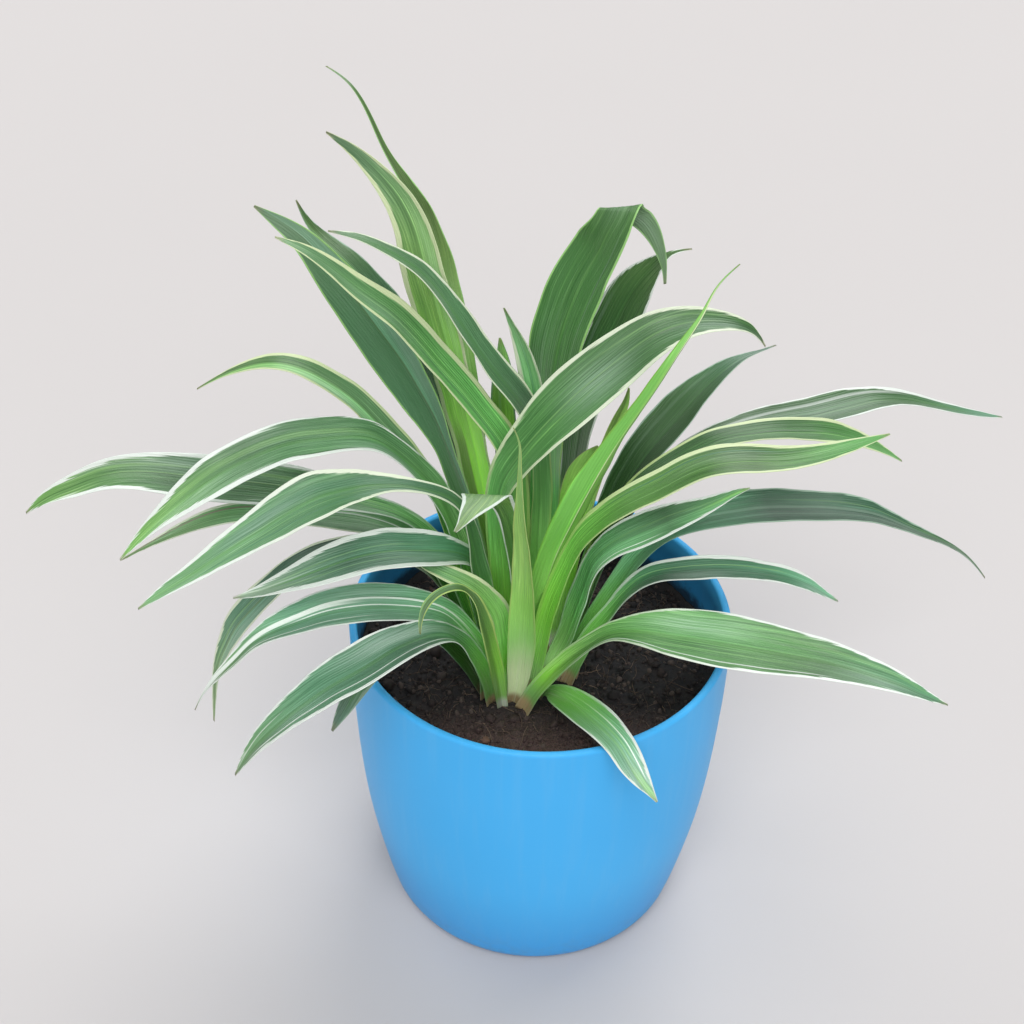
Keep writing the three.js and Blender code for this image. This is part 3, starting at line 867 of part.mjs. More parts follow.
function outerRadius(z) {
  const wall = [...OUTER_WALL, [POT_HEIGHT, RIM_OUTER_R]];
  for (let i = 0; i < wall.length - 1; i++)
    if (z <= wall[i + 1][0])
      return THREE.MathUtils.mapLinear(z, wall[i][0], wall[i + 1][0], wall[i][1], wall[i + 1][1]);
  return RIM_OUTER_R;
}

function potMesh() {
  const profile = [[0, 0], ...OUTER_WALL.map(([z, r]) => [r, z])];
  // lip: outer round, top, inner round
  profile.push([RIM_OUTER_R, POT_HEIGHT - LIP_ROUND]);
  profile.push([RIM_OUTER_R - 0.4 * LIP_ROUND, POT_HEIGHT - 0.25 * LIP_ROUND]);
  profile.push([RIM_OUTER_R - 1.1 * LIP_ROUND, POT_HEIGHT]);
  profile.push([RIM_OUTER_R - LIP_WALL + 0.7 * LIP_ROUND, POT_HEIGHT - 0.12 * LIP_ROUND]);
  profile.push([RIM_OUTER_R - LIP_WALL, POT_HEIGHT - LIP_ROUND]);
  for (const z of [110, 75, 45, 25, 12, 7]) profile.push([outerRadius(z) - WALL, z]);
  profile.push([outerRadius(5) - WALL - 2.4, FLOOR_THICKNESS + 0.6], [outerRadius(5) - WALL - 6, FLOOR_THICKNESS]);
  profile.push([0, FLOOR_THICKNESS]);
  const geometry = new THREE.LatheGeometry(
    profile.map(([r, z]) => new THREE.Vector2(r, z)),
    POT_SEGMENTS,
  );
  geometry.rotateX(Math.PI / 2);
  const mesh = new THREE.Mesh(
    geometry,
    new THREE.MeshStandardMaterial({ color: COLOURS.pot, roughness: 0.4, metalness: 0 }),
  );
  mesh.name = "pot";
  return mesh;
}

// Soil level at a point: flat under the crown, then falling and uneven toward the wall.
function soilLevel(x, y) {
  const far = THREE.MathUtils.smoothstep(Math.hypot(x, y + 8), 34, 74);
  const uneven = 0.5 + 0.25 * Math.sin(0.21 * x + 1.3) + 0.25 * Math.sin(0.17 * y - 0.11 * x + 0.4);
  return SOIL_TOP - far * (SOIL_DIP * 0.55 + SOIL_DIP * 0.45 * uneven) - 0.02;
}

function soilMesh() {
  const positions = [];
  const faces = [];
  const side = [110, 75, 45, 25, 12, 7];
  const wallRadius = (z) => outerRadius(z) - WALL - SOIL_GAP - 0.2;
  const top = (r, k) => {
    const t = (2 * Math.PI * k) / SOIL_SEGMENTS;
    const x = r * Math.cos(t);
    const y = r * Math.sin(t);
    return [x, y, soilLevel(x, y)];
  };
  const rings = [];
  const ring = (make) => {
    rings.push(positions.length / 3);
    for (let k = 0; k < SOIL_SEGMENTS; k++) positions.push(...make(k));
  };
  positions.push(0, 0, soilLevel(0, 0));
  for (let i = 1; i <= SOIL_RINGS; i++) ring((k) => top((wallRadius(114) * i) / SOIL_RINGS, k));
  const flat = (r, z) =>
    ring((k) => {
      const t = (2 * Math.PI * k) / SOIL_SEGMENTS;
      return [r * Math.cos(t), r * Math.sin(t), z];
    });
  for (const z of side) flat(wallRadius(z), z);
  flat(wallRadius(5) - 6.4, FLOOR_THICKNESS + SOIL_GAP);
  const bottom = positions.length / 3;
  positions.push(0, 0, FLOOR_THICKNESS + SOIL_GAP);
  for (let k = 0; k < SOIL_SEGMENTS; k++) {
    const n = (k + 1) % SOIL_SEGMENTS;
    faces.push(0, rings[0] + k, rings[0] + n);
    for (let i = 0; i < rings.length - 1; i++) {
      const [a, b, c, d] = [rings[i] + k, rings[i] + n, rings[i + 1] + n, rings[i + 1] + k];
      faces.push(a, d, c, a, c, b);
    }
    const l = rings[rings.length - 1];
    faces.push(bottom, l + n, l + k);
  }
  return closedMesh(
    "soil",
    positions,
    faces,
    new THREE.MeshStandardMaterial({ color: COLOURS.soil, roughness: 0.95, metalness: 0 }),
  );
}

const group = new THREE.Group();
group.add(potMesh());
group.add(soilMesh());
for (const [name, rows] of Object.entries(LEAVES)) group.add(leafMesh(name, rows));

export default group;
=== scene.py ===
"""Potted spider plant: variegated strap leaves in two crowns, growing in dark coir potting mix in a round blue plastic pot.

Metres, +Z up, origin at the middle of the pot's underside, +Y away from the camera."""

import math

import bpy
import numpy as np
from mathutils import Matrix


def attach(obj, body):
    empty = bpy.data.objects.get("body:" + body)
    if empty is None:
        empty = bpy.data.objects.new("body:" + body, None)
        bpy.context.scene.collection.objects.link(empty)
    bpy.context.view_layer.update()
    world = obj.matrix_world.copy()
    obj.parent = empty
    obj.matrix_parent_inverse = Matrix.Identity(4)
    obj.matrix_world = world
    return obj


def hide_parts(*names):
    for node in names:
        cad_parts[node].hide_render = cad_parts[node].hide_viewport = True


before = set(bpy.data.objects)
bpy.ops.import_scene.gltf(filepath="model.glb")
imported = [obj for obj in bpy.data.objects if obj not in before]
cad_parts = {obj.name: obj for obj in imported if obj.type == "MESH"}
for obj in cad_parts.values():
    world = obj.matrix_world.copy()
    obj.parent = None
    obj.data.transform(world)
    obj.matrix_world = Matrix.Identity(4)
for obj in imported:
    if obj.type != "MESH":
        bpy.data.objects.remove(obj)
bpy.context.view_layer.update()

MM = 0.001

# ---------------------------------------------------------------- camera

CAMERA_ELEVATION = 40.0  # degrees above the horizon
CAMERA_ROLL = 1.3
CAMERA_DISTANCE = 0.700
CAMERA_TARGET = (-0.0121, 0.0, 0.192)
FOCAL_PX = 1870.0  # for a picture 1024 px wide


def make_camera():
    e, r = math.radians(CAMERA_ELEVATION), math.radians(CAMERA_ROLL)
    back = np.array([0.0, -math.cos(e), math.sin(e)])
    right = np.array([1.0, 0.0, 0.0])
    up = np.array([0.0, math.sin(e), math.cos(e)])
    x = math.cos(r) * right + math.sin(r) * up
    y = -math.sin(r) * right + math.cos(r) * up
    data = bpy.data.cameras.new("studio_camera")
    data.sensor_fit = "HORIZONTAL"
    data.sensor_width = 36.0
    data.lens = 36.0 * FOCAL_PX / 1024.0
    data.clip_start = 0.02
    data.clip_end = 50.0
    data.dof.use_dof = False
    cam = bpy.data.objects.new("studio_camera", data)
    bpy.context.scene.collection.objects.link(cam)
    place = np.eye(4)
    place[:3, 0], place[:3, 1], place[:3, 2] = x, y, back
    place[:3, 3] = np.array(CAMERA_TARGET) + back * CAMERA_DISTANCE
    cam.matrix_world = Matrix(place.tolist())
    bpy.context.scene.camera = cam


make_camera()

# ---------------------------------------------------------------- sizes of the pot and soil, mm

RIM_OUTER_R = 75.0
POT_HEIGHT = 140.0
WALL = 2.6
LIP_WALL = 3.1
LIP_ROUND = 1.3
FLOOR_THICKNESS = 3.4
OUTER_WALL = [(0, 55.5), (0.5, 58.3), (1.8, 60.3), (5, 61.7), (12, 63.4), (25, 66.1), (45, 69.6), (75, 72.8), (110, 74.6), (138.7, 75.0)]
SOIL_TOP = 117.2
SOIL_DIP = 3.2

# ---------------------------------------------------------------- leaves

# Each row is a station from tip to base: [x, y, z, half width, azimuth, elevation, keel].
# x, y, z is the midrib in mm; azimuth and elevation (degrees) point across the blade; keel is how far
# each margin stands off the midrib, as a share of the half width.
LEAVES = {
    "leaf_tall_thread_tip": [
        [-81.12, 67.73, 337.96, 0.44, 57, -14, 0.22],
        [-72.28, 60.73, 334.76, 0.84, 61.7, -15.2, 0.22],
        [-65.55, 55.4, 325.88, 1.24, 66.1, -13.6, 0.22],
        [-60, 50.95, 314.96, 1.85, 66.8, -12.5, 0.22],
        [-52.72, 45.06, 305.25, 3.48, 66.3, -11.7, 0.22],
        [-46.15, 39.66, 294.67, 5.87, 66, -8.8, 0.22],
        [-42.28, 36.48, 281.81, 7.75, 64, -5.1, 0.22],
        [-39.75, 34.36, 267.96, 9.21, 61, -3.1, 0.22],
        [-37.62, 32.48, 253.64, 10.13, 58.8, -2.6, 0.22],
        [-35.21, 30.28, 239.12, 10.23, 57.8, -2.6, 0.22],
        [-32.7, 27.87, 224.48, 9.76, 57.5, -2.8, 0.22],
        [-30.21, 25.36, 209.71, 8.94, 57.8, -3, 0.22],
        [-27.93, 23, 194.73, 7.82, 56.4, -2.4, 0.24],
        [-25.67, 20.94, 179.4, 6.41, 51, -0.7, 0.27],
        [-23.33, 19.17, 163.6, 5.16, 43.6, 1.8, 0.3],
        [-20.99, 17.74, 147.04, 4.26, 38.2, 5.7, 0.33],
        [-15.54, 14.35, 131.05, 3.56, 36.3, 10.8, 0.36],
        [-6.68, 8.65, 117.5, 3.04, 36.7, 14.1, 0.4],
    ],
    "leaf_tall_cream_edge": [
        [-79.69, 45.87, 324.11, 0.5, -49.6, 70.7, 0.22],
        [-70.52, 40.53, 320.86, 2.5, -28.1, 65.6, 0.22],
        [-61.72, 35.31, 315.32, 4.24, -16.6, 53.9, 0.22],
        [-53.87, 30.61, 307.69, 5.9, -14.3, 39, 0.22],
        [-48.63, 27.35, 297.39, 7.24, -16.5, 25.6, 0.22],
        [-45.64, 25.35, 285.56, 8.38, -19.8, 18.7, 0.22],
        [-42.37, 23.09, 273.51, 9.04, -23.6, 17.6, 0.22],
        [-39.02, 20.65, 261.22, 9.15, -28.1, 17.8, 0.22],
        [-35.52, 18.12, 248.71, 9.11, -33, 17.6, 0.22],
        [-32.07, 15.74, 235.87, 9.27, -37.3, 16.4, 0.22],
        [-28.84, 13.65, 222.59, 9.3, -40.3, 14.6, 0.22],
        [-25.73, 11.8, 208.81, 8.82, -42.1, 12.3, 0.22],
        [-23.24, 10.7, 194.42, 7.97, -40.9, 10.6, 0.24],
        [-19.72, 9.82, 179.61, 6.82, -34, 10.1, 0.27],
        [-16.56, 9.11, 164.26, 5.84, -23.7, 10.4, 0.3],
        [-15.66, 8.49, 148.62, 5.09, -12.5, 11.9, 0.33],
        [-13.11, 7.23, 132.98, 4.54, -3.3, 13.8, 0.36],
        [-9.01, 5.48, 117.5, 4.17, 0.9, 14.7, 0.4],
    ],
    "leaf_broad_upper_left": [
        [-103.38, 24.4, 306.75, 0.5, -16.4, 59.6, 0.4],
        [-94.66, 23.26, 301.66, 2.9, -1, 54.8, 0.4],
        [-86.21, 21.85, 295.3, 4.6, 6.1, 45.6, 0.4],
        [-79.34, 20.85, 286.57, 6.29, 7.1, 38.2, 0.4],
        [-72.45, 19.85, 277.31, 7.83, 4.1, 34.7, 0.4],
        [-65.6, 18.65, 267.62, 8.72, -2.3, 33, 0.4],
        [-58.78, 17.39, 257.53, 9.46, -11.3, 31.1, 0.4],
        [-52.14, 16.1, 246.93, 10.12, -20.7, 28.8, 0.4],
        [-45.92, 14.41, 235.82, 9.72, -29.2, 26, 0.4],
        [-40.25, 12.18, 224.14, 7.66, -36.1, 22.2, 0.4],
        [-35.54, 10.23, 211.72, 5.61, -41.6, 17.6, 0.4],
        [-31.32, 9.4, 198.79, 6.16, -45.5, 13.7, 0.4],
        [-27.63, 9.07, 185.48, 6.77, -45.3, 11.7, 0.45],
        [-25.02, 8.4, 171.78, 5.71, -38.9, 11.1, 0.5],
        [-22.8, 7.67, 157.89, 4.61, -29.1, 11, 0.56],
        [-20.97, 6.99, 143.87, 4.04, -18, 11.9, 0.61],
        [-18.61, 6.06, 129.87, 3.71, -7.9, 14.1, 0.67],
        [-15.22, 3.65, 117.5, 3.41, -2.9, 15.9, 0.72],
    ],
    "leaf_dark_upper_left": [
        [-92.4, 50, 294.15, 0.5, 73.4, -5, 0.22],
        [-88.11, 48.08, 285.59, 2.34, 71.5, -5.9, 0.22],
        [-80.79, 44.57, 279.37, 4.3, 69.3, -5.8, 0.22],
        [-72.9, 40.79, 273.66, 5.82, 68.6, -4.9, 0.22],
        [-65.89, 37.48, 266.13, 7.11, 69, -4.2, 0.22],
        [-59.07, 34.23, 257.98, 8.51, 69.8, -3.6, 0.22],
        [-53.33, 31.61, 248.49, 8.77, 70.5, -2.8, 0.22],
        [-48.53, 29.49, 237.89, 8.6, 71.1, -2.2, 0.22],
        [-44.28, 27.65, 226.61, 8.35, 71.4, -1.9, 0.22],
        [-40.38, 25.97, 214.9, 7.83, 71.4, -1.7, 0.22],
        [-36.94, 24.47, 202.78, 7.47, 70.8, -1.6, 0.22],
        [-34, 23.12, 190.32, 7.37, 70, -1.7, 0.22],
        [-31.23, 21.8, 177.69, 6.79, 66.2, -1.4, 0.25],
        [-28.39, 20.4, 165, 5.62, 57.6, -0.2, 0.28],
        [-25.49, 18.7, 152.38, 4.58, 47, 1.4, 0.31],
        [-22.91, 16.74, 139.8, 3.9, 38.3, 3.9, 0.34],
        [-20.24, 14.32, 127.16, 3.44, 35.4, 8.4, 0.37],
        [-13.98, 9.86, 117.5, 3.04, 36.5, 12.1, 0.4],
    ],
    "leaf_crossing_upper": [
        [-76.63, 9.61, 306.28, 0.5, 91.3, 0.9, 0.22],
        [-66.67, 9.89, 303.77, 2.25, 90.6, 1.9, 0.22],
        [-56.83, 10.13, 298.76, 3.5, 89.3, 3.1, 0.22],
        [-47.44, 10.37, 292.11, 4.7, 87, 4.6, 0.22],
        [-39.75, 10.62, 282.92, 5.57, 83.9, 5.7, 0.22],
        [-33.32, 10.87, 272.09, 6.67, 82, 5.9, 0.22],
        [-26.92, 11.08, 260.68, 7.38, 81.9, 5.6, 0.22],
        [-19.96, 11.18, 249.14, 7.86, 82.1, 5.2, 0.22],
        [-12.26, 11.27, 237.92, 8.04, 79.8, 5.4, 0.22],
        [-5.97, 11.4, 225.85, 7.38, 73.1, 5.3, 0.22],
        [-3.42, 11.55, 212.07, 7.13, 65.2, 2.9, 0.22],
        [-2.23, 11.4, 197.92, 7, 59.4, -0.7, 0.23],
        [-2.14, 10.7, 183.93, 6.26, 51.6, -3.9, 0.25],
        [-2.32, 9.29, 170.29, 5.17, 41.6, -5.8, 0.28],
        [-2.59, 7.49, 156.83, 4.26, 31.5, -5.3, 0.31],
        [-2.96, 5.45, 143.45, 3.66, 25, -1.7, 0.34],
        [-2.06, 3.28, 130.12, 3.24, 23.7, 4.4, 0.37],
        [1.45, 1.18, 117.5, 2.95, 25.3, 8.7, 0.4],
    ],
    "leaf_arching_centre_left": [
        [-92.44, -6.05, 313.16, 0.5, 90.6, 7.3, 0.22],
        [-82.79, -5.16, 307.49, 2.67, 87.8, 10.6, 0.22],
        [-73.67, -4.08, 299.35, 4.43, 84.8, 13, 0.22],
        [-64.73, -2.84, 289.94, 5.85, 83.2, 14.1, 0.22],
        [-54.95, -1.51, 280.94, 7.1, 82.2, 14, 0.22],
        [-46.67, -0.49, 270.1, 7.65, 81, 13.1, 0.22],
        [-38.85, 0.62, 258.48, 8.1, 80.7, 11.4, 0.22],
        [-30.91, 1.5, 246.81, 8.16, 80.5, 8.9, 0.22],
        [-23.31, 1.83, 235.25, 8.04, 78.2, 5.9, 0.22],
        [-16.55, 1.54, 224, 8.34, 72.8, 2.1, 0.22],
        [-12.48, 0.25, 212.65, 8.54, 66.2, -2.3, 0.22],
        [-11.31, -1.78, 200.67, 7.85, 61.8, -4.8, 0.23],
        [-10.5, -3.58, 188.24, 6.72, 56.6, -3.8, 0.25],
        [-9.87, -4.58, 175.17, 5.5, 48.9, -1.1, 0.28],
        [-9.33, -5, 161.48, 4.52, 41.1, 2.6, 0.31],
        [-7.75, -4.96, 147.34, 3.81, 34.9, 7.1, 0.34],
        [-4.65, -4.6, 133.06, 3.29, 29.9, 10.3, 0.37],
        [-1.35, -4.01, 117.5, 2.96, 27.5, 11.3, 0.4],
    ],
    "leaf_arching_centre_right": [
        [76.01, 8.64, 263.66, 0.5, -99.3, -19.4, 0.2],
        [69.5, 7.01, 272.23, 2.19, -92.7, -21.4, 0.2],
        [59.17, 5.02, 276.25, 4.24, -83.7, -23.5, 0.2],
        [47.9, 2.73, 276.92, 6.07, -74, -27.6, 0.2],
        [37, 0.3, 273.87, 7.96, -61.8, -30.1, 0.2],
        [27.23, -2.25, 267.28, 9.44, -52.4, -29.3, 0.2],
        [17.65, -5.35, 259.7, 10.42, -49.4, -25.9, 0.2],
        [8.14, -9.26, 251.98, 10.89, -51.3, -20.3, 0.2],
        [-0.78, -13.02, 243.21, 10.37, -56.2, -14.1, 0.2],
        [-8.98, -15.44, 232.38, 8.99, -60.8, -10.3, 0.2],
        [-15.63, -15.56, 218.64, 7.45, -59.7, -7.5, 0.2],
        [-17.07, -14.86, 202.14, 6.84, -55.1, -3.3, 0.2],
        [-15.85, -13.8, 185.07, 6.3, -48.4, 0.2, 0.23],
        [-14.64, -12.81, 168.36, 5.37, -37.6, 3, 0.26],
        [-13.34, -12.24, 153.04, 4.58, -25.1, 6, 0.29],
        [-11.19, -11.53, 139.52, 4.1, -14.3, 8.8, 0.32],
        [-9.04, -11.02, 127.2, 3.84, -7.7, 10.2, 0.34],
        [-7.25, -10.71, 117.5, 3.72, -5.3, 10.5, 0.36],
    ],
    "leaf_centre_spike": [
        [-12.15, -63.05, 279.92, 0.34, -46.5, -1, 0.35],
        [-10.11, -61.18, 272.24, 0.5, -51, -5.4, 0.35],
        [-9.65, -59.19, 263.78, 0.84, -56, -9.3, 0.35],
        [-9.34, -57.05, 255, 1.39, -58.2, -10.8, 0.35],
        [-9.02, -54.72, 245.96, 2.19, -57.9, -11.1, 0.35],
        [-8.62, -52.28, 236.69, 3.05, -56.3, -10.8, 0.35],
        [-8.15, -49.7, 227.2, 3.86, -53.5, -10, 0.35],
        [-7.42, -47.05, 217.48, 4.55, -50.1, -9.2, 0.35],
        [-6.95, -44.37, 207.5, 4.84, -45.9, -8.8, 0.35],
        [-6.73, -41.66, 197.33, 4.9, -40.2, -8.2, 0.35],
        [-6.69, -38.86, 187.01, 4.95, -32.8, -7.2, 0.35],
        [-6.86, -35.99, 176.6, 5.04, -24.2, -5.5, 0.36],
        [-6.97, -32.96, 166.16, 5.16, -15.1, -3.5, 0.41],
        [-7.07, -30.09, 155.68, 5.21, -9.2, -2.7, 0.46],
        [-7.4, -27.69, 145.31, 4.92, -7.2, -3.3, 0.51],
        [-7.83, -26.04, 135.28, 4.35, -7.9, -4.6, 0.55],
        [-8.41, -25.37, 125.92, 3.46, -10.1, -6.5, 0.59],
        [-9.6, -25.25, 117.5, 2.69, -12.6, -8.1, 0.63],
    ],
    "leaf_centre_curled_tip": [
        [-30.89, -64.32, 236.75, 0.5, -15.8, -17.9, 0.08],
        [-28.98, -61.5, 237.74, 1.33, -15, -17.2, 0.1],
        [-27.07, -58.14, 238.79, 2.68, -12.3, -14.2, 0.1],
        [-24.38, -53.41, 239.11, 4.64, -7.6, -8.9, 0.06],
        [-22.32, -49.49, 238.96, 6.59, -3, -3.6, 0.03],
        [-20.91, -45.05, 237.1, 8.34, -0.4, -0.5, 0],
        [-18.54, -42.91, 233.57, 6.7, 2, -3.9, -0.05],
        [-16.31, -40.62, 229.47, 5.22, 3.8, -8, -0.1],
        [-14.24, -38.54, 223.77, 4.27, 5.7, -12, -0.2],
        [-12.45, -36.1, 215.21, 3.92, 6.7, -14, -0.26],
        [-10.96, -33.16, 204.77, 3.78, 8.3, -15.3, -0.28],
        [-9.68, -30.47, 193.95, 3.55, 9.7, -15.1, -0.28],
        [-8.76, -27.8, 183.01, 3.33, 10.9, -13.6, -0.25],
        [-8.32, -25.56, 172.26, 3.16, 12, -10.7, -0.2],
        [-8.27, -23.75, 162.64, 3.01, 12.2, -7.2, -0.16],
        [-8.29, -22.66, 152.95, 2.86, 13.2, -2.9, -0.13],
        [-8.25, -22.02, 143.43, 2.73, 14.4, -0.1, -0.13],
        [-8.16, -21.97, 134.61, 2.62, 14.9, 2.1, -0.12],
        [-7.88, -22.23, 125.97, 2.48, 15.5, 4.2, -0.1],
        [-7.6, -22, 117.5, 2.25, 15.6, 4.8, -0.05],
    ],
    "leaf_left_cream_edge": [
        [-124.84, -1.25, 246.65, 0.45, 94.3, 2.8, 0.22],
        [-116.9, -0.89, 251.69, 1.2, 93.5, 2.7, 0.22],
        [-107.86, -0.59, 255.87, 2.9, 91.9, 1.4, 0.22],
        [-97.8, -0.39, 257.97, 4.76, 90.8, -0, 0.22],
        [-87.51, -0.28, 255.73, 5.89, 89.9, 0.5, 0.22],
        [-78.02, -0.26, 249.78, 6.66, 87.9, 1.7, 0.22],
        [-69.26, -0.43, 242.28, 7.34, 85.5, 2.1, 0.22],
        [-61.76, -0.89, 233.25, 7.5, 83.8, 1.5, 0.22],
        [-54.46, -1.6, 223.78, 7.36, 83, 0.7, 0.22],
        [-47.23, -2.44, 214.16, 6.6, 81.5, 0.5, 0.22],
        [-41.28, -3.28, 203.72, 6.02, 78.6, 0.8, 0.22],
        [-37.25, -4.07, 192.18, 6.07, 75.3, 1.1, 0.22],
        [-33.56, -4.77, 180.26, 5.74, 70.2, 2.1, 0.25],
        [-29.98, -5.41, 168.11, 4.86, 61, 4.3, 0.28],
        [-26.43, -6.03, 155.74, 4.06, 49.5, 6.7, 0.31],
        [-23.34, -6.65, 143.08, 3.55, 38.9, 8.7, 0.34],
        [-20.13, -7.29, 130.23, 3.2, 31.8, 10.7, 0.37],
        [-16.58, -7.97, 117.5, 2.92, 29.2, 11.8, 0.4],
    ],
    "leaf_left_large": [
        [-148.89, -47.33, 205.68, 0.5, 117.4, 5.8, 0.22],
        [-141.78, -44.39, 213.35, 2.24, 121.2, 10.9, 0.22],
        [-133.43, -41.08, 220.73, 4.17, 123.7, 16.4, 0.22],
        [-124.06, -37.46, 227.63, 6.36, 123.9, 20.8, 0.22],
        [-113.86, -33.78, 234.1, 7.84, 120.6, 22.2, 0.22],
        [-102.34, -30.02, 239.09, 8.3, 114.7, 19.8, 0.22],
        [-89.82, -26.16, 242.3, 8.75, 109.1, 14.4, 0.22],
        [-76.41, -22.16, 242.04, 9, 105.7, 8.9, 0.22],
        [-62.96, -18.16, 239.39, 7.81, 102.6, 7.3, 0.22],
        [-52.5, -14.95, 229.58, 6.8, 96.3, 8.4, 0.22],
        [-44, -12.61, 217.24, 7.37, 88.4, 7.6, 0.22],
        [-37.33, -11.57, 204.09, 7.25, 80.8, 4.6, 0.22],
        [-32.75, -12.12, 190.64, 6.15, 72.2, 2, 0.25],
        [-28.75, -13.61, 177.48, 5.17, 62.4, 2.2, 0.28],
        [-25.23, -15.04, 163.99, 4.37, 52.3, 5.3, 0.3],
        [-22.02, -15.41, 149.26, 3.79, 42.3, 9, 0.33],
        [-18.39, -14.76, 133.55, 3.46, 34.2, 11.6, 0.36],
        [-14.73, -13.67, 117.5, 3.31, 30.8, 12.6, 0.4],
    ],
    "leaf_left_front": [
        [-139.6, -67.87, 201.63, 0.5, 108.9, 2.6, 0.22],
        [-130.54, -65, 207.41, 2.7, 111.5, 6.8, 0.22],
        [-120.71, -61.79, 212.96, 4.33, 114, 10.9, 0.22],
        [-110.7, -58.46, 219.07, 5.94, 116.1, 14.1, 0.22],
        [-100.27, -55.03, 225.11, 7.51, 116.6, 15.5, 0.22],
        [-89.61, -51.56, 231.21, 9.27, 114.7, 14.5, 0.22],
        [-78.53, -48.07, 236.17, 10.22, 111, 11.1, 0.22],
        [-66.57, -44.31, 237.8, 8.22, 108.6, 6.8, 0.22],
        [-54.14, -40.19, 236.54, 4.81, 108, 4.1, 0.22],
        [-42.3, -36, 231.58, 3.48, 106.2, 5.8, 0.22],
        [-32.27, -32.15, 223.05, 3.53, 95.9, 11.2, 0.22],
        [-27.72, -29.9, 209.77, 4.72, 80, 11.6, 0.22],
        [-25.62, -28.21, 195.05, 5.77, 70.5, 9.8, 0.24],
        [-23.42, -26.23, 179.62, 5.5, 61.7, 10.4, 0.27],
        [-20.78, -23.72, 163.44, 4.54, 51, 11.3, 0.3],
        [-17.8, -21.48, 147.37, 3.83, 40.3, 11.5, 0.34],
        [-14.68, -20.15, 131.99, 3.47, 32.2, 11.4, 0.37],
        [-11.76, -19.29, 117.5, 3.3, 28.9, 11.4, 0.4],
    ],
    "leaf_far_left": [
        [-189.81, -14.84, 198.69, 0.5, 113, 22.4, 0.22],
        [-181.54, -14.13, 205.65, 2.51, 115.7, 30.2, 0.22],
        [-171.27, -13.29, 210.72, 4.27, 114.1, 38, 0.22],
        [-160.35, -12.5, 215.3, 5.35, 107, 44.3, 0.22],
        [-148.32, -11.68, 216.71, 6.5, 95.6, 46.8, 0.22],
        [-135.84, -10.86, 215.29, 7.72, 87.8, 45.4, 0.22],
        [-122.98, -10.15, 213.08, 8.48, 86.4, 41.4, 0.22],
        [-109.73, -9.61, 211.36, 8.68, 87.3, 34.6, 0.22],
        [-96.33, -9.17, 209.31, 8.61, 87.7, 25.3, 0.22],
        [-82.88, -8.83, 206.56, 7.64, 88.5, 15.4, 0.22],
        [-69.57, -8.43, 202.09, 5.75, 90.2, 7, 0.22],
        [-56.16, -7.84, 197.36, 4.31, 91.3, 2.8, 0.22],
        [-45.01, -7.18, 188.61, 3.98, 87.5, 5, 0.24],
        [-37.65, -6.54, 176.09, 4.03, 74.4, 9.7, 0.27],
        [-32.36, -5.93, 162.12, 4.04, 58.3, 11.8, 0.3],
        [-27.66, -5.47, 147.65, 3.67, 43.9, 12.2, 0.33],
        [-23.54, -5.16, 132.77, 3.24, 32.8, 11.4, 0.36],
        [-20.55, -4.95, 117.5, 2.94, 27.6, 10.4, 0.4],
    ],
    "leaf_left_under": [
        [-154.36, -26.61, 187.14, 0.49, 97.9, -3.6, 0.22],
        [-146.7, -25.27, 191.43, 1.26, 98.2, -3.2, 0.22],
        [-138.43, -23.83, 195.62, 2.68, 98.5, -3, 0.22],
        [-129.66, -22.31, 199.53, 4.51, 98.7, -3.3, 0.22],
        [-120.4, -20.71, 202.58, 5.82, 99.1, -4, 0.22],
        [-110.55, -18.97, 203.73, 6.1, 99.9, -4.2, 0.22],
        [-100.36, -17.18, 202.54, 6.67, 100.4, -3.6, 0.22],
        [-89.92, -15.33, 200.49, 7.65, 100.5, -2.8, 0.22],
        [-79.32, -13.44, 198.15, 8.3, 100.6, -2.2, 0.22],
        [-68.77, -11.55, 195.27, 8.53, 100.4, -1.1, 0.22],
        [-58.79, -9.7, 190.77, 7.86, 99.2, 1.3, 0.22],
        [-49.96, -8, 183.91, 7.05, 95.1, 4.9, 0.22],
        [-42.87, -6.51, 174.96, 6.29, 86, 8.8, 0.24],
        [-37.87, -5.35, 164.28, 5.18, 72.1, 11.9, 0.27],
        [-33.38, -4.39, 152.97, 4.21, 58.4, 13.9, 0.3],
        [-29.18, -3.54, 141.32, 3.6, 46.6, 15.5, 0.33],
        [-25.07, -2.76, 129.46, 3.2, 38, 16.4, 0.36],
        [-21.17, -2.02, 117.5, 2.93, 34.4, 16.7, 0.4],
    ],
    "leaf_left_middle": [
        [-108.83, -56.62, 197.31, 0.5, 105.1, -1.6, 0.22],
        [-101.48, -54.57, 197.91, 2.33, 106.3, 4.1, 0.22],
        [-93.81, -52.3, 199.58, 4.09, 108.4, 9.8, 0.22],
        [-85.96, -49.89, 201.61, 5.73, 110.4, 14, 0.22],
        [-77.98, -47.35, 203.73, 7.2, 111.3, 15.8, 0.22],
        [-69.87, -44.67, 205.44, 8.27, 111, 15.1, 0.22],
        [-61.6, -41.79, 206.03, 8.83, 110.6, 12.5, 0.22],
        [-53.27, -38.54, 204.99, 9.49, 111.4, 9.5, 0.22],
        [-44.92, -34.78, 202.06, 9.5, 113.6, 7.5, 0.22],
        [-36.49, -30.26, 198.14, 7.82, 114.2, 9.3, 0.22],
        [-28.79, -25.05, 191.61, 5.42, 105.6, 15.9, 0.22],
        [-24.11, -20.72, 181.25, 4.58, 85.7, 17.6, 0.22],
        [-22.2, -18.34, 170.1, 4.55, 67.8, 11.8, 0.25],
        [-21.04, -17.2, 159.22, 4.14, 53.9, 6.2, 0.28],
        [-20.23, -16.94, 148.64, 3.63, 42.4, 3.8, 0.31],
        [-19.34, -17.08, 138.3, 3.28, 33.6, 4.4, 0.34],
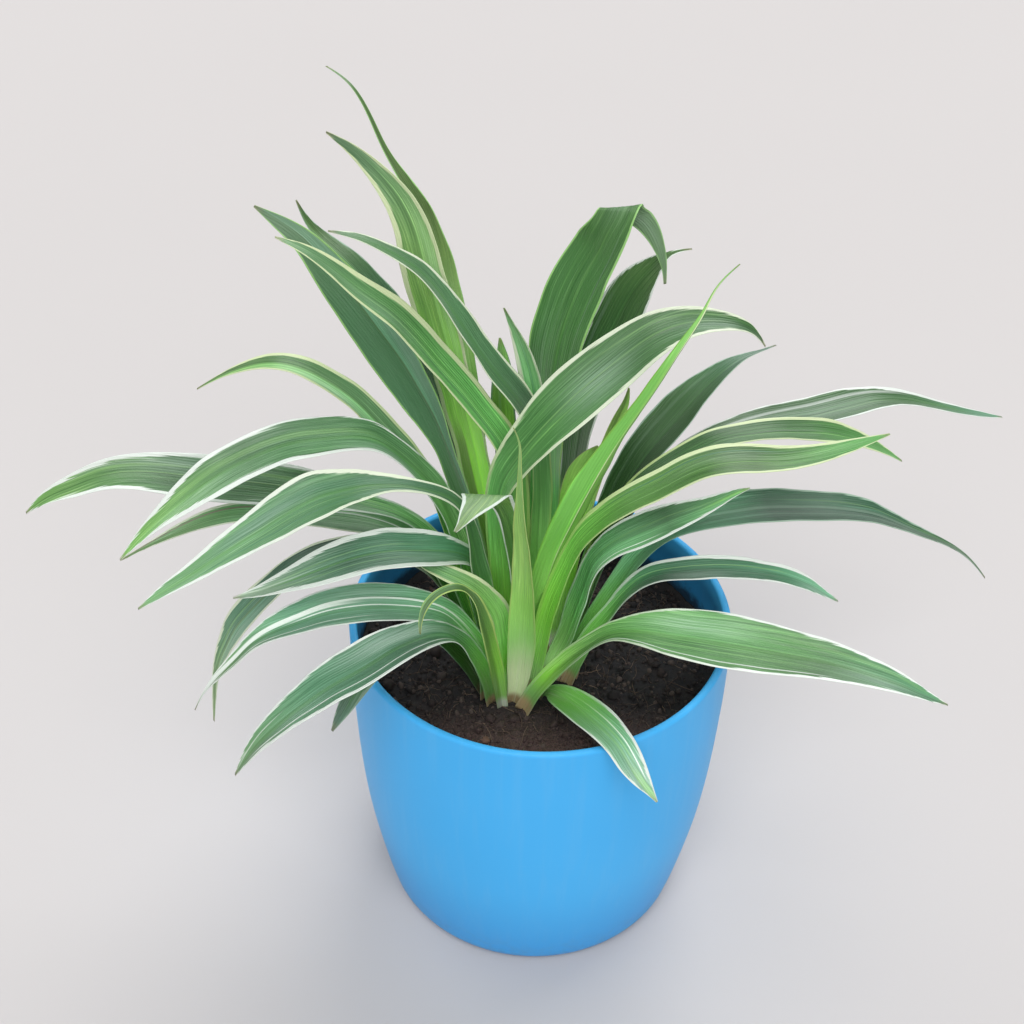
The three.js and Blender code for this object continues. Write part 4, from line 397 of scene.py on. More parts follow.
        [-17.92, -17.21, 128.12, 3.12, 27.5, 5.8, 0.37],
        [-16.46, -17.34, 117.5, 3.08, 25, 6.5, 0.4],
    ],
    "leaf_left_short": [
        [-46.7, -36.44, 201.01, 0.5, 70.7, 3.3, 0.22],
        [-43.35, -37.45, 198.39, 2, 70.4, 9.6, 0.22],
        [-39.15, -38.42, 196.86, 2.8, 73, 14, 0.22],
        [-34.84, -39.15, 195.2, 3.47, 76.6, 14.8, 0.22],
        [-30.53, -39.51, 193.06, 4, 81, 13.9, 0.22],
        [-26.44, -39.27, 189.99, 4.49, 85.1, 14.2, 0.22],
        [-22.85, -38.22, 185.58, 4.84, 86, 16.3, 0.22],
        [-20.03, -36.6, 179.98, 5.48, 82.8, 18.2, 0.22],
        [-17.69, -34.66, 173.82, 6.25, 75.6, 19, 0.22],
        [-16.22, -32.57, 167.19, 6.54, 66, 17.6, 0.22],
        [-15.58, -30.59, 160.16, 6.09, 59.6, 15.2, 0.22],
        [-15.01, -28.74, 153.07, 5.45, 56.8, 13.7, 0.23],
        [-14.5, -26.95, 146.13, 4.73, 50.5, 12.1, 0.26],
        [-13.91, -25.37, 139.38, 4.03, 40.5, 9.7, 0.29],
        [-13.31, -24.08, 132.92, 3.5, 29.6, 6.5, 0.32],
        [-12.98, -23.2, 126.8, 3.08, 20.4, 3.1, 0.35],
        [-12.86, -22.83, 121.14, 2.72, 14.9, 1, 0.37],
        [-12.82, -22.83, 117.5, 2.46, 13.1, 0.3, 0.4],
    ],
    "leaf_left_small_curl": [
        [-42.63, -71.94, 196.82, 0.45, 127.8, -6.3, 0.22],
        [-42.22, -70.71, 202.65, 1.23, 123.3, -4.6, 0.22],
        [-40.01, -68.98, 208.15, 1.92, 115.7, -5.8, 0.22],
        [-35.4, -66.62, 211.63, 1.97, 115.7, -8.6, 0.22],
        [-29.71, -63.88, 211.17, 2.04, 118.2, 0.9, 0.22],
        [-26, -61.53, 206.09, 2.37, 104.2, 15.5, 0.22],
        [-23.77, -59.19, 199.79, 3.12, 86.4, 20.3, 0.22],
        [-22.52, -56.82, 192.99, 3.62, 75.9, 20.7, 0.22],
        [-21.31, -54.36, 186.01, 3.89, 70.2, 20.7, 0.22],
        [-20.23, -51.8, 178.91, 3.97, 65.2, 20.6, 0.22],
        [-19.36, -49.16, 171.64, 3.84, 60.5, 20.3, 0.22],
        [-18.51, -46.44, 164.24, 3.63, 56.3, 20.1, 0.22],
        [-17.66, -43.58, 156.77, 3.35, 49.8, 19.3, 0.24],
        [-16.83, -40.59, 149.2, 2.99, 39.2, 17.1, 0.27],
        [-16.12, -37.59, 141.5, 2.62, 28.4, 14, 0.3],
        [-15.44, -34.54, 133.7, 2.34, 20, 11.3, 0.33],
        [-14.8, -31.44, 125.78, 2.13, 14.8, 9.6, 0.36],
        [-14.18, -28.18, 117.5, 1.98, 12.6, 8.8, 0.4],
    ],
    "leaf_left_hanging": [
        [-129.67, -16.92, 93.24, 0.5, 127.9, 2.6, 0.22],
        [-128.74, -16.71, 102.66, 1.25, 127.5, 3, 0.22],
        [-127.52, -16.48, 112.6, 1.94, 125.9, 4.1, 0.22],
        [-125.73, -16.13, 122.8, 3, 122.3, 5.8, 0.22],
        [-122.06, -15.46, 132.79, 5.15, 117.5, 7.2, 0.22],
        [-117.39, -14.72, 142.59, 7.04, 112.4, 7.6, 0.22],
        [-111.05, -13.83, 151.61, 7.91, 107.7, 6.8, 0.22],
        [-103.53, -12.81, 160.16, 7.83, 103.9, 5.1, 0.22],
        [-95.28, -11.69, 168.25, 7.55, 100.4, 2.3, 0.22],
        [-85.7, -10.38, 174.74, 7.82, 97.8, -1.7, 0.22],
        [-74.67, -8.8, 178.31, 7.66, 97.9, -4.9, 0.22],
        [-62.96, -7, 178.17, 7.06, 99.4, -4.2, 0.22],
        [-51.94, -5.16, 173.78, 6.33, 96.9, 2.5, 0.25],
        [-42.62, -3.42, 166.07, 5.37, 84.1, 12.1, 0.27],
        [-36.15, -2.18, 155.36, 4.4, 64.6, 16.5, 0.3],
        [-31.11, -1.34, 143.43, 3.74, 48.4, 17, 0.33],
        [-26.56, -0.66, 131.03, 3.31, 38.6, 17.1, 0.37],
        [-21.79, -0.05, 117.5, 2.95, 35, 17.2, 0.4],
    ],
    "leaf_left_striped": [
        [-124.06, -69.84, 154.56, 0.38, 111.5, -3.2, 0.22],
        [-120.57, -68.08, 161.49, 0.77, 109.8, -5.1, 0.22],
        [-115.31, -65.55, 167.51, 2.38, 108.7, -7.3, 0.22],
        [-109.06, -62.57, 172.96, 3.93, 108.8, -8.4, 0.22],
        [-102.78, -59.62, 178.65, 5.08, 109.8, -9.1, 0.22],
        [-95.05, -56.11, 181.5, 7.45, 111.4, -8.5, 0.22],
        [-86.56, -52.34, 182.65, 9.2, 112, -6.3, 0.22],
        [-77.89, -48.68, 183.63, 10.15, 111.3, -3.9, 0.22],
        [-69.21, -45.34, 183.08, 10.6, 109.5, -2.1, 0.22],
        [-60.5, -42.43, 181.61, 10.8, 107, -1.6, 0.22],
        [-51.93, -40.13, 179.5, 10.4, 104.8, -2, 0.22],
        [-43.63, -38.24, 177.05, 9.19, 103.4, -1.4, 0.22],
        [-36.4, -36.57, 173.05, 7.91, 100.4, 2.9, 0.23],
        [-31.07, -35.1, 166.3, 6.43, 90.7, 10.9, 0.26],
        [-26.59, -33.13, 157.48, 5.05, 74.4, 17.3, 0.28],
        [-22.89, -29.97, 146.5, 4.14, 52, 17.9, 0.32],
        [-20.65, -26.18, 133.14, 3.56, 30.5, 11.9, 0.35],
        [-20.03, -22.22, 117.5, 3.29, 20.3, 7.1, 0.4],
    ],
    "leaf_front_left": [
        [-109.08, -84.99, 137.4, 0.5, 109.1, 7.4, 0.22],
        [-104.83, -84.62, 145.24, 2.63, 110.4, 7.5, 0.22],
        [-100, -83.83, 152.76, 4.45, 110.6, 6.8, 0.22],
        [-94.17, -82.33, 159.05, 5.82, 111, 6.1, 0.22],
        [-87.87, -80.51, 164.73, 6.94, 111.8, 6.1, 0.22],
        [-81.25, -78.39, 169.82, 7.98, 112.5, 5.8, 0.22],
        [-74.5, -76.08, 174.32, 9.13, 113, 4.7, 0.22],
        [-67.39, -73.33, 177.34, 10.06, 114, 2.5, 0.22],
        [-60.14, -70.24, 180.46, 10.45, 115.7, -0.9, 0.22],
        [-53.2, -66.81, 183.4, 10.2, 119.3, -5, 0.22],
        [-46.27, -62.52, 183.99, 9.03, 125.6, -6.2, 0.22],
        [-39.34, -57.01, 182.18, 7.07, 129.4, 0.3, 0.22],
        [-33.25, -51.09, 176.3, 5.51, 122.1, 12.5, 0.22],
        [-28.86, -45.55, 166.98, 4.74, 102.2, 22.5, 0.25],
        [-25.35, -40.2, 156.12, 4.03, 77.8, 25.6, 0.29],
        [-22.29, -35.1, 144.33, 3.43, 54.7, 23.4, 0.32],
        [-19.75, -30.29, 131.88, 3.13, 36.6, 18.3, 0.36],
        [-17.97, -25.57, 117.5, 3.21, 28.3, 14.8, 0.4],
    ],
    "leaf_front_left_low": [
        [-75.44, -69.07, 144.45, 0.5, 133.5, 1.1, 0.22],
        [-72.97, -66.73, 148.6, 1.9, 141.9, 7.5, 0.22],
        [-70.28, -64.11, 152.86, 2.94, 149.1, 13.2, 0.22],
        [-67.62, -61.5, 157.44, 3.9, 153.3, 17, 0.22],
        [-64.65, -58.68, 161.9, 4.82, 152.5, 18.9, 0.22],
        [-61.33, -55.69, 166.11, 5.63, 146.6, 18.6, 0.22],
        [-57.53, -52.44, 169.48, 6.04, 138, 15.5, 0.22],
        [-53.02, -48.55, 170.44, 5.88, 132.1, 10.8, 0.22],
        [-48.35, -44.43, 169.46, 5.36, 129.2, 8.5, 0.22],
        [-44.02, -40.47, 166.66, 4.79, 125, 10.6, 0.22],
        [-40.38, -36.99, 162.2, 4.86, 117.1, 14.4, 0.22],
        [-37.22, -33.92, 156.82, 5.14, 108.5, 16.9, 0.22],
        [-34.38, -31.12, 150.93, 4.95, 99.3, 19, 0.24],
        [-31.67, -28.48, 144.72, 4.28, 86.8, 21.8, 0.27],
        [-28.85, -25.82, 138.42, 3.59, 70.8, 23.6, 0.3],
        [-26.37, -23.58, 131.72, 2.98, 54.5, 22.9, 0.33],
        [-24.16, -21.7, 124.69, 2.46, 43.4, 21.5, 0.36],
        [-22.03, -19.85, 117.5, 2.1, 39.4, 21, 0.4],
    ],
    "leaf_front_right_drooping": [
        [41.99, -90.35, 134.07, 0.5, -139.7, 14.5, 0.22],
        [39.77, -87.24, 135.12, 1.73, -142.9, 6.1, 0.22],
        [37.46, -83.82, 136, 3.11, -145.6, -1.4, 0.22],
        [35.12, -80.3, 137.35, 4.22, -147.8, -5.8, 0.22],
        [32.72, -76.73, 139.03, 5.1, -148.8, -6.6, 0.22],
        [30.38, -73.31, 141.07, 5.59, -148.2, -4.9, 0.22],
        [27.99, -69.71, 142.2, 6.06, -147.8, -2.7, 0.22],
        [25.43, -65.68, 141.99, 6.62, -148, -1.5, 0.22],
        [22.77, -61.39, 141.19, 7.13, -148.4, -0.8, 0.22],
        [20.06, -56.94, 140.02, 7.47, -148.7, -0.4, 0.22],
        [17.31, -52.38, 138.64, 7.57, -148.9, 0, 0.22],
        [14.53, -47.79, 137.03, 7.46, -149, 0.2, 0.22],
        [11.83, -43.2, 135.08, 6.97, -148.5, -1.1, 0.24],
        [9.29, -38.61, 132.78, 5.86, -144.9, -7.5, 0.27],
        [6.83, -34.04, 130.09, 4.2, -135.7, -18.4, 0.3],
        [4.24, -29.59, 127.06, 2.37, -113.3, -31.8, 0.33],
        [1.9, -25.9, 122.86, 1.26, -75.4, -35.7, 0.36],
        [0.39, -23.22, 117.5, 1.2, -54.1, -30.3, 0.4],
    ],
    "leaf_right_large": [
        [144.88, -67.28, 163.13, 0.5, -100.3, 0.2, 0.22],
        [136.53, -65.69, 166.05, 2.57, -102.3, -4.6, 0.22],
        [127.82, -63.95, 169.23, 4.57, -103.8, -9.2, 0.22],
        [118.64, -62.07, 171.69, 5.95, -104.2, -13.2, 0.22],
        [109.08, -60.1, 173.52, 7.17, -103.7, -16.4, 0.22],
        [99.21, -58.06, 174.6, 8.23, -103, -18.8, 0.22],
        [89.06, -55.98, 175.06, 9.25, -102.3, -20.2, 0.22],
        [78.64, -53.87, 175.4, 10.23, -102, -20.3, 0.22],
        [68.04, -51.81, 175.62, 11.07, -101.8, -18.4, 0.22],
        [57.28, -49.8, 175.72, 11.46, -101.5, -14.3, 0.22],
        [46.39, -47.81, 175.63, 10.7, -101.4, -8.6, 0.22],
        [35.56, -45.68, 175.36, 8.24, -101.8, -3.6, 0.22],
        [25.47, -43.34, 172.05, 5.31, -101.5, -3.8, 0.24],
        [17.75, -41.13, 163.82, 4.43, -95.1, -10, 0.27],
        [10.66, -38.66, 154.22, 4.12, -83.2, -16.7, 0.3],
        [4.43, -36.03, 143.32, 3.59, -67.7, -21.5, 0.33],
        [-1.3, -33.1, 131.33, 3.18, -51.9, -22.7, 0.36],
        [-5.78, -29.9, 117.5, 3.21, -43.3, -21.6, 0.4],
    ],
    "leaf_right_low": [
        [115.25, 0.02, 150.53, 0.5, -87.7, -12.3, 0.22],
        [109.68, -1.17, 155.08, 1.69, -90.5, -15.4, 0.22],
        [103.88, -2.37, 159.92, 3.06, -90.9, -17, 0.22],
        [97.56, -3.72, 164.35, 4.04, -88.3, -16.4, 0.22],
        [90.62, -5.21, 168, 4.49, -84.8, -14, 0.22],
        [83.14, -6.81, 170.86, 4.91, -82.2, -10.6, 0.22],
        [75.28, -8.44, 173.02, 5.67, -80.7, -7.1, 0.22],
        [67.21, -10.08, 174.67, 6.2, -79.9, -3.5, 0.22],
        [58.92, -11.7, 175.53, 6.6, -80, -0, 0.22],
        [50.52, -13.24, 175.73, 6.67, -81.2, 3.5, 0.22],
        [42.28, -14.55, 174.91, 6.26, -84.1, 5.2, 0.22],
        [35.11, -15.41, 170.77, 5.33, -85.8, 2.1, 0.22],
        [29.77, -15.68, 163.58, 4.3, -81.7, -3.4, 0.24],
        [25.3, -15.59, 155.13, 3.6, -71.8, -9.1, 0.27],
        [20.56, -15.35, 146.54, 3.48, -58.3, -14, 0.3],
        [16.68, -14.92, 137.28, 3.31, -43.4, -16.1, 0.33],
        [13.36, -14.43, 127.54, 3.2, -31.9, -15.8, 0.36],
        [10.56, -13.88, 117.5, 3.18, -26.5, -15.1, 0.4],
    ],
    "leaf_far_right": [
        [182.65, 37.58, 130.81, 0.48, -97, -14.7, 0.22],
        [176.37, 36.11, 139.64, 0.81, -92.2, -13.3, 0.22],
        [168.61, 34.2, 148.04, 1.2, -85.4, -10.1, 0.22],
        [159.21, 31.84, 155.27, 1.99, -81.1, -6.9, 0.22],
        [148.9, 29.25, 161.92, 3.33, -79.7, -5.8, 0.22],
        [138.35, 26.61, 168.87, 5.02, -78.8, -5.2, 0.22],
        [127.27, 23.77, 175.21, 7.18, -77.2, -3.5, 0.22],
        [115.02, 20.56, 179.47, 8.59, -76, -1.8, 0.22],
        [101.98, 17.14, 182.53, 9.17, -75.5, -1.3, 0.22],
        [88.54, 13.55, 185.1, 9.8, -75, -0.4, 0.22],
        [74.76, 9.73, 186.23, 10.13, -74.7, 1.9, 0.22],
        [60.71, 5.73, 185.78, 8.83, -75.3, 5.2, 0.22],
        [47.13, 1.84, 182.31, 6.88, -76.3, 5.1, 0.25],
        [36.54, -1.16, 172.59, 5.56, -71.2, -0.9, 0.28],
        [28.74, -3.6, 159.79, 4.06, -59.9, -6.4, 0.31],
        [21.55, -6.08, 146.41, 3.47, -47.1, -9.6, 0.34],
        [15.9, -8.21, 132.24, 3.36, -35.3, -9.9, 0.37],
        [12.65, -9.76, 117.5, 3.29, -28.9, -8.6, 0.4],
    ],
    "leaf_right_middle": [
        [75.44, -1.17, 207.01, 0.5, -75, 7, 0.22],
        [69.78, -2.86, 205.5, 2, -74.5, 3.3, 0.22],
        [64.05, -4.51, 203.18, 3.43, -73.7, -0.7, 0.22],
        [57.99, -6.17, 200.84, 4.78, -73, -4.5, 0.22],
        [51.55, -7.87, 198.99, 6.08, -73, -7.1, 0.22],
        [45.11, -9.53, 196.98, 7.21, -73.4, -7.5, 0.22],
        [38.71, -11.15, 194.35, 8.02, -74.7, -5.9, 0.22],
        [32.21, -12.68, 191.68, 8.32, -76.8, -3.2, 0.22],
        [26.06, -13.92, 188.3, 7.9, -79.2, -1.4, 0.22],
        [20.96, -14.67, 183.21, 7, -79.3, -2.5, 0.22],
        [17.72, -14.84, 176.28, 6.41, -75.9, -4.2, 0.22],
        [16.06, -14.62, 168.21, 6.53, -73.2, -4.7, 0.22],
        [14.17, -14.4, 159.92, 6.73, -70.8, -5.1, 0.24],
        [12.32, -14.08, 151.48, 5.67, -63.7, -6.4, 0.27],
        [10.29, -13.83, 142.84, 4.35, -55, -8.7, 0.3],
        [7.43, -13.8, 134.31, 3.56, -46.2, -11.7, 0.33],
        [4.5, -13.82, 125.78, 3.13, -38.6, -13.8, 0.36],
        [1.74, -13.85, 117.5, 2.9, -35.1, -14.6, 0.4],
    ],
    "leaf_right_upper": [
        [124.23, 3.07, 230.27, 0.5, -76.6, -0, 0.22],
        [115.08, 0.94, 227.89, 2.34, -75.8, -5.1, 0.22],
        [105.29, -1.28, 225.71, 3.74, -75.6, -9.3, 0.22],
        [94.91, -3.6, 224.21, 4.82, -76.5, -12.3, 0.22],
        [83.99, -6.04, 224.25, 5.88, -77.8, -13.2, 0.22],
        [72.99, -8.56, 225.82, 6.94, -77.8, -11.1, 0.22],
        [62.08, -11.17, 226.58, 7.59, -76.7, -5.9, 0.22],
        [51.53, -13.68, 223.99, 7.75, -77.2, -1, 0.22],
        [41.48, -16.06, 218.74, 7.94, -79, 2.3, 0.22],
        [31.02, -18.45, 213.73, 8.19, -81.1, 4, 0.22],
        [21.51, -20.45, 207.08, 7.58, -82.6, 3.2, 0.22],
        [13.68, -21.93, 198.3, 6.59, -81, -0.3, 0.22],
        [9.06, -22.43, 186.79, 6.17, -75.3, -3.9, 0.24],
        [5.47, -22.12, 174.02, 5.3, -64.4, -6.8, 0.27],
        [2.33, -21.27, 160.38, 4.22, -50.1, -8.2, 0.3],
        [0.34, -20.03, 146.02, 3.75, -36.3, -8.1, 0.33],
        [-1.56, -18.84, 131.34, 3.48, -26.5, -7.9, 0.36],
        [-3.36, -17.85, 117.5, 3.27, -22.6, -7.9, 0.4],
    ],
    "leaf_right_back": [
        [144.18, 55.42, 176.84, 0.5, -81.4, -17.7, 0.22],
        [136.8, 52.14, 183.65, 1.88, -81.4, -18.7, 0.22],
        [128.67, 48.56, 190.35, 3.41, -79.5, -18.5, 0.22],
        [119.83, 44.62, 196.56, 4.98, -75.8, -16.6, 0.22],
        [110.29, 40.28, 201.85, 6.23, -71.7, -12.8, 0.22],
        [99.99, 35.52, 205.89, 6.66, -68.5, -7.7, 0.22],
        [89.26, 30.56, 209.38, 6.72, -66.5, -2.2, 0.22],
        [78.12, 25.42, 211.77, 6.81, -65.6, 3.9, 0.22],
        [66.75, 20.22, 212.8, 7.03, -66.9, 9.7, 0.22],
        [55.55, 15.18, 210.53, 7.33, -70.5, 13.2, 0.22],
        [44.85, 10.52, 205.51, 7.49, -74.4, 12.9, 0.22],
        [35.18, 6.48, 198.14, 7.2, -76.6, 9.7, 0.22],
        [27.46, 3.46, 188.2, 6.71, -74.2, 3.7, 0.24],
        [22.47, 1.87, 175.95, 5.52, -64.7, -2.5, 0.27],
        [18.53, 0.97, 162.52, 4.36, -52.3, -6.3, 0.3],
        [14.98, 0.63, 148.28, 3.72, -39.6, -7.9, 0.33],
        [12.11, 0.82, 133.34, 3.26, -27.7, -6.5, 0.36],
        [11.38, 1.85, 117.5, 2.64, -21.4, -4.2, 0.4],
    ],
    "leaf_back_right_long": [
        [200.3, 117.46, 153.66, 0.5, -64, -7.6, 0.22],
        [190.08, 111.69, 158.88, 1.94, -64.6, -8.5, 0.22],
        [179.45, 105.67, 164.9, 2.78, -65.5, -9.8, 0.22],
        [168.59, 99.53, 171.58, 3.37, -66.3, -11, 0.22],
        [157.45, 93.2, 178.56, 4.1, -65.8, -10.9, 0.22],
        [145.77, 86.55, 185, 5.37, -63.6, -8.6, 0.22],
        [133.17, 79.3, 189.28, 7.05, -61.6, -5.4, 0.22],
        [119.72, 71.58, 191.02, 8.36, -60.9, -3.8, 0.22],
        [105.82, 63.62, 192.93, 8.36, -60.7, -3.1, 0.22],
        [91.87, 55.55, 196.07, 7.65, -60.3, -0.6, 0.22],
        [77.71, 47.29, 198.41, 6.56, -60.1, 4.7, 0.22],
        [63.28, 38.88, 198.23, 5.71, -62.3, 10.3, 0.22],
        [49.46, 30.92, 192.68, 5.09, -65.4, 10.1, 0.24],
        [37.38, 24.11, 182.53, 4.87, -62.8, 3.1, 0.27],
        [28.1, 19, 168.71, 4.26, -53, -4, 0.3],
        [21.68, 15.47, 152.46, 3.69, -40.3, -7.1, 0.33],
        [16.83, 12.68, 135.31, 3.22, -29.4, -6.8, 0.37],
        [14.44, 11.04, 117.5, 2.64, -24, -5.3, 0.4],
    ],
    "leaf_dark_right": [
        [90.07, 69.96, 221.8, 0.44, -51.7, 11.7, 0.3],
        [84.02, 65.33, 222.3, 0.83, -51.8, 11.1, 0.3],
        [77.66, 60.38, 222.85, 2.05, -52.6, 11.8, 0.3],
        [71.23, 55.25, 222.05, 4.28, -54.5, 13.2, 0.3],
        [64.94, 50.24, 219.4, 6.38, -56.7, 12.8, 0.3],
        [58.83, 45.43, 215.52, 8.19, -57.9, 10.9, 0.3],
        [53.06, 40.91, 210.2, 9.97, -58, 9.4, 0.3],
        [47.01, 36.12, 204.75, 10.62, -58.2, 9.1, 0.3],
        [40.88, 31.17, 199.58, 10.22, -59.6, 9.8, 0.3],
        [35.66, 26.79, 193.16, 9.92, -62.4, 10.2, 0.3],
        [31.26, 23.03, 185.59, 9.46, -65.2, 9.7, 0.3],
        [27.52, 19.87, 177.15, 8.7, -67.1, 8.4, 0.3],
        [24.59, 17.45, 167.96, 7.61, -66.2, 6.2, 0.33],
        [22.11, 15.7, 158.1, 6.18, -60.2, 3.4, 0.37],
        [19.14, 13.7, 148.08, 4.96, -51.6, 0.2, 0.41],
        [16.01, 11.63, 137.93, 4.05, -42.4, -3.4, 0.45],
        [12.79, 9.44, 127.62, 3.24, -34.8, -6.3, 0.5],
        [9.78, 7.24, 117.5, 2.65, -31.6, -7.4, 0.54],
    ],
    "leaf_right_upright": [
        [60.16, -18.43, 314.59, 0.34, 43.2, -35.3, -0.45],
        [53.69, -19.95, 307.12, 0.48, 42.8, -29.4, -0.45],
        [49.58, -21.31, 297.15, 0.98, 42.6, -24.1, -0.45],
        [44.69, -22.49, 286.98, 2.08, 41.8, -21.9, -0.45],
        [39.57, -23.01, 276.4, 2.87, 40.5, -20.3, -0.45],
        [34.56, -22.82, 265.36, 3.4, 38.9, -19.2, -0.45],
        [29.16, -22.31, 254.19, 3.83, 36.9, -18.8, -0.45],
        [23.85, -21.73, 242.69, 4.51, 34.6, -18.4, -0.45],
        [18.88, -21.38, 230.78, 5.93, 32.2, -17.4, -0.45],
        [14.25, -20.78, 218.48, 6.87, 29.8, -16, -0.45],
        [10.01, -19.65, 205.77, 6.67, 27.6, -14.6, -0.45],
        [5.95, -18.4, 192.88, 6.01, 25.9, -12.8, -0.46],
        [2.57, -17.83, 180.07, 5.44, 23.4, -9.7, -0.52],
        [0.4, -17.76, 167.51, 4.81, 19.4, -6, -0.57],
        [-1.32, -14.67, 155.01, 4.17, 13.6, -3.9, 0.19],
        [-2.16, -14.8, 142.24, 3.7, 7.1, -3.8, 0.21],
        [-3.09, -14.53, 129.13, 3.39, 2.4, -3.9, 0.22],
        [-3.85, -13.97, 117.5, 3.21, 0.5, -3.9, 0.24],
    ],
    "leaf_right_slender": [
        [30.06, 22.02, 234.49, 0.46, -48.3, 3.4, 0.22],
        [29.4, 20.9, 229.05, 1.4, -44.9, -0.9, 0.22],
        [27.47, 19.68, 223.55, 2.08, -44.3, -4.3, 0.22],
        [25.37, 18.39, 217.91, 2.45, -45.3, -4.4, 0.22],
        [23.57, 17.08, 211.95, 2.8, -48, -2.6, 0.22],
        [21.82, 15.76, 205.79, 3.17, -51.9, -0.9, 0.22],
        [20.1, 14.45, 199.45, 3.6, -55.4, 0.3, 0.22],
        [18.33, 13.17, 192.94, 3.99, -57.4, 0.9, 0.22],
        [16.58, 11.95, 186.27, 4.2, -57.5, 1, 0.22],
        [14.92, 10.79, 179.39, 4.24, -55.8, 0.9, 0.22],
        [13.62, 9.72, 172.26, 4.16, -52.9, 0.3, 0.22],
        [12.29, 8.75, 164.89, 3.99, -48.8, -0.8, 0.22],
        [10.98, 7.95, 157.28, 3.71, -42.3, -2.4, 0.24],
        [9.6, 7.19, 149.57, 3.42, -32.1, -4.1, 0.27],
        [8.24, 6.42, 141.73, 3.18, -21.7, -5.1, 0.3],
        [7.15, 5.61, 133.74, 2.91, -14, -5.4, 0.33],
        [6.13, 4.76, 125.62, 2.65, -10.1, -5.6, 0.36],
        [5.15, 3.98, 117.5, 2.45, -8.5, -5.8, 0.4],
    ],
    "leaf_back_folded_over": [
        [42.75, 50.56, 261.67, 0.5, 6, 7.1, 0.1],
        [42.38, 52.11, 265.89, 0.81, 6, 7.1, 0.1],
        [41.47, 53.19, 270.37, 1.44, 7.1, 11.5, 0.1],
        [39.7, 54.16, 275.51, 2.21, 10.9, 18.8, 0.1],
        [36.81, 54.97, 281.27, 3.26, 12.6, 26.7, 0.1],
        [32.53, 54.89, 286.6, 4.32, 9.9, 30, 0.08],
        [28.09, 53.5, 290.18, 5.57, -4.7, 23, 0.05],
        [24.5, 51.44, 293.36, 8.02, -21.4, 15.2, 0.02],
        [22.87, 50.16, 290.42, 8.09, -29.4, 8.8, 0.08],
        [20.14, 49.38, 284.31, 9.54, -36.8, 3.7, 0.12],
        [16.78, 49.09, 275.59, 10.79, -50.8, -14, 0.12],
        [11.15, 46.9, 264.32, 11.81, -43.2, -9.9, 0.12],
        [6.74, 44.32, 252.42, 11.99, -41, -5.3, 0.12],
        [3.52, 41.97, 239.76, 12.2, -41.8, -0, 0.12],
        [1.93, 39.33, 226.48, 11.5, -44.7, 4.9, 0.12],
        [1.68, 36.45, 212.92, 10.5, -48.9, 7.9, 0.12],
        [1.76, 33.61, 199.17, 9.31, -52.9, 9.2, 0.12],
        [2.21, 31.11, 185.3, 7.95, -52.7, 9.6, 0.14],
        [2.64, 28.51, 171.47, 6.48, -46.9, 9.2, 0.15],
        [2.52, 25.61, 157.84, 5.28, -38.4, 7.6, 0.17],
        [2.13, 22.35, 144.54, 4.46, -30.7, 4.3, 0.18],
        [1.27, 19, 131.4, 3.79, -26.9, -0.6, 0.2],
        [-1.96, 15.46, 117.5, 3.13, -27, -4.1, 0.22],
    ],
    "leaf_back_pointed": [
        [52.8, 62.01, 269.88, 0.4, -80.8, -6.4, 0.22],
        [45, 61.12, 268.05, 1.33, -74.7, -12.8, 0.22],
        [39.21, 60.23, 262.6, 4.75, -62.1, -17.3, 0.22],
        [33.91, 59.39, 255.67, 7.81, -47.7, -17.8, 0.22],
        [29.55, 58.09, 247.82, 9.15, -37.9, -15.3, 0.22],
        [25.94, 56.4, 239.21, 9.34, -34.5, -11.9, 0.22],
        [21.97, 54.35, 230.49, 8.55, -36.5, -7.9, 0.22],
        [19.03, 51.87, 221.34, 8.63, -41.1, -3, 0.22],
        [16.54, 49.01, 211.94, 8.76, -46.2, 2.2, 0.22],
        [14.45, 45.92, 202.35, 8.86, -50.6, 6.8, 0.22],
        [13.03, 42.69, 192.54, 8.59, -54.2, 10.2, 0.22],
        [12.21, 39.36, 182.41, 7.62, -57.2, 12, 0.22],
        [11.09, 35.98, 172.07, 6.57, -57.5, 12.2, 0.24],
        [9.57, 32.57, 161.63, 5.54, -51.5, 10.9, 0.27],
        [8.01, 29, 151.09, 4.6, -41.7, 8.4, 0.3],
        [6.62, 25.25, 140.43, 3.96, -31.8, 5.2, 0.33],
        [5.12, 21.25, 129.69, 3.47, -24.7, 1.9, 0.36],
        [3.16, 16.49, 117.5, 3.05, -22, 0.3, 0.4],
    ],
    "leaf_centre_small": [
        [-16.57, 22.44, 268.29, 0.43, -29.8, 18.7, 0.22],
        [-13.55, 22.72, 260.92, 1.4, -21.3, 19.1, 0.22],
        [-10.56, 23.03, 253.04, 2.67, -14.9, 17.3, 0.22],
        [-8.12, 23.2, 244.64, 3.61, -13, 14.2, 0.22],
        [-6.07, 23.15, 235.91, 4.21, -16.1, 10.8, 0.22],
        [-4.57, 22.81, 226.96, 4.49, -23, 8.1, 0.22],
        [-3.52, 22.1, 217.95, 4.64, -31.1, 6.6, 0.22],
        [-2.86, 21.16, 208.9, 4.72, -38.3, 6.2, 0.22],
        [-2.39, 20.08, 199.82, 4.86, -43.2, 6.3, 0.22],
        [-2.02, 18.91, 190.67, 4.96, -45.7, 6.5, 0.22],
        [-1.89, 17.62, 181.5, 4.96, -46, 6.8, 0.22],
        [-1.8, 16.19, 172.33, 4.79, -44.3, 7, 0.23],
        [-1.85, 14.63, 163.22, 4.38, -38.5, 6.6, 0.26],
        [-2.18, 12.82, 154.2, 3.88, -30, 5.6, 0.28],
        [-2.5, 10.95, 145.22, 3.48, -20.4, 5.6, 0.31],
        [-2.31, 8.99, 136.24, 3.14, -11.3, 7, 0.34],
        [-1.18, 6.98, 127.29, 2.78, -5.2, 8.2, 0.37],
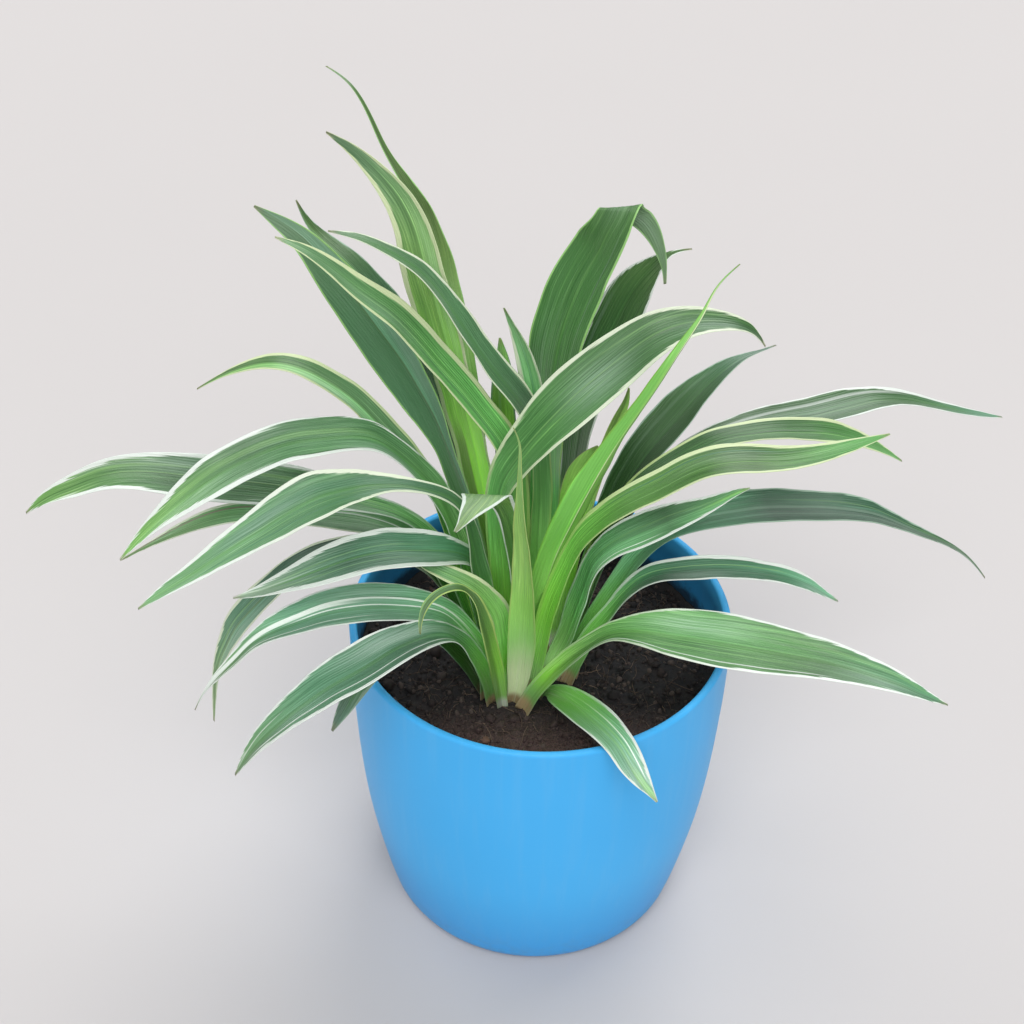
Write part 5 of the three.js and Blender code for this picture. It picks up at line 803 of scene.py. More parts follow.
        [0.16, 4.84, 117.5, 2.49, -3, 8.6, 0.4],
    ],
    "leaf_centre_back": [
        [-17.82, 23.32, 254.67, 0.5, -30.8, 5.9, 0.22],
        [-16.77, 23.69, 247.82, 2.17, -22.4, 4.5, 0.22],
        [-16.3, 23.98, 240.5, 3.48, -16.9, 2.1, 0.22],
        [-16.36, 24.13, 232.9, 4.22, -14.7, 1.4, 0.22],
        [-16.14, 24.17, 225.06, 4.61, -16.2, 2.6, 0.22],
        [-15.44, 24.15, 217.03, 4.84, -21.6, 3.6, 0.22],
        [-14.62, 24.06, 208.8, 5.02, -29.6, 3.3, 0.22],
        [-14.11, 23.89, 200.38, 5.1, -37.4, 3, 0.22],
        [-13.66, 23.66, 191.85, 5.13, -42.6, 3.5, 0.22],
        [-13.02, 23.37, 183.26, 5.23, -45, 4.7, 0.22],
        [-12.28, 22.93, 174.64, 5.29, -45.3, 6, 0.22],
        [-11.56, 22.32, 166.05, 5.13, -43.4, 7.3, 0.23],
        [-10.87, 21.54, 157.5, 4.63, -36.7, 8.6, 0.26],
        [-10.17, 20.47, 149.06, 4.06, -27.2, 9.6, 0.29],
        [-9.46, 19.07, 140.79, 3.63, -17, 11.1, 0.32],
        [-8.61, 17.19, 132.82, 3.3, -7, 14.1, 0.34],
        [-6.44, 14.8, 125.46, 2.89, 0.5, 16.9, 0.37],
        [-3.66, 11.87, 117.5, 2.54, 3.4, 18.1, 0.4],
    ],
    "leaf_right_inner": [
        [19.98, 23.04, 206.25, 0.5, -58.5, -8.7, 0.22],
        [17.98, 22.67, 202.35, 2.74, -48.8, -13, 0.22],
        [15.89, 22.23, 198.24, 4.26, -39.5, -14.4, 0.22],
        [13.92, 21.64, 193.93, 5.04, -33, -12.1, 0.22],
        [12.58, 20.92, 189.24, 5.33, -31.2, -7.4, 0.22],
        [11.74, 20.12, 184.24, 5.5, -34.3, -2.8, 0.22],
        [11.2, 19.29, 179.05, 5.73, -40.3, 0.8, 0.22],
        [10.97, 18.45, 173.68, 5.9, -47.1, 3, 0.22],
        [10.73, 17.58, 168.13, 5.99, -53.3, 4.1, 0.22],
        [10.42, 16.72, 162.43, 6, -57.8, 4.9, 0.22],
        [9.98, 15.81, 156.69, 6.09, -60.1, 6.1, 0.22],
        [9.43, 14.72, 151, 6.01, -60.2, 7.5, 0.22],
        [8.88, 13.57, 145.35, 5.46, -55.8, 8.1, 0.25],
        [8.15, 12.28, 139.76, 4.65, -46.8, 7.6, 0.28],
        [7.52, 10.84, 134.18, 3.87, -36, 6.4, 0.31],
        [7.05, 9.28, 128.56, 3.26, -26.4, 4.7, 0.34],
        [6.62, 7.62, 122.92, 2.82, -19.7, 3, 0.37],
        [6.31, 6.02, 117.5, 2.54, -17, 2.3, 0.4],
    ],
}

# ---------------------------------------------------------------- how each blade is coloured

# sRGB tints of living tissue, and the whitish green of the painted sheen, 0-255
TINT = {
    "deep": (64, 110, 56),
    "dark": (50, 88, 46),
    "shade": (42, 72, 44),
    "mid": (80, 136, 70),
    "blue": (70, 122, 88),
    "slate": (66, 104, 78),
    "fresh": (96, 158, 66),
    "leafy": (104, 150, 80),
    "lime": (122, 182, 62),
    "bright": (138, 196, 92),
    "olive": (92, 122, 60),
    "moss": (78, 104, 52),
    "pale": (156, 206, 124),
    "silver": (150, 178, 156),
    "white": (229, 237, 229),
    # whitish green laid on as painted sheen
    "painted_sheen": (184, 206, 194),
    "cream": (208, 222, 174),
    "butter": (178, 206, 114),
    "ivory": (216, 226, 200),
    "tan": (148, 128, 94),
    "rust": (140, 104, 80),
    "drab": (128, 112, 104),
    "grass": (104, 164, 76),
    "sage": (114, 160, 110),
    "misty": (104, 154, 122),
    "frost": (128, 166, 144),
    "celery": (150, 192, 92),
    "fern": (98, 150, 98),
    "ash": (134, 158, 134),
    "spring": (136, 196, 76),
    "sea": (92, 152, 108),
}

# A blade's look. a and b are its two sides: a is the side that "across" points to.
#   green: tints at the tip, the middle and near the base
#   rim: tint of the margins; a, b: margin width in mm along the blade, as (share from the tip, mm)
#   ragged: how far, in mm, pale streaks run in from the margins
#   lines: stripes, as (side at the tip, side at the base, half width mm, tint, strength, from, to); a side is -1 to 1
#   streaks: strength of fine pale and dark lengthwise streaks
#   base: tints up from the soil, each with how far up in mm it reaches; late: stripes laid over the base
#   painted sheen: washed, streaky patches of painted highlight, as (share from the tip, reach along, side, reach
#       across, strength)
#   half: tints of the two halves (b side, a side), painted shade on one half and painted sheen on the other; cool:
#       share of blue-green laid over the blade
LOOKS = {
    "leaf_tall_thread_tip": dict(painted_sheen=[(0.46, 0.14, 0.5, 0.7, 0.34)], green=("leafy", "olive", "leafy"), rim="pale", a=[(0, 0.3), (1, 0.7)], b=[(0, 0.3), (1, 0.6)], ragged=0.2, lines=[(0.1, 0.1, 0.35, "pale", 0.15, 0.2, 0.8)], streaks=0.35),
    # the moss and olive stripes along the b edge near the base of this blade are painted shade
    "leaf_tall_cream_edge": dict(cap=3.2, painted_sheen=[(0.28, 0.16, 0.5, 0.6, 0.3)], green=("sage", "bright", "lime"), rim="cream", a=[(0, 0.5), (0.2, 1.5), (0.6, 1.3), (1, 0.8)], b=[(0, 0.5), (0.2, 1.7), (0.6, 1.3), (1, 0.8)], ragged=0.45, lines=[(0.12, 0.02, 0.28, "pale", 0.38, 0.12, 0.55), (0.5, 0.5, 1.6, "pale", 0.32, 0.18, 0.6), (-0.35, -0.35, 0.3, "pale", 0.15, 0.1, 0.5), (-0.55, -0.6, 2.2, "moss", 0.8, 0.6, 0.98)], streaks=0.55, base=[("lime", 130), ("bright", 20), ("ivory", 9)], late=((-0.62, -0.66, 2.0, "olive", 0.85, 0.55, 0.98),)),
    # on this blade the dark half is painted shade; the slate half and the wide blue stripe are painted sheen
    "leaf_broad_upper_left": dict(painted_sheen=[(0.3, 0.24, 0.55, 0.6, 0.38)], half=("dark", "slate"), green=("ash", "slate", "moss"), rim="pale", a=[(0, 0.4), (0.5, 0.8), (1, 0.9)], b=[(0, 0.4), (0.5, 0.55), (1, 0.6)], ragged=0.2, lines=[(0.55, 0.5, 3.0, "blue", 0.45, 0.3, 0.85), (-0.02, 0, 0.3, "moss", 0.5, 0.1, 0.9)], streaks=0.3, painted_glint=0.8),
    "leaf_dark_upper_left": dict(green=("leafy", "slate", "dark"), rim="silver", a=[(0, 0.3), (0.5, 0.5), (1, 0.5)], b=[(0, 0.4), (0.5, 0.7), (1, 0.6)], ragged=0.4, lines=[(-0.5, -0.5, 0.4, "silver", 0.25, 0.05, 0.5)], streaks=0.35),
    "leaf_crossing_upper": dict(green=("sage", "shade", "leafy"), rim="ivory", a=[(0, 0.4), (0.2, 1.0), (0.5, 0.8), (1, 0.6)], b=[(0, 0.4), (0.2, 0.9), (0.5, 0.8), (1, 0.6)], ragged=0.35, lines=[(-0.35, -0.3, 0.22, "pale", 0.35, 0.3, 0.75), (0.0, 0.0, 0.9, "mid", 0.5, 0.05, 0.5)], streaks=0.4, rim_base="butter"),
    "leaf_arching_centre_left": dict(painted_sheen=[(0.2, 0.14, -0.3, 0.7, 0.24)], green=("sage", "deep", "fresh"), rim="cream", a=[(0, 0.5), (0.2, 2.0), (0.5, 1.4), (1, 0.9)], b=[(0, 0.4), (0.2, 1.2), (0.5, 0.9), (1, 0.8)], ragged=0.35, lines=[(-0.1, -0.12, 0.25, "pale", 0.35, 0.15, 0.6), (0.12, 0.1, 0.75, "fresh", 0.15, 0.1, 0.65), (-0.35, -0.35, 0.9, "slate", 0.35, 0.3, 0.65)], streaks=0.5, rim_base="butter"),
    "leaf_arching_centre_right": dict(painted_sheen=[(0.31, 0.11, 0.1, 1.0, 0.30), (0.12, 0.12, 0.3, 0.9, 0.2)], base=[("lime", 74), ("bright", 30), ("ivory", 9)], green=("mid", "mid", "deep"), rim="ivory", a=[(0, 0.7), (0.25, 1.5), (0.5, 1.0), (1, 0.8)], b=[(0, 0.7), (0.25, 1.2), (0.5, 1.2), (1, 0.8)], ragged=0.6, lines=[(-0.05, 0.0, 0.3, "pale", 0.28, 0.1, 0.5), (-0.55, -0.55, 0.3, "pale", 0.25, 0.08, 0.3), (0.25, 0.2, 0.3, "lime", 0.17, 0.3, 0.75)], streaks=0.6, rim_base="butter"),
    "leaf_centre_spike": dict(green=("pale", "moss", "bright"), rim="butter", a=[(0, 0.5), (0.3, 0.7), (1, 0.5)], b=[(0, 0.4), (0.3, 0.4), (1, 0.4)], ragged=0.1, lines=[(0.0, 0.0, 0.4, "pale", 0.25, 0.0, 0.6)], streaks=0.25, base=[("bright", 72), ("pale", 54), ("cream", 34), ("tan", 5)]),
    "leaf_centre_curled_tip": dict(green=("moss", "fresh", "deep"), rim="white", a=[(0, 0.7), (0.12, 1.3), (0.3, 1.2), (0.4, 0.5), (1, 0.4)], b=[(0, 0.7), (0.12, 1.3), (0.3, 1.0), (0.4, 0.4), (1, 0.4)], ragged=0.2, lines=[(0.3, 0.3, 0.3, "mid", 0.6, 0.35, 0.7), (-0.3, -0.3, 0.3, "mid", 0.5, 0.35, 0.7)], streaks=0.7, dim=0.5, base=[("lime", 46), ("pale", 26), ("ivory", 12)]),
    "leaf_left_cream_edge": dict(painted_sheen=[(0.27, 0.13, -0.5, 0.6, 0.3)], green=("leafy", "sage", "leafy"), rim="cream", a=[(0, 0.4), (0.2, 1.2), (0.6, 1.0), (1, 0.7)], b=[(0, 0.4), (0.2, 1.3), (0.6, 1.2), (1, 0.7)], ragged=0.35, lines=[(0.1, 0.1, 0.25, "pale", 0.35, 0.15, 0.7), (-0.3, -0.3, 0.25, "pale", 0.23, 0.2, 0.6), (0.0, 0.0, 0.75, "fresh", 0.14, 0.05, 0.6)], streaks=0.5, rim_base="butter"),
    "leaf_left_large": dict(painted_sheen=[(0.48, 0.13, -0.65, 0.6, 0.5), (0.15, 0.15, -0.4, 0.7, 0.3)], green=("leafy", "fern", "leafy"), rim="white", a=[(0, 0.5), (0.12, 1.5), (0.22, 1.3), (0.32, 0.5), (1, 0.4)], b=[(0, 0.5), (0.12, 1.9), (0.3, 2.1), (0.5, 1.5), (0.6, 0.7), (1, 0.4)], ragged=1.0, lines=[(0.0, 0.0, 0.75, "fresh", 0.21, 0.05, 0.75), (0.4, 0.35, 0.9, "pale", 0.25, 0.1, 0.42), (-0.78, -0.8, 0.22, "dark", 0.8, 0.2, 0.55), (0.3, 0.25, 0.2, "pale", 0.2, 0.3, 0.7)], streaks=0.7),
    # the wide blue stripe on this blade is a painted sheen band
    "leaf_left_front": dict(painted_sheen=[(0.43, 0.1, -0.6, 0.6, 0.3), (0.22, 0.13, 0.35, 0.5, 0.3)], green=("sage", "shade", "dark"), rim="ivory", a=[(0, 0.5), (0.12, 1.2), (0.4, 1.6), (0.5, 0.8), (0.6, 0.35), (1, 0.35)], b=[(0, 0.5), (0.12, 1.3), (0.45, 1.4), (0.7, 0.9), (1, 0.4)], ragged=0.5, lines=[(0.02, 0.0, 0.75, "fresh", 0.23, 0.03, 0.7), (0.4, 0.35, 1.6, "blue", 0.5, 0.15, 0.5), (-0.5, -0.5, 0.25, "blue", 0.6, 0.1, 0.6), (-0.25, -0.25, 0.2, "pale", 0.17, 0.2, 0.6)], streaks=0.55, rim_tip="white"),
    "leaf_far_left": dict(painted_sheen=[(0.3, 0.16, 0.5, 0.6, 0.3)], green=("leafy", "fern", "mid"), rim="white", a=[(0, 0.5), (0.15, 1.3), (0.4, 0.9), (1, 0.5)], b=[(0, 0.4), (0.15, 1.1), (0.4, 0.9), (1, 0.5)], ragged=1.1, lines=[(0.45, 0.35, 0.5, "pale", 0.3, 0.12, 0.6), (0.05, 0.0, 0.22, "pale", 0.3, 0.15, 0.7), (0.6, 0.5, 0.5, "silver", 0.25, 0.1, 0.4), (-0.3, -0.3, 0.4, "deep", 0.6, 0.2, 0.9)], streaks=0.7),
    "leaf_left_under": dict(painted_sheen=[(0.1, 0.1, 0.3, 0.8, 0.25)], green=("leafy", "fern", "mid"), rim="ivory", a=[(0, 0.5), (0.2, 1.1), (0.5, 0.9), (1, 0.5)], b=[(0, 0.3), (0.2, 0.6), (0.5, 0.7), (1, 0.5)], ragged=0.5, lines=[(0.62, 0.6, 0.28, "drab", 0.8, 0.02, 0.34), (0.45, 0.4, 0.3, "white", 0.7, 0.4, 0.8), (0.1, 0.1, 0.3, "leafy", 0.25, 0.1, 0.7)], streaks=0.6),
    "leaf_left_middle": dict(painted_sheen=[(0.38, 0.2, -0.5, 0.7, 0.36)], green=("ash", "blue", "deep"), rim="white", a=[(0, 0.6), (0.15, 1.6), (0.4, 1.6), (0.7, 0.8), (1, 0.6)], b=[(0, 0.6), (0.15, 1.9), (0.35, 2.7), (0.6, 1.6), (0.8, 0.9), (1, 0.6)], ragged=1.1, lines=[(0.0, 0.0, 0.3, "mid", 0.7, 0.1, 0.7), (0.35, 0.3, 0.25, "pale", 0.2, 0.1, 0.4), (-0.35, -0.3, 0.3, "pale", 0.2, 0.1, 0.4)], streaks=0.6),
    "leaf_left_short": dict(green=("sage", "leafy", "fresh"), rim="cream", a=[(0, 0.4), (0.2, 1.1), (0.6, 1.0), (1, 0.6)], b=[(0, 0.4), (0.2, 1.4), (0.6, 1.2), (1, 0.7)], ragged=0.4, lines=[(0.05, 0.0, 0.75, "fresh", 0.18, 0.1, 0.7), (-0.2, -0.2, 0.25, "pale", 0.23, 0.2, 0.7)], streaks=0.5, base=[("lime", 30), ("pale", 16)]),
    "leaf_left_small_curl": dict(green=("sage", "leafy", "fresh"), rim="butter", a=[(0, 0.4), (0.12, 0.5), (0.3, 0.7), (1, 0.5)], b=[(0, 0.6), (0.12, 1.4), (0.3, 1.3), (0.5, 0.8), (1, 0.6)], ragged=0.3, lines=[(0.35, 0.3, 0.4, "moss", 0.7, 0.05, 0.35)], streaks=0.4),
    "leaf_left_hanging": dict(painted_sheen=[(0.22, 0.16, -0.5, 0.7, 0.34)], green=("pale", "misty", "deep"), rim="ivory", a=[(0, 0.3), (0.2, 0.9), (0.5, 0.9), (1, 0.5)], b=[(0, 0.3), (0.2, 1.0), (0.4, 1.2), (1, 0.5)], ragged=0.8, lines=[(0.4, 0.4, 0.35, "pale", 0.3, 0.15, 0.6), (0.0, 0.0, 0.5, "olive", 0.5, 0.1, 0.8), (-0.45, -0.4, 0.3, "silver", 0.2, 0.2, 0.6)], streaks=0.7),
    "leaf_left_striped": dict(painted_sheen=[(0.45, 0.16, 0.5, 0.6, 0.38)], green=("leafy", "misty", "fern"), rim="white", a=[(0, 0.5), (0.15, 0.7), (0.4, 0.5), (1, 0.5)], b=[(0, 0.5), (0.15, 1.1), (0.4, 0.6), (1, 0.6)], ragged=0.6, lines=[(0.35, 0.3, 1.1, "white", 0.95, 0.02, 0.42), (0.42, 0.42, 0.42, "white", 0.9, 0.3, 0.9), (0.12, 0.06, 0.42, "white", 0.9, 0.3, 0.85), (-0.55, -0.5, 0.22, "white", 0.7, 0.05, 0.45), (0.0, -0.2, 0.75, "fresh", 0.11, 0.1, 0.6)], streaks=0.6),
    # the wide blue and silver stripes on this blade are painted sheen
    "leaf_front_left": dict(painted_sheen=[(0.46, 0.18, 0.55, 0.6, 0.42), (0.2, 0.12, -0.3, 0.5, 0.2)], green=("sage", "slate", "mid"), rim="white", a=[(0, 0.4), (0.2, 0.7), (0.6, 0.6), (1, 0.8)], b=[(0, 0.5), (0.15, 1.5), (0.5, 1.2), (0.8, 0.8), (1, 0.8)], ragged=0.7, lines=[(-0.05, -0.05, 0.75, "fresh", 0.2, 0.03, 0.7), (-0.55, -0.5, 0.25, "white", 0.75, 0.08, 0.6), (0.5, 0.45, 0.2, "white", 0.6, 0.03, 0.16), (0.4, 0.4, 2.6, "blue", 0.45, 0.25, 0.75), (0.45, 0.4, 1.6, "silver", 0.35, 0.42, 0.66)], streaks=0.5),
    "leaf_front_left_low": dict(green=("frost", "dark", "deep"), rim="silver", a=[(0, 0.4), (0.5, 0.7), (1, 0.5)], b=[(0, 0.5), (0.3, 1.3), (1, 0.6)], ragged=0.6, lines=[(-0.2, -0.2, 0.4, "mid", 0.5, 0.1, 0.7)], streaks=0.5),
    "leaf_front_right_drooping": dict(painted_sheen=[(0.12, 0.14, 0.0, 1.0, 0.35)], green=("frost", "misty", "fern"), rim="white", a=[(0, 0.5), (0.2, 0.8), (0.7, 0.6), (1, 0.5)], b=[(0, 0.5), (0.2, 1.0), (0.7, 0.8), (1, 0.5)], ragged=0.7, lines=[(-0.5, -0.45, 0.22, "white", 0.8, 0.12, 0.8), (-0.25, -0.2, 0.22, "pale", 0.3, 0.2, 0.8), (0.1, 0.1, 0.5, "pale", 0.2, 0.1, 0.6), (0.0, 0.0, 1.2, "bright", 0.5, 0.0, 0.15)], streaks=0.8),
    "leaf_right_large": dict(painted_sheen=[(0.5, 0.18, -0.5, 0.6, 0.42), (0.12, 0.14, 0.3, 0.8, 0.22)], green=("sea", "mid", "leafy"), rim="white", a=[(0, 0.5), (0.15, 1.1), (0.4, 0.9), (1, 0.6)], b=[(0, 0.5), (0.15, 0.9), (0.4, 0.6), (1, 0.8)], ragged=0.6, lines=[(0.78, 0.72, 0.2, "white", 0.75, 0.25, 0.75), (0.05, 0.05, 0.75, "fresh", 0.18, 0.08, 0.7), (0.4, 0.35, 0.25, "pale", 0.2, 0.3, 0.7), (-0.6, -0.6, 0.6, "pale", 0.17, 0.05, 0.3)], streaks=0.9, base=[("lime", 44), ("leafy", 22), ("tan", 9)], rim_base="ivory"),
    "leaf_right_low": dict(painted_sheen=[(0.45, 0.14, 0.5, 0.6, 0.34), (0.1, 0.1, 0.3, 0.9, 0.25)], green=("misty", "blue", "deep"), rim="white", a=[(0, 0.4), (0.2, 0.7), (0.7, 0.7), (1, 0.5)], b=[(0, 0.4), (0.2, 1.4), (0.6, 1.3), (0.8, 0.8), (1, 0.5)], ragged=0.7, lines=[(-0.35, -0.35, 0.25, "pale", 0.3, 0.2, 0.7), (0.25, 0.25, 0.3, "silver", 0.17, 0.2, 0.6)], streaks=0.5, base=[("fresh", 52), ("leafy", 20), ("tan", 7)]),
    # the silver stripe along the middle of this blade is painted sheen
    "leaf_far_right": dict(painted_sheen=[(0.28, 0.22, 0.3, 0.8, 0.15), (0.08, 0.1, 0.3, 1.0, 0.2)], green=("sage", "blue", "slate"), rim="silver", a=[(0, 0.3), (0.3, 0.5), (1, 0.5)], b=[(0, 0.3), (0.3, 0.7), (1, 0.5)], ragged=0.6, lines=[(-0.1, -0.1, 0.8, "silver", 0.3, 0.2, 0.7), (0.35, 0.3, 0.3, "silver", 0.25, 0.2, 0.7), (-0.5, -0.5, 0.3, "pale", 0.2, 0.15, 0.45)], streaks=0.8, base=[("fresh", 60), ("leafy", 20), ("tan", 7)]),
    "leaf_right_middle": dict(painted_sheen=[(0.5, 0.16, 0.4, 0.6, 0.36)], green=("fern", "shade", "deep"), rim="white", a=[(0, 0.5), (0.2, 1.2), (0.5, 1.1), (1, 0.7)], b=[(0, 0.4), (0.2, 1.1), (0.5, 0.7), (1, 0.5)], ragged=0.6, lines=[(0.6, 0.55, 0.28, "white", 0.8, 0.3, 0.85), (-0.3, -0.3, 0.3, "pale", 0.17, 0.1, 0.5), (0.1, 0.1, 0.8, "bright", 0.35, 0.0, 0.12)], streaks=0.6, base=[("leafy", 40), ("pale", 20), ("tan", 7)]),
    "leaf_right_upper": dict(painted_sheen=[(0.3, 0.14, -0.4, 0.6, 0.14), (0.1, 0.1, 0.0, 0.9, 0.1)], green=("mid", "grass", "fresh"), rim="cream", a=[(0, 0.4), (0.2, 0.8), (0.6, 0.9), (1, 0.7)], b=[(0, 0.5), (0.2, 1.0), (0.5, 1.5), (0.8, 0.9), (1, 0.7)], ragged=0.35, lines=[(0.1, 0.1, 0.2, "pale", 0.35, 0.2, 0.5), (-0.6, -0.6, 0.25, "blue", 0.7, 0.2, 0.5), (0.0, 0.0, 0.75, "fresh", 0.12, 0.05, 0.5)], streaks=0.55, base=[("lime", 70), ("bright", 40), ("pale", 18), ("tan", 5)], rim_base="butter"),
    "leaf_right_back": dict(painted_sheen=[(0.48, 0.13, 0.5, 0.7, 0.21)], green=("mid", "mid", "mid"), rim="cream", a=[(0, 0.4), (0.2, 0.9), (1, 0.6)], b=[(0, 0.4), (0.2, 1.1), (0.6, 0.9), (1, 0.7)], ragged=0.35, lines=[(0.15, 0.1, 0.22, "pale", 0.38, 0.15, 0.5), (-0.2, -0.2, 0.5, "mid", 0.5, 0.1, 0.6)], streaks=0.5, rim_base="butter"),
    "leaf_back_right_long": dict(painted_sheen=[(0.42, 0.22, 0.0, 1.2, 0.18)], green=("misty", "mid", "mid"), rim="white", a=[(0, 0.3), (0.25, 0.7), (1, 0.5)], b=[(0, 0.4), (0.25, 1.5), (0.38, 0.5), (1, 0.4)], ragged=0.5, lines=[(-0.75, -0.35, 0.6, "white", 0.55, 0.25, 0.62), (0.2, 0.15, 0.22, "pale", 0.35, 0.25, 0.55), (-0.1, -0.1, 0.8, "mid", 0.5, 0.1, 0.5)], streaks=0.5),
    "leaf_dark_right": dict(painted_sheen=[(0.1, 0.12, 0.3, 0.8, 0.3)], green=("misty", "mid", "shade"), rim="silver", a=[(0, 0.3), (0.5, 0.4), (1, 0.5)], b=[(0, 0.3), (0.5, 0.5), (1, 0.5)], ragged=0.4, lines=[(0.0, 0.0, 0.5, "mid", 0.4, 0.1, 0.6), (-0.6, -0.6, 0.6, "silver", 0.15, 0.15, 0.6)], streaks=0.45),
    "leaf_right_upright": dict(green=("leafy", "fresh", "bright"), rim="lime", a=[(0, 0.3), (0.4, 0.5), (1, 0.5)], b=[(0, 0.3), (0.4, 0.4), (1, 0.4)], ragged=0.1, lines=[(0.0, 0.05, 0.28, "cream", 0.8, 0.05, 0.7), (-0.55, -0.5, 2.2, "fresh", 0.75, 0.2, 0.95), (0.5, 0.5, 2.4, "bright", 0.6, 0.2, 0.95)], streaks=0.3, base=[("bright", 70), ("pale", 24), ("ivory", 12), ("tan", 3)]),
    "leaf_right_slender": dict(green=("olive", "celery", "fresh"), rim="butter", a=[(0, 0.3), (0.5, 0.5), (1, 0.4)], b=[(0, 0.2), (0.5, 0.3), (1, 0.3)], ragged=0.15, lines=[], streaks=0.3),
    "leaf_back_folded_over": dict(painted_sheen=[(0.12, 0.12, 0.0, 1.0, 0.25), (0.5, 0.2, -0.5, 0.6, 0.15)], green=("leafy", "deep", "mid"), rim="pale", a=[(0, 0.5), (0.25, 0.9), (0.5, 0.9), (1, 0.7)], b=[(0, 0.5), (0.3, 0.6), (0.6, 0.6), (1, 0.6)], ragged=0.25, lines=[(0.05, 0.05, 0.3, "leafy", 0.3, 0.2, 0.7), (0.62, 0.6, 0.25, "silver", 0.23, 0.22, 0.42), (-0.25, -0.2, 0.25, "leafy", 0.15, 0.25, 0.6)], streaks=0.5, rim_base="butter", painted_glint=0.6),
    "leaf_back_pointed": dict(green=("leafy", "deep", "deep"), rim="white", a=[(0, 0.3), (0.3, 1.0), (0.6, 0.6), (1, 0.5)], b=[(0, 0.3), (0.3, 0.9), (0.6, 0.6), (1, 0.5)], ragged=0.7, lines=[(-0.1, -0.1, 0.3, "mid", 0.5, 0.2, 0.7), (-0.72, -0.7, 0.5, "silver", 0.28, 0.2, 0.5)], streaks=0.5),
    "leaf_centre_small": dict(green=("sage", "fern", "fresh"), rim="ivory", a=[(0, 0.4), (0.3, 0.7), (1, 0.5)], b=[(0, 0.5), (0.2, 1.6), (0.4, 1.3), (1, 0.5)], ragged=0.6, lines=[(0.1, 0.1, 0.4, "blue", 0.5, 0.1, 0.5)], streaks=0.4, rim_base="butter"),
    "leaf_centre_back": dict(green=("pale", "celery", "olive"), rim="silver", a=[(0, 0.3), (0.5, 0.5), (1, 0.4)], b=[(0, 0.3), (0.5, 0.5), (1, 0.4)], ragged=0.4, lines=[(-0.3, -0.3, 0.5, "silver", 0.2, 0.05, 0.5)], streaks=0.4, rim_base="butter"),
    "leaf_right_inner": dict(green=("moss", "olive", "fresh"), rim="butter", a=[(0, 0.3), (0.5, 0.5), (1, 0.4)], b=[(0, 0.2), (0.5, 0.3), (1, 0.3)], ragged=0.2, lines=[], streaks=0.35),
}
PLAIN_BASE = [("fresh", 58), ("leafy", 24), ("tan", 6)]
INNER_BASE = [("lime", 78), ("bright", 34), ("ivory", 9)]

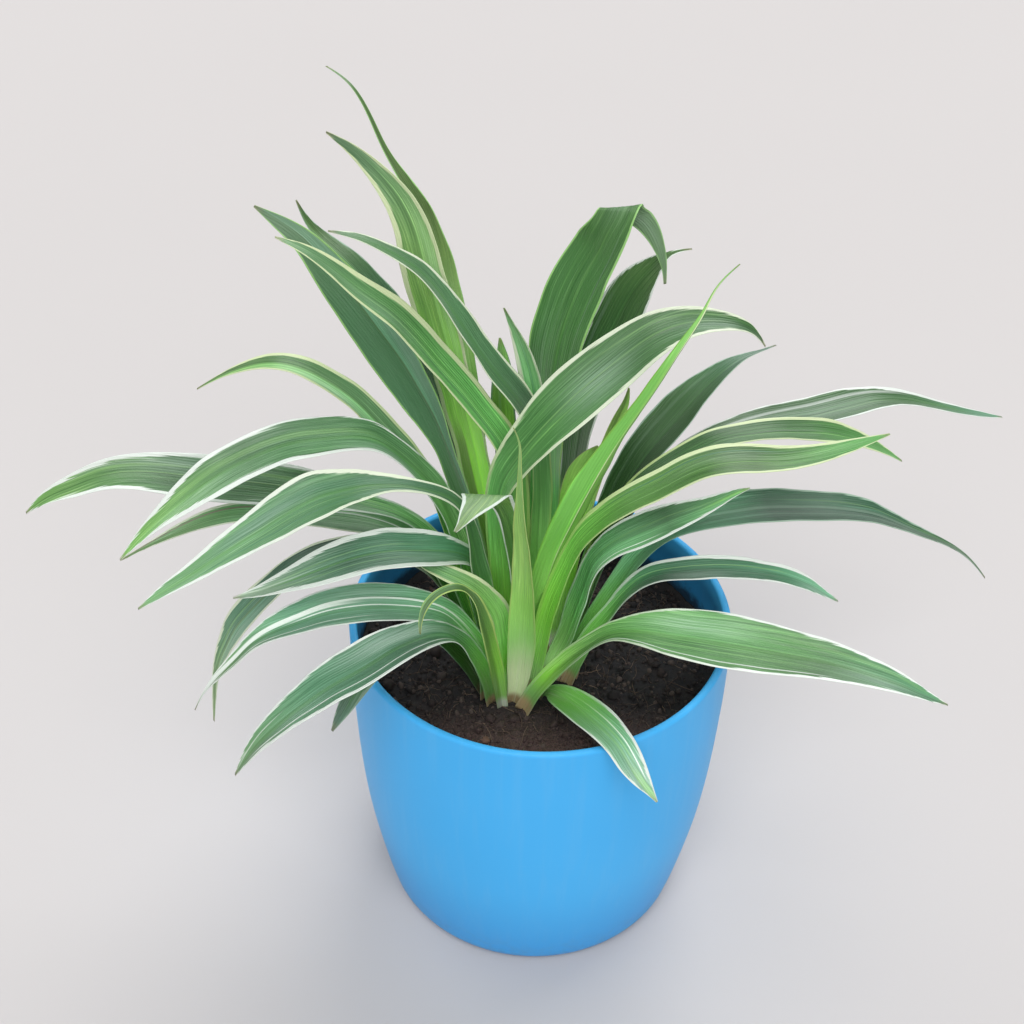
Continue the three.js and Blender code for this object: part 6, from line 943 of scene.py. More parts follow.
# Brightness from tip to base in five steps, then of the b and a halves: partly the tissue's own lightness, partly
# painted light and shade, with lit stretches and halves painted lighter, shaded ones darker, and the glow of backlit
# bases painted in.
TISSUE_AND_PAINTED_LIGHT_LEVELS = {
    "leaf_tall_thread_tip": (0.8, 0.6, 3, 3, 3, 1, 1),
    "leaf_tall_cream_edge": (0.9, 1.6, 3.5, 5, 5, 0.9, 1.2),
    "leaf_broad_upper_left": (1.2, 1.2, 1, 1.6, 1.9, 0.8, 1.5),
    "leaf_dark_upper_left": (0.8, 0.8, 0.7, 0.6, 0.6, 1.2, 0.8),
    "leaf_crossing_upper": (0.9, 0.9, 0.5, 2.6, 2.2, 1, 1),
    "leaf_arching_centre_left": (1.2, 1, 2.2, 1, 0.8, 1, 1),
    "leaf_arching_centre_right": (0.5, 0.6, 1, 3.5, 3.5, 1, 1),
    "leaf_centre_spike": (2.2, 2.6, 3, 3, 2.6, 1, 1),
    "leaf_centre_curled_tip": (1.4, 0.8, 0.9, 0.8, 0.8, 0.9, 1.1),
    "leaf_left_cream_edge": (1, 1.6, 2.2, 2.2, 2.2, 1.5, 0.65),
    "leaf_left_large": (2.2, 0.8, 1.2, 2.2, 1.9, 1.1, 0.9),
    "leaf_left_front": (1.9, 1, 0.5, 0.9, 1, 1, 1),
    "leaf_far_left": (1.6, 0.7, 1, 2.2, 3, 1, 1),
    "leaf_left_under": (1, 1.6, 1.4, 1.2, 0.6, 0.9, 1.1),
    "leaf_left_middle": (2.2, 0.6, 0.8, 0.9, 0.9, 0.9, 1.1),
    "leaf_left_short": (2.2, 1.4, 3.5, 4, 4, 1, 1),
    "leaf_left_small_curl": (1.4, 0.6, 0.8, 1.4, 1.4, 0.8, 1.5),
    "leaf_left_hanging": (1.4, 1.4, 0.5, 0.4, 0.4, 1.1, 0.8),
    "leaf_left_striped": (0.7, 1.6, 1.6, 2.6, 3, 0.9, 1.1),
    "leaf_front_left": (1.2, 1.2, 0.7, 1.6, 1.6, 0.9, 1.1),
    "leaf_front_left_low": (1.2, 0.8, 0.3, 0.3, 0.3, 1.1, 0.9),
    "leaf_front_right_drooping": (2.2, 1.9, 1.6, 1.6, 1.4, 1.1, 0.9),
    "leaf_right_large": (1, 0.7, 1.2, 1.4, 2.6, 1.2, 0.8),
    "leaf_right_low": (2.2, 0.8, 0.5, 1.4, 2.2, 1.2, 0.8),
    "leaf_far_right": (0.6, 0.4, 0.4, 2.6, 2.6, 1.2, 0.8),
    "leaf_right_middle": (2.2, 0.7, 2.2, 2.6, 0.6, 0.8, 1.2),
    "leaf_right_upper": (1.6, 0.5, 1, 3.5, 3.5, 1, 1),
    "leaf_right_back": (1.6, 0.6, 0.5, 0.3, 0.3, 0.9, 1.1),
    "leaf_back_right_long": (1.4, 0.5, 0.4, 0.6, 1.6, 1, 1),
    "leaf_dark_right": (0.7, 0.5, 0.3, 0.3, 0.3, 1.1, 0.9),
    "leaf_right_upright": (1.9, 1.9, 1.9, 1.9, 1.9, 1.5, 0.65),
    "leaf_right_slender": (2.2, 2.2, 2.6, 3.5, 3.5, 0.65, 1.5),
    "leaf_back_folded_over": (0.9, 0.7, 0.8, 2.6, 2.6, 1, 1),
    "leaf_back_pointed": (0.8, 0.6, 0.6, 0.5, 0.5, 1, 0.8),
    "leaf_centre_small": (1.4, 2.6, 3, 2.6, 2.6, 1.1, 0.9),
    "leaf_centre_back": (2.2, 2.6, 2.6, 2.6, 2.6, 0.8, 1.2),
    "leaf_right_inner": (3, 3, 3, 3, 3, 1, 1),
}

# ---------------------------------------------------------------- light levels

FRONT = 1.45
KEY = 0.85
BACK = 1.50
LOW = 0.50
LEFT = 0.50
WORLD = 0.27

# ---------------------------------------------------------------- small node-graph helper


def linear(rgb):
    out = []
    for v in rgb:
        c = v / 255.0
        out.append(c / 12.92 if c <= 0.04045 else ((c + 0.055) / 1.055) ** 2.4)
    return (*out, 1.0)


class Graph:
    """Builds one material's nodes."""

    def __init__(self, name):
        self.material = bpy.data.materials.new(name)
        self.material.use_nodes = True
        self.tree = self.material.node_tree
        self.tree.nodes.clear()
        self.out = self.tree.nodes.new("ShaderNodeOutputMaterial")
        self.shader = self.tree.nodes.new("ShaderNodeBsdfPrincipled")
        self.tree.links.new(self.shader.outputs["BSDF"], self.out.inputs["Surface"])

    def put(self, socket, value):
        if isinstance(value, bpy.types.NodeSocket):
            self.tree.links.new(value, socket)
        else:
            socket.default_value = value

    def set(self, **values):
        for key, value in values.items():
            self.put(self.shader.inputs[key.replace("_", " ")], value)

    def attribute(self, name):
        n = self.tree.nodes.new("ShaderNodeAttribute")
        n.attribute_type = "GEOMETRY"
        n.attribute_name = name
        return n.outputs["Fac"]

    def place(self):
        n = self.tree.nodes.new("ShaderNodeTexCoord")
        return n.outputs["Object"]

    def math(self, operation, a, b=0.0, c=None, clamp=False):
        n = self.tree.nodes.new("ShaderNodeMath")
        n.operation = operation
        n.use_clamp = clamp
        self.put(n.inputs[0], a)
        self.put(n.inputs[1], b)
        if c is not None:
            self.put(n.inputs[2], c)
        return n.outputs[0]

    def step(self, value, lo, hi, a=0.0, b=1.0, smooth=True):
        n = self.tree.nodes.new("ShaderNodeMapRange")
        n.interpolation_type = "SMOOTHSTEP" if smooth else "LINEAR"
        n.clamp = True
        self.put(n.inputs["Value"], value)
        n.inputs["From Min"].default_value = lo
        n.inputs["From Max"].default_value = hi
        n.inputs["To Min"].default_value = a
        n.inputs["To Max"].default_value = b
        return n.outputs["Result"]

    def xyz(self, x, y, z):
        n = self.tree.nodes.new("ShaderNodeCombineXYZ")
        for socket, value in zip(n.inputs, (x, y, z)):
            self.put(socket, value)
        return n.outputs[0]

    def split(self, vector):
        n = self.tree.nodes.new("ShaderNodeSeparateXYZ")
        self.put(n.inputs[0], vector)
        return n.outputs

    def scale(self, vector, by):
        n = self.tree.nodes.new("ShaderNodeMapping")
        self.put(n.inputs["Vector"], vector)
        n.inputs["Scale"].default_value = by
        return n.outputs[0]

    def noise(self, vector, scale=1.0, detail=2.0, rough=0.5, warp=0.0):
        n = self.tree.nodes.new("ShaderNodeTexNoise")
        n.noise_dimensions = "3D"
        self.put(n.inputs["Vector"], vector)
        n.inputs["Scale"].default_value = scale
        n.inputs["Detail"].default_value = detail
        n.inputs["Roughness"].default_value = rough
        n.inputs["Distortion"].default_value = warp
        return n.outputs["Fac"]

    def cells(self, vector, scale, feature="F1", output="Distance"):
        n = self.tree.nodes.new("ShaderNodeTexVoronoi")
        n.feature = feature
        self.put(n.inputs["Vector"], vector)
        n.inputs["Scale"].default_value = scale
        return n.outputs[output]

    def mix(self, share, a, b, blend="MIX"):
        n = self.tree.nodes.new("ShaderNodeMix")
        n.data_type = "RGBA"
        n.blend_type = blend
        n.clamp_factor = True
        self.put(n.inputs["Factor"], share)
        self.put([s for s in n.inputs if s.name == "A" and s.type == "RGBA"][0], a)
        self.put([s for s in n.inputs if s.name == "B" and s.type == "RGBA"][0], b)
        return [s for s in n.outputs if s.type == "RGBA"][0]

    def bump(self, height, strength, distance):
        n = self.tree.nodes.new("ShaderNodeBump")
        n.inputs["Strength"].default_value = strength
        n.inputs["Distance"].default_value = distance
        self.put(n.inputs["Height"], height)
        return n.outputs["Normal"]


def tint(name, gain=1.0):
    r, g, b, _ = linear(TINT[name])
    return (min(r * gain, 0.95), min(g * gain, 0.95), min(b * gain, 0.95), 1.0)


def brightness(name):
    r, g, b, _ = linear(TINT[name])
    return 0.25 * r + 0.65 * g + 0.10 * b


def hue(name):
    """The tint at an even brightness, so that TISSUE_AND_PAINTED_LIGHT_LEVELS alone sets how light the blade is."""
    return tint(name, 0.20 / brightness(name))


# ---------------------------------------------------------------- meshes from arrays


def mesh_piece(name, points, quads, tris=(), smooth=True, floats=None, uv=None):
    """points in mm. floats: attribute name -> one number a point. uv: one pair a corner, quads first."""
    mesh = bpy.data.meshes.new(name)
    points = np.asarray(points, np.float64) * MM
    quads = np.asarray(quads, np.int64).reshape(-1, 4)
    tris = np.asarray(tris, np.int64).reshape(-1, 3)
    loops = np.concatenate([quads.ravel(), tris.ravel()])
    starts = np.concatenate([np.arange(len(quads)) * 4, len(quads) * 4 + np.arange(len(tris)) * 3])
    mesh.vertices.add(len(points))
    mesh.vertices.foreach_set("co", points.astype(np.float32).ravel())
    mesh.loops.add(len(loops))
    mesh.loops.foreach_set("vertex_index", loops.astype(np.int32))
    mesh.polygons.add(len(starts))
    mesh.polygons.foreach_set("loop_start", starts.astype(np.int32))
    mesh.update(calc_edges=True)
    mesh.validate()
    mesh.polygons.foreach_set("use_smooth", np.full(len(starts), smooth, dtype=bool))
    for key, values in (floats or {}).items():
        layer = mesh.attributes.new(key, "FLOAT", "POINT")
        layer.data.foreach_set("value", np.asarray(values, np.float32))
    if uv is not None:
        layer = mesh.uv_layers.new(name="OFBake", do_init=False)
        layer.data.foreach_set("uv", np.asarray(uv, np.float32).ravel())
    mesh.update()
    piece = bpy.data.objects.new(name, mesh)
    bpy.context.scene.collection.objects.link(piece)
    return piece


def spline(x, y, at):
    """Natural cubic through the points (x, y); y may have several columns."""
    x = np.asarray(x, float)
    y = np.asarray(y, float).reshape(len(x), -1)
    n = len(x)
    h = np.diff(x)
    A = np.zeros((n, n))
    B = np.zeros((n, y.shape[1]))
    A[0, 0] = A[-1, -1] = 1.0
    for i in range(1, n - 1):
        A[i, i - 1], A[i, i], A[i, i + 1] = h[i - 1], 2 * (h[i - 1] + h[i]), h[i]
        B[i] = 3 * ((y[i + 1] - y[i]) / h[i] - (y[i] - y[i - 1]) / h[i - 1])
    c = np.linalg.solve(A, B)
    b = (y[1:] - y[:-1]) / h[:, None] - h[:, None] * (2 * c[:-1] + c[1:]) / 3
    d = (c[1:] - c[:-1]) / (3 * h[:, None])
    k = np.clip(np.searchsorted(x, at, side="right") - 1, 0, n - 2)
    t = (at - x[k])[:, None]
    return y[k] + b[k] * t + c[k] * t**2 + d[k] * t**3


def steady(x, y, at):
    """Cubic through the points that doesn't overshoot them."""
    x, y = np.asarray(x, float), np.asarray(y, float)
    h = np.diff(x)
    s = np.diff(y) / h
    m = np.zeros(len(x))
    for i in range(1, len(x) - 1):
        if s[i - 1] * s[i] > 0:
            w1, w2 = 2 * h[i] + h[i - 1], h[i] + 2 * h[i - 1]
            m[i] = (w1 + w2) / (w1 / s[i - 1] + w2 / s[i])
    m[0], m[-1] = s[0], s[-1]
    k = np.clip(np.searchsorted(x, at, side="right") - 1, 0, len(x) - 2)
    t = (at - x[k]) / h[k]
    return (
        (2 * t**3 - 3 * t**2 + 1) * y[k]
        + (t**3 - 2 * t**2 + t) * h[k] * m[k]
        + (-2 * t**3 + 3 * t**2) * y[k + 1]
        + (t**3 - t**2) * h[k] * m[k + 1]
    )


def unit(v):
    return v / np.maximum(np.linalg.norm(v, axis=-1, keepdims=True), 1e-12)


# ---------------------------------------------------------------- leaves

COLUMNS = np.concatenate([[-1.0, -0.97], np.linspace(-0.93, 0.93, 37), [0.97, 1.0]])
ROOT_DEPTH = 2.6  # how far a blade's base goes into the potting mix, mm
MIDRIB_THICKNESS = 0.56
EDGE_THICKNESS = 0.30
FOLD_ROUND = 0.24  # how rounded the fold at the midrib is, as a share of the half width


def leaf_piece(name, rows, look, index):
    rng = np.random.default_rng(1000 + index)
    R = np.array(rows, float)
    mid, half, keel = R[:, :3], R[:, 3], R[:, 6]
    az, el = np.radians(R[:, 4]), np.radians(R[:, 5])
    across = np.stack([np.cos(el) * np.cos(az), np.cos(el) * np.sin(az), np.sin(el)], 1)
    s = np.concatenate([[0.0], np.cumsum(np.linalg.norm(np.diff(mid, axis=0), axis=1))])
    length = s[-1]
    # the base runs on a little way into the soil
    down = unit(mid[-1] - mid[-2])
    if down[2] > -0.3:
        down = unit(np.array([down[0], down[1], -0.6]))
    s = np.append(s, length + ROOT_DEPTH)
    mid = np.vstack([mid, mid[-1] + down * ROOT_DEPTH])
    half, keel, across = np.append(half, half[-1] * 0.97), np.append(keel, keel[-1]), np.vstack([across, across[-1]])
    count = int(np.clip(round(length / 1.9), 56, 132))
    at = np.concatenate([np.linspace(0, length, count) ** 1.0, [length + ROOT_DEPTH]])
    # closer rows near the tip, where the outline turns fastest
    at[:-1] = length * (np.linspace(0, 1, count) ** 1.15)
    M = spline(s, mid, at)
    W = np.maximum(steady(s, half, at), 0.12)
    K = np.interp(at, s, keel)
    A = unit(spline(s, across, at))
    along = unit(np.gradient(M, at, axis=0))
    up = unit(np.cross(along, A))
    t = np.clip(at / length, 0, 1)
    u = COLUMNS[None, :]
    w = W[:, None]
    # rounded fold, then the soft swell of each half
    e = FOLD_ROUND
    fold = (np.sqrt(u**2 + e**2) - e) / (math.sqrt(1 + e**2) - e)
    lift = w * K[:, None] * fold
    swell = look.get("swell", 0.035)
    lift = lift - np.clip(K[:, None] / 0.15, -1, 1) * w * swell * np.sin(np.pi * np.abs(u)) * np.clip(t * 4, 0, 1)[:, None]
    # lengthwise ribs of the parallel veins, fading out at the margins and the tip
    body = np.clip(w / 5.0, 0, 1) * (1 - np.abs(u) ** 6)
    rib = np.cos(u * 9.0 * np.pi) * 0.035 + np.cos(u * 5.0 * np.pi + 0.7) * 0.03
    lift = lift + rib * body
    # slow unevenness: margins wave gently, each side by itself
    phase = rng.uniform(0, 2 * np.pi, 6)
    wave = rng.uniform(26, 46, 6)
    reach = np.clip(t * 5, 0, 1) * np.clip((1 - t) * 4, 0, 1) * np.clip(W / 8, 0, 1.1)
    for side, k in ((1, 0), (-1, 2)):
        edge = np.clip(side * u, 0, 1) ** 2.2
        ripple = 0.18 * np.sin(2 * np.pi * at / wave[k] + phase[k]) + 0.08 * np.sin(2 * np.pi * at / (wave[k + 1] * 0.43) + phase[k + 1])
        lift = lift + edge * (ripple * reach)[:, None]
    dent = 0.10 * np.sin(2 * np.pi * at / (wave[4] * 0.6) + phase[4])[:, None] * np.cos(u * 2.2 + phase[5]) * reach[:, None]
    lift = lift + dent
    centre = M[:, None, :] + A[:, None, :] * (u * w)[:, :, None] + up[:, None, :] * lift[:, :, None]
    # the sheet's own normal, for its thickness
    du = np.gradient(centre, axis=1)
    dv = np.gradient(centre, axis=0)
    face = unit(np.cross(dv, du))
    face = face * np.sign((face * up[:, None, :]).sum(-1, keepdims=True) + 1e-12)
    taper = np.clip(0.45 + 0.55 * at / (0.10 * length), 0.45, 1)[:, None]
    thick = (MIDRIB_THICKNESS + (EDGE_THICKNESS - MIDRIB_THICKNESS) * np.abs(u) ** 0.8) * taper * np.clip(0.75 + 0.6 * t[:, None], 0.75, 1.25)
    thick = np.minimum(thick, np.maximum(w * 0.9, 0.16))
    top = centre + face * (thick / 2)[:, :, None]
    low = centre - face * (thick / 2)[:, :, None]
    n, c = top.shape[:2]
    outer = thick[:, [0, -1]] * 0.42
    side_a = centre[:, -1] + A * outer[:, 1:]
    side_b = centre[:, 0] - A * outer[:, :1]
    # ring order round the section: top from -1 to 1, edge a, under from 1 to -1, edge b
    ring = np.concatenate([top, side_a[:, None], low[:, ::-1], side_b[:, None]], axis=1)
    m = ring.shape[1]
    points = ring.reshape(-1, 3)
    i = np.arange(n - 1)[:, None] * m
    j = np.arange(m)[None, :]
    k = (j + 1) % m
    quads = np.stack([i + j, i + k, i + m + k, i + m + j], -1).reshape(-1, 4)
    # end caps: join the two faces across
    caps = []
    for row, flip in ((0, False), (n - 1, True)):
        o = row * m
        upper = o + np.arange(c)
        under = o + c + 1 + (c - 1 - np.arange(c))
        for q in range(c - 1):
            f = [upper[q], under[q], under[q + 1], upper[q + 1]]
            caps.append(f[::-1] if flip else f)
    a_edge = [(0 * m + c - 1, 0 * m + c + 1, 0 * m + c), ((n - 1) * m + c - 1, (n - 1) * m + c, (n - 1) * m + c + 1)]
    b_edge = [(0 * m + 0, 0 * m + m - 1, 0 * m + 2 * c), ((n - 1) * m + 0, (n - 1) * m + 2 * c, (n - 1) * m + m - 1)]
    tris = a_edge + b_edge
    quads = np.vstack([quads, np.array(caps)])
    # which way round: test one face against up
    a, b, d = points[quads[5 * m + c // 2][:3]]
    if np.dot(np.cross(b - a, d - b), up[5]) < 0:
        quads = quads[:, ::-1]
        tris = [x[::-1] for x in tris]
    # numbers for the material
    U = np.concatenate([COLUMNS, [1.0], COLUMNS[::-1], [-1.0]])
    under = np.concatenate([np.zeros(c), [0.5], np.ones(c), [0.5]])
    UU = np.tile(U, (n, 1))
    WW = np.tile(W[:, None], (1, m))
    SS = np.tile(at[:, None], (1, m))
    TT = np.tile(t[:, None], (1, m))
    width = {side: np.interp(t, *zip(*look[side])) for side in "ab"}
    squeeze = np.clip(W / 4.0, 0.25, 1) * (1.04 if look["rim"] in ("cream", "butter") else 0.90)
    floats = {
        "lf_x": UU * WW,
        "lf_s": SS,
        "lf_t": TT,
        "lf_up": length - SS,
        "lf_a": (1 - UU) * WW - (width["a"] * squeeze)[:, None],
        "lf_b": (1 + UU) * WW - (width["b"] * squeeze)[:, None],
        "lf_under": np.tile(under, (n, 1)),
        "lf_u": UU,
    }
    for q, (u0, u1, *_rest) in enumerate([*look["lines"], *look.get("late", ())]):
        floats[f"lf_l{q}"] = (UU - (u0 + (u1 - u0) * TT)) * WW
    floats = {key: value.ravel() for key, value in floats.items()}
    # bake map: the upper side on the left, the under side on the right
    col_uv = np.concatenate([0.01 + 0.48 * np.arange(c) / (c - 1), [0.4925], 0.51 + 0.48 * np.arange(c) / (c - 1), [0.9925]])
    row_uv = 0.01 + 0.975 * np.arange(n) / (n - 1)
    corner = []
    order = quads[: (n - 1) * m]
    col = order % m
    row = order // m
    uu = col_uv[col]
    wrap = (col.max(1) == m - 1) & (col.min(1) == 0)
    uu[wrap] = np.where(col[wrap] == 0, 0.9965, uu[wrap])
    corner.append(np.stack([uu, row_uv[row]], -1).reshape(-1, 2))
    extra = quads[(n - 1) * m :]
    strip = np.zeros((len(extra), 4, 2))
    for q in range(len(extra)):
        x0 = 0.01 + 0.97 * (q / len(extra))
        x1 = x0 + 0.97 / len(extra)
        strip[q] = [(x0, 0.9885), (x0, 0.9935), (x1, 0.9935), (x1, 0.9885)]
    corner.append(strip.reshape(-1, 2))
    flat = np.zeros((len(tris), 3, 2))
    for q in range(len(tris)):
        x0 = 0.01 + 0.2 * q
        flat[q] = [(x0, 0.9955), (x0 + 0.05, 0.9955), (x0 + 0.05, 0.9985)]
    corner.append(flat.reshape(-1, 2))
    return mesh_piece(name, points, quads, tris, True, floats, np.vstack(corner))


def leaf_material(node, look, index):
    g = Graph("green_" + node[5:])
    x = g.attribute("lf_x")
    s = g.attribute("lf_s")
    t = g.attribute("lf_t")
    up = g.attribute("lf_up")
    under = g.attribute("lf_under")
    seed = 7.3 * index
    # coordinates drawn out along the blade: 1 unit is 1 mm across
    fine = g.noise(g.xyz(g.math("MULTIPLY", x, 2.6), g.math("MULTIPLY", s, 0.035), seed), 1.0, 2.0, 0.6)
    broad = g.noise(g.xyz(g.math("MULTIPLY", x, 0.75), g.math("MULTIPLY", s, 0.016), seed + 40), 1.0, 3.0, 0.6)
    torn = g.noise(g.xyz(g.math("MULTIPLY", x, 1.9), g.math("MULTIPLY", s, 0.028), seed + 90), 1.0, 2.0, 0.55)
    blotch = g.noise(g.xyz(g.math("MULTIPLY", x, 0.16), g.math("MULTIPLY", s, 0.045), seed + 15), 1.0, 2.0, 0.5)
    tip, middle, low = look["green"]
    colour = g.mix(g.step(t, 0.02, 0.32), hue(tip), hue(middle))
    colour = g.mix(g.step(t, 0.45, 0.85), colour, hue(low))
    k = min(1.0, 0.12 + 1.3 * look["streaks"])

    def vary(colour, share, by):
        return g.mix(share, colour, g.mix(1.0, colour, (*by, 1.0), "MULTIPLY"))

    colour = vary(colour, g.step(blotch, 0.35, 0.75, 0.0, 0.45), (0.74, 0.80, 0.78))
    colour = vary(colour, g.step(broad, 0.52, 0.72, 0.0, 0.80 * k), (1.66, 1.46, 1.54))
    colour = vary(colour, g.step(fine, 0.54, 0.70, 0.0, 0.75 * k), (2.2, 1.72, 2.15))
    colour = vary(colour, g.step(fine, 0.46, 0.30, 0.0, 0.75 * k), (0.48, 0.58, 0.52))
    colour = vary(colour, g.step(broad, 0.47, 0.27, 0.0, 0.75 * k), (0.56, 0.68, 0.62))
    # painted shade on one half of the blade and painted sheen on the other
    if "half" in look:
        b_half, a_half = look["half"]
        side = g.step(g.math("ADD", x, g.math("MULTIPLY", g.math("SUBTRACT", torn, 0.5), 0.8)), -0.6, 0.6)
        colour = g.mix(0.4, colour, g.mix(side, hue(b_half), hue(a_half)))
    # brightness along the blade, and of its two halves: partly tissue tone, partly painted light and shade
    *levels, b_side, a_side = TISSUE_AND_PAINTED_LIGHT_LEVELS.get(node, (1.0,) * 7)
    level = levels[0]
    for q, high in enumerate(levels[1:]):
        level = g.math("MULTIPLY", level, g.step(t, q / 4, (q + 1) / 4, 1.0, high / levels[q], smooth=False))
    level = g.math("MULTIPLY", level, g.step(x, -0.7, 0.7, b_side, a_side))
    # the stripes and the pale base tints take on the same painted light and shade
    partly = g.math("MINIMUM", g.math("ADD", 0.55, g.math("MULTIPLY", level, 0.45)), 1.5)
    soft = g.math("MINIMUM", g.math("MULTIPLY", level, 0.20 / brightness(low)), look.get("cap", 1.75))

    def lit(colour, by):
        return g.mix(1.0, colour, g.xyz(by, by, by), "MULTIPLY")

    colour = lit(colour, level)
    # painted shade: a faint dark line along the midrib crease
    rib = g.step(g.math("ABSOLUTE", x), 0.45, 0.0)
    colour = vary(colour, g.math("MULTIPLY", rib, 0.45), (0.62, 0.66, 0.58))

    def stripe(q, colour, line):
        u0, u1, hw, tone, strength, t0, t1 = line
        off = g.math("ABSOLUTE", g.attribute(f"lf_l{q}"))
        off = g.math("ADD", off, g.math("MULTIPLY", g.math("SUBTRACT", torn, 0.5), 0.9 * min(hw, 0.7)))
        soft = 0.10 if hw < 0.6 else 0.35
        mask = g.step(off, hw + soft, max(hw - soft, 0.0))
        run = g.math("MULTIPLY", g.step(t, t0 - 0.04, t0 + 0.04), g.step(t, t1 + 0.06, t1 - 0.05))
        return g.mix(g.math("MULTIPLY", g.math("MULTIPLY", mask, run), strength), colour, lit(tint(tone), partly))

    for q, line in enumerate(look["lines"]):
        colour = stripe(q, colour, line)
    # painted sheen: washed, streaky pale patches painted where the waxy surface turns toward the lights
    for t_at, t_reach, u_at, u_reach, share in look.get("painted_sheen", ()):
        u = g.attribute("lf_u")
        near = g.math("MULTIPLY", g.step(g.math("ABSOLUTE", g.math("SUBTRACT", t, t_at)), t_reach, 0.0), g.step(g.math("ABSOLUTE", g.math("SUBTRACT", u, u_at)), u_reach, 0.0))
        near = g.math("MULTIPLY", near, g.math("ADD", 0.35, g.math("MULTIPLY", g.step(fine, 0.35, 0.62), 0.65)))
        colour = g.mix(g.math("MULTIPLY", near, share), colour, tint("painted_sheen"))
    # pale margins with a torn inner edge
    rim = tint(look["rim"])
    if "rim_base" in look:
        rim = g.mix(g.step(t, 0.35, 0.75), tint(look["rim"]), tint(look["rim_base"]))
    if "rim_tip" in look:
        rim = g.mix(g.step(t, 0.42, 0.12), rim, tint(look["rim_tip"]))
    rag = look["ragged"]
    masks = []
    for side in ("a", "b"):
        d = g.attribute(f"lf_{side}")
        d = g.math("SUBTRACT", d, g.math("MULTIPLY", g.math("SUBTRACT", torn, 0.47), 2.6 * rag))
        masks.append(g.step(d, 0.16, -0.16))
        if rag > 0.3:
            inner = g.math("SUBTRACT", g.attribute(f"lf_{side}"), g.math("MULTIPLY", g.math("SUBTRACT", broad, 0.5), 9.0 * rag))
            masks[-1] = g.math("MAXIMUM", masks[-1], g.math("MULTIPLY", g.step(inner, 0.4, -0.8), g.step(fine, 0.50, 0.62, 0.0, 0.62)))
    mask = g.math("MAXIMUM", masks[0], masks[1])
    # base: pale tissue up from the soil, which the margins fade into
    base = look.get("base", INNER_BASE if look["rim"] in ("cream", "butter") else PLAIN_BASE)
    mask = g.math("MULTIPLY", mask, g.step(up, 6.0, 58.0, 0.18, 1.0))
    mask = g.math("MULTIPLY", mask, g.step(t, 0.42, 0.78, 1.0, 0.40))
    for tone, high in base:
        share = g.step(up, high * 1.25, high * 0.45)
        share = g.math("MULTIPLY", share, g.step(broad, 0.2, 0.6, 0.72, 1.0))
        colour = g.mix(share, colour, lit(tint(tone), soft))
    colour = g.mix(g.step(fine, 0.5, 0.7, 0.0, 0.25), colour, g.mix(g.step(up, 60.0, 5.0), colour, tint("ivory")))
    for q, line in enumerate(look.get("late", ())):
        colour = stripe(q + len(look["lines"]), colour, line)
    if look.get("cool"):
        colour = g.mix(look["cool"], colour, tint("blue"))
    colour = g.mix(mask, colour, rim)
    # the very tip dries a little
    colour = g.mix(g.step(s, 5.0, 0.0, 0.0, look.get("dry", 0.45)), colour, tint("tan", 0.9))
    # under side: duller and paler
    colour = g.mix(g.math("MULTIPLY", under, 0.30), colour, tint("silver", 0.75))
    # minute pale specks, strongest on the sheeny blades: painted glints in the sheen
    painted_glint = g.cells(g.place(), 520.0)
    colour = g.mix(g.step(painted_glint, 0.05, 0.02, 0.0, 0.35 * look.get("painted_glint", 0.3)), colour, tint("ivory"))
    rough = g.step(fine, 0.3, 0.7, 0.28, 0.42, smooth=False)
    rough = g.math("ADD", rough, g.math("MULTIPLY", under, 0.12))
    rough = g.math("ADD", rough, g.math("MULTIPLY", g.noise(g.place(), 900.0, 2.0), 0.08))
    veins = g.math("SINE", g.math("MULTIPLY", x, 6.8))
    grain = g.noise(g.xyz(g.math("MULTIPLY", x, 5.0), g.math("MULTIPLY", s, 0.9), seed + 5), 1.0, 2.0, 0.6)
    height = g.math("ADD", g.math("MULTIPLY", veins, 0.35), g.math("MULTIPLY", fine, 0.9))
    height = g.math("ADD", height, g.math("MULTIPLY", grain, 0.55))
    g.set(Base_Color=colour, Roughness=rough, Normal=g.bump(height, 0.6, 0.00020))
    g.shader.inputs["Specular IOR Level"].default_value = 0.5
    g.shader.inputs["Coat Weight"].default_value = 0.20
    g.shader.inputs["Coat Roughness"].default_value = 0.26
    return g.material


# ---------------------------------------------------------------- pot


def outer_radius(z):
    return float(np.interp(z, *zip(*OUTER_WALL)))


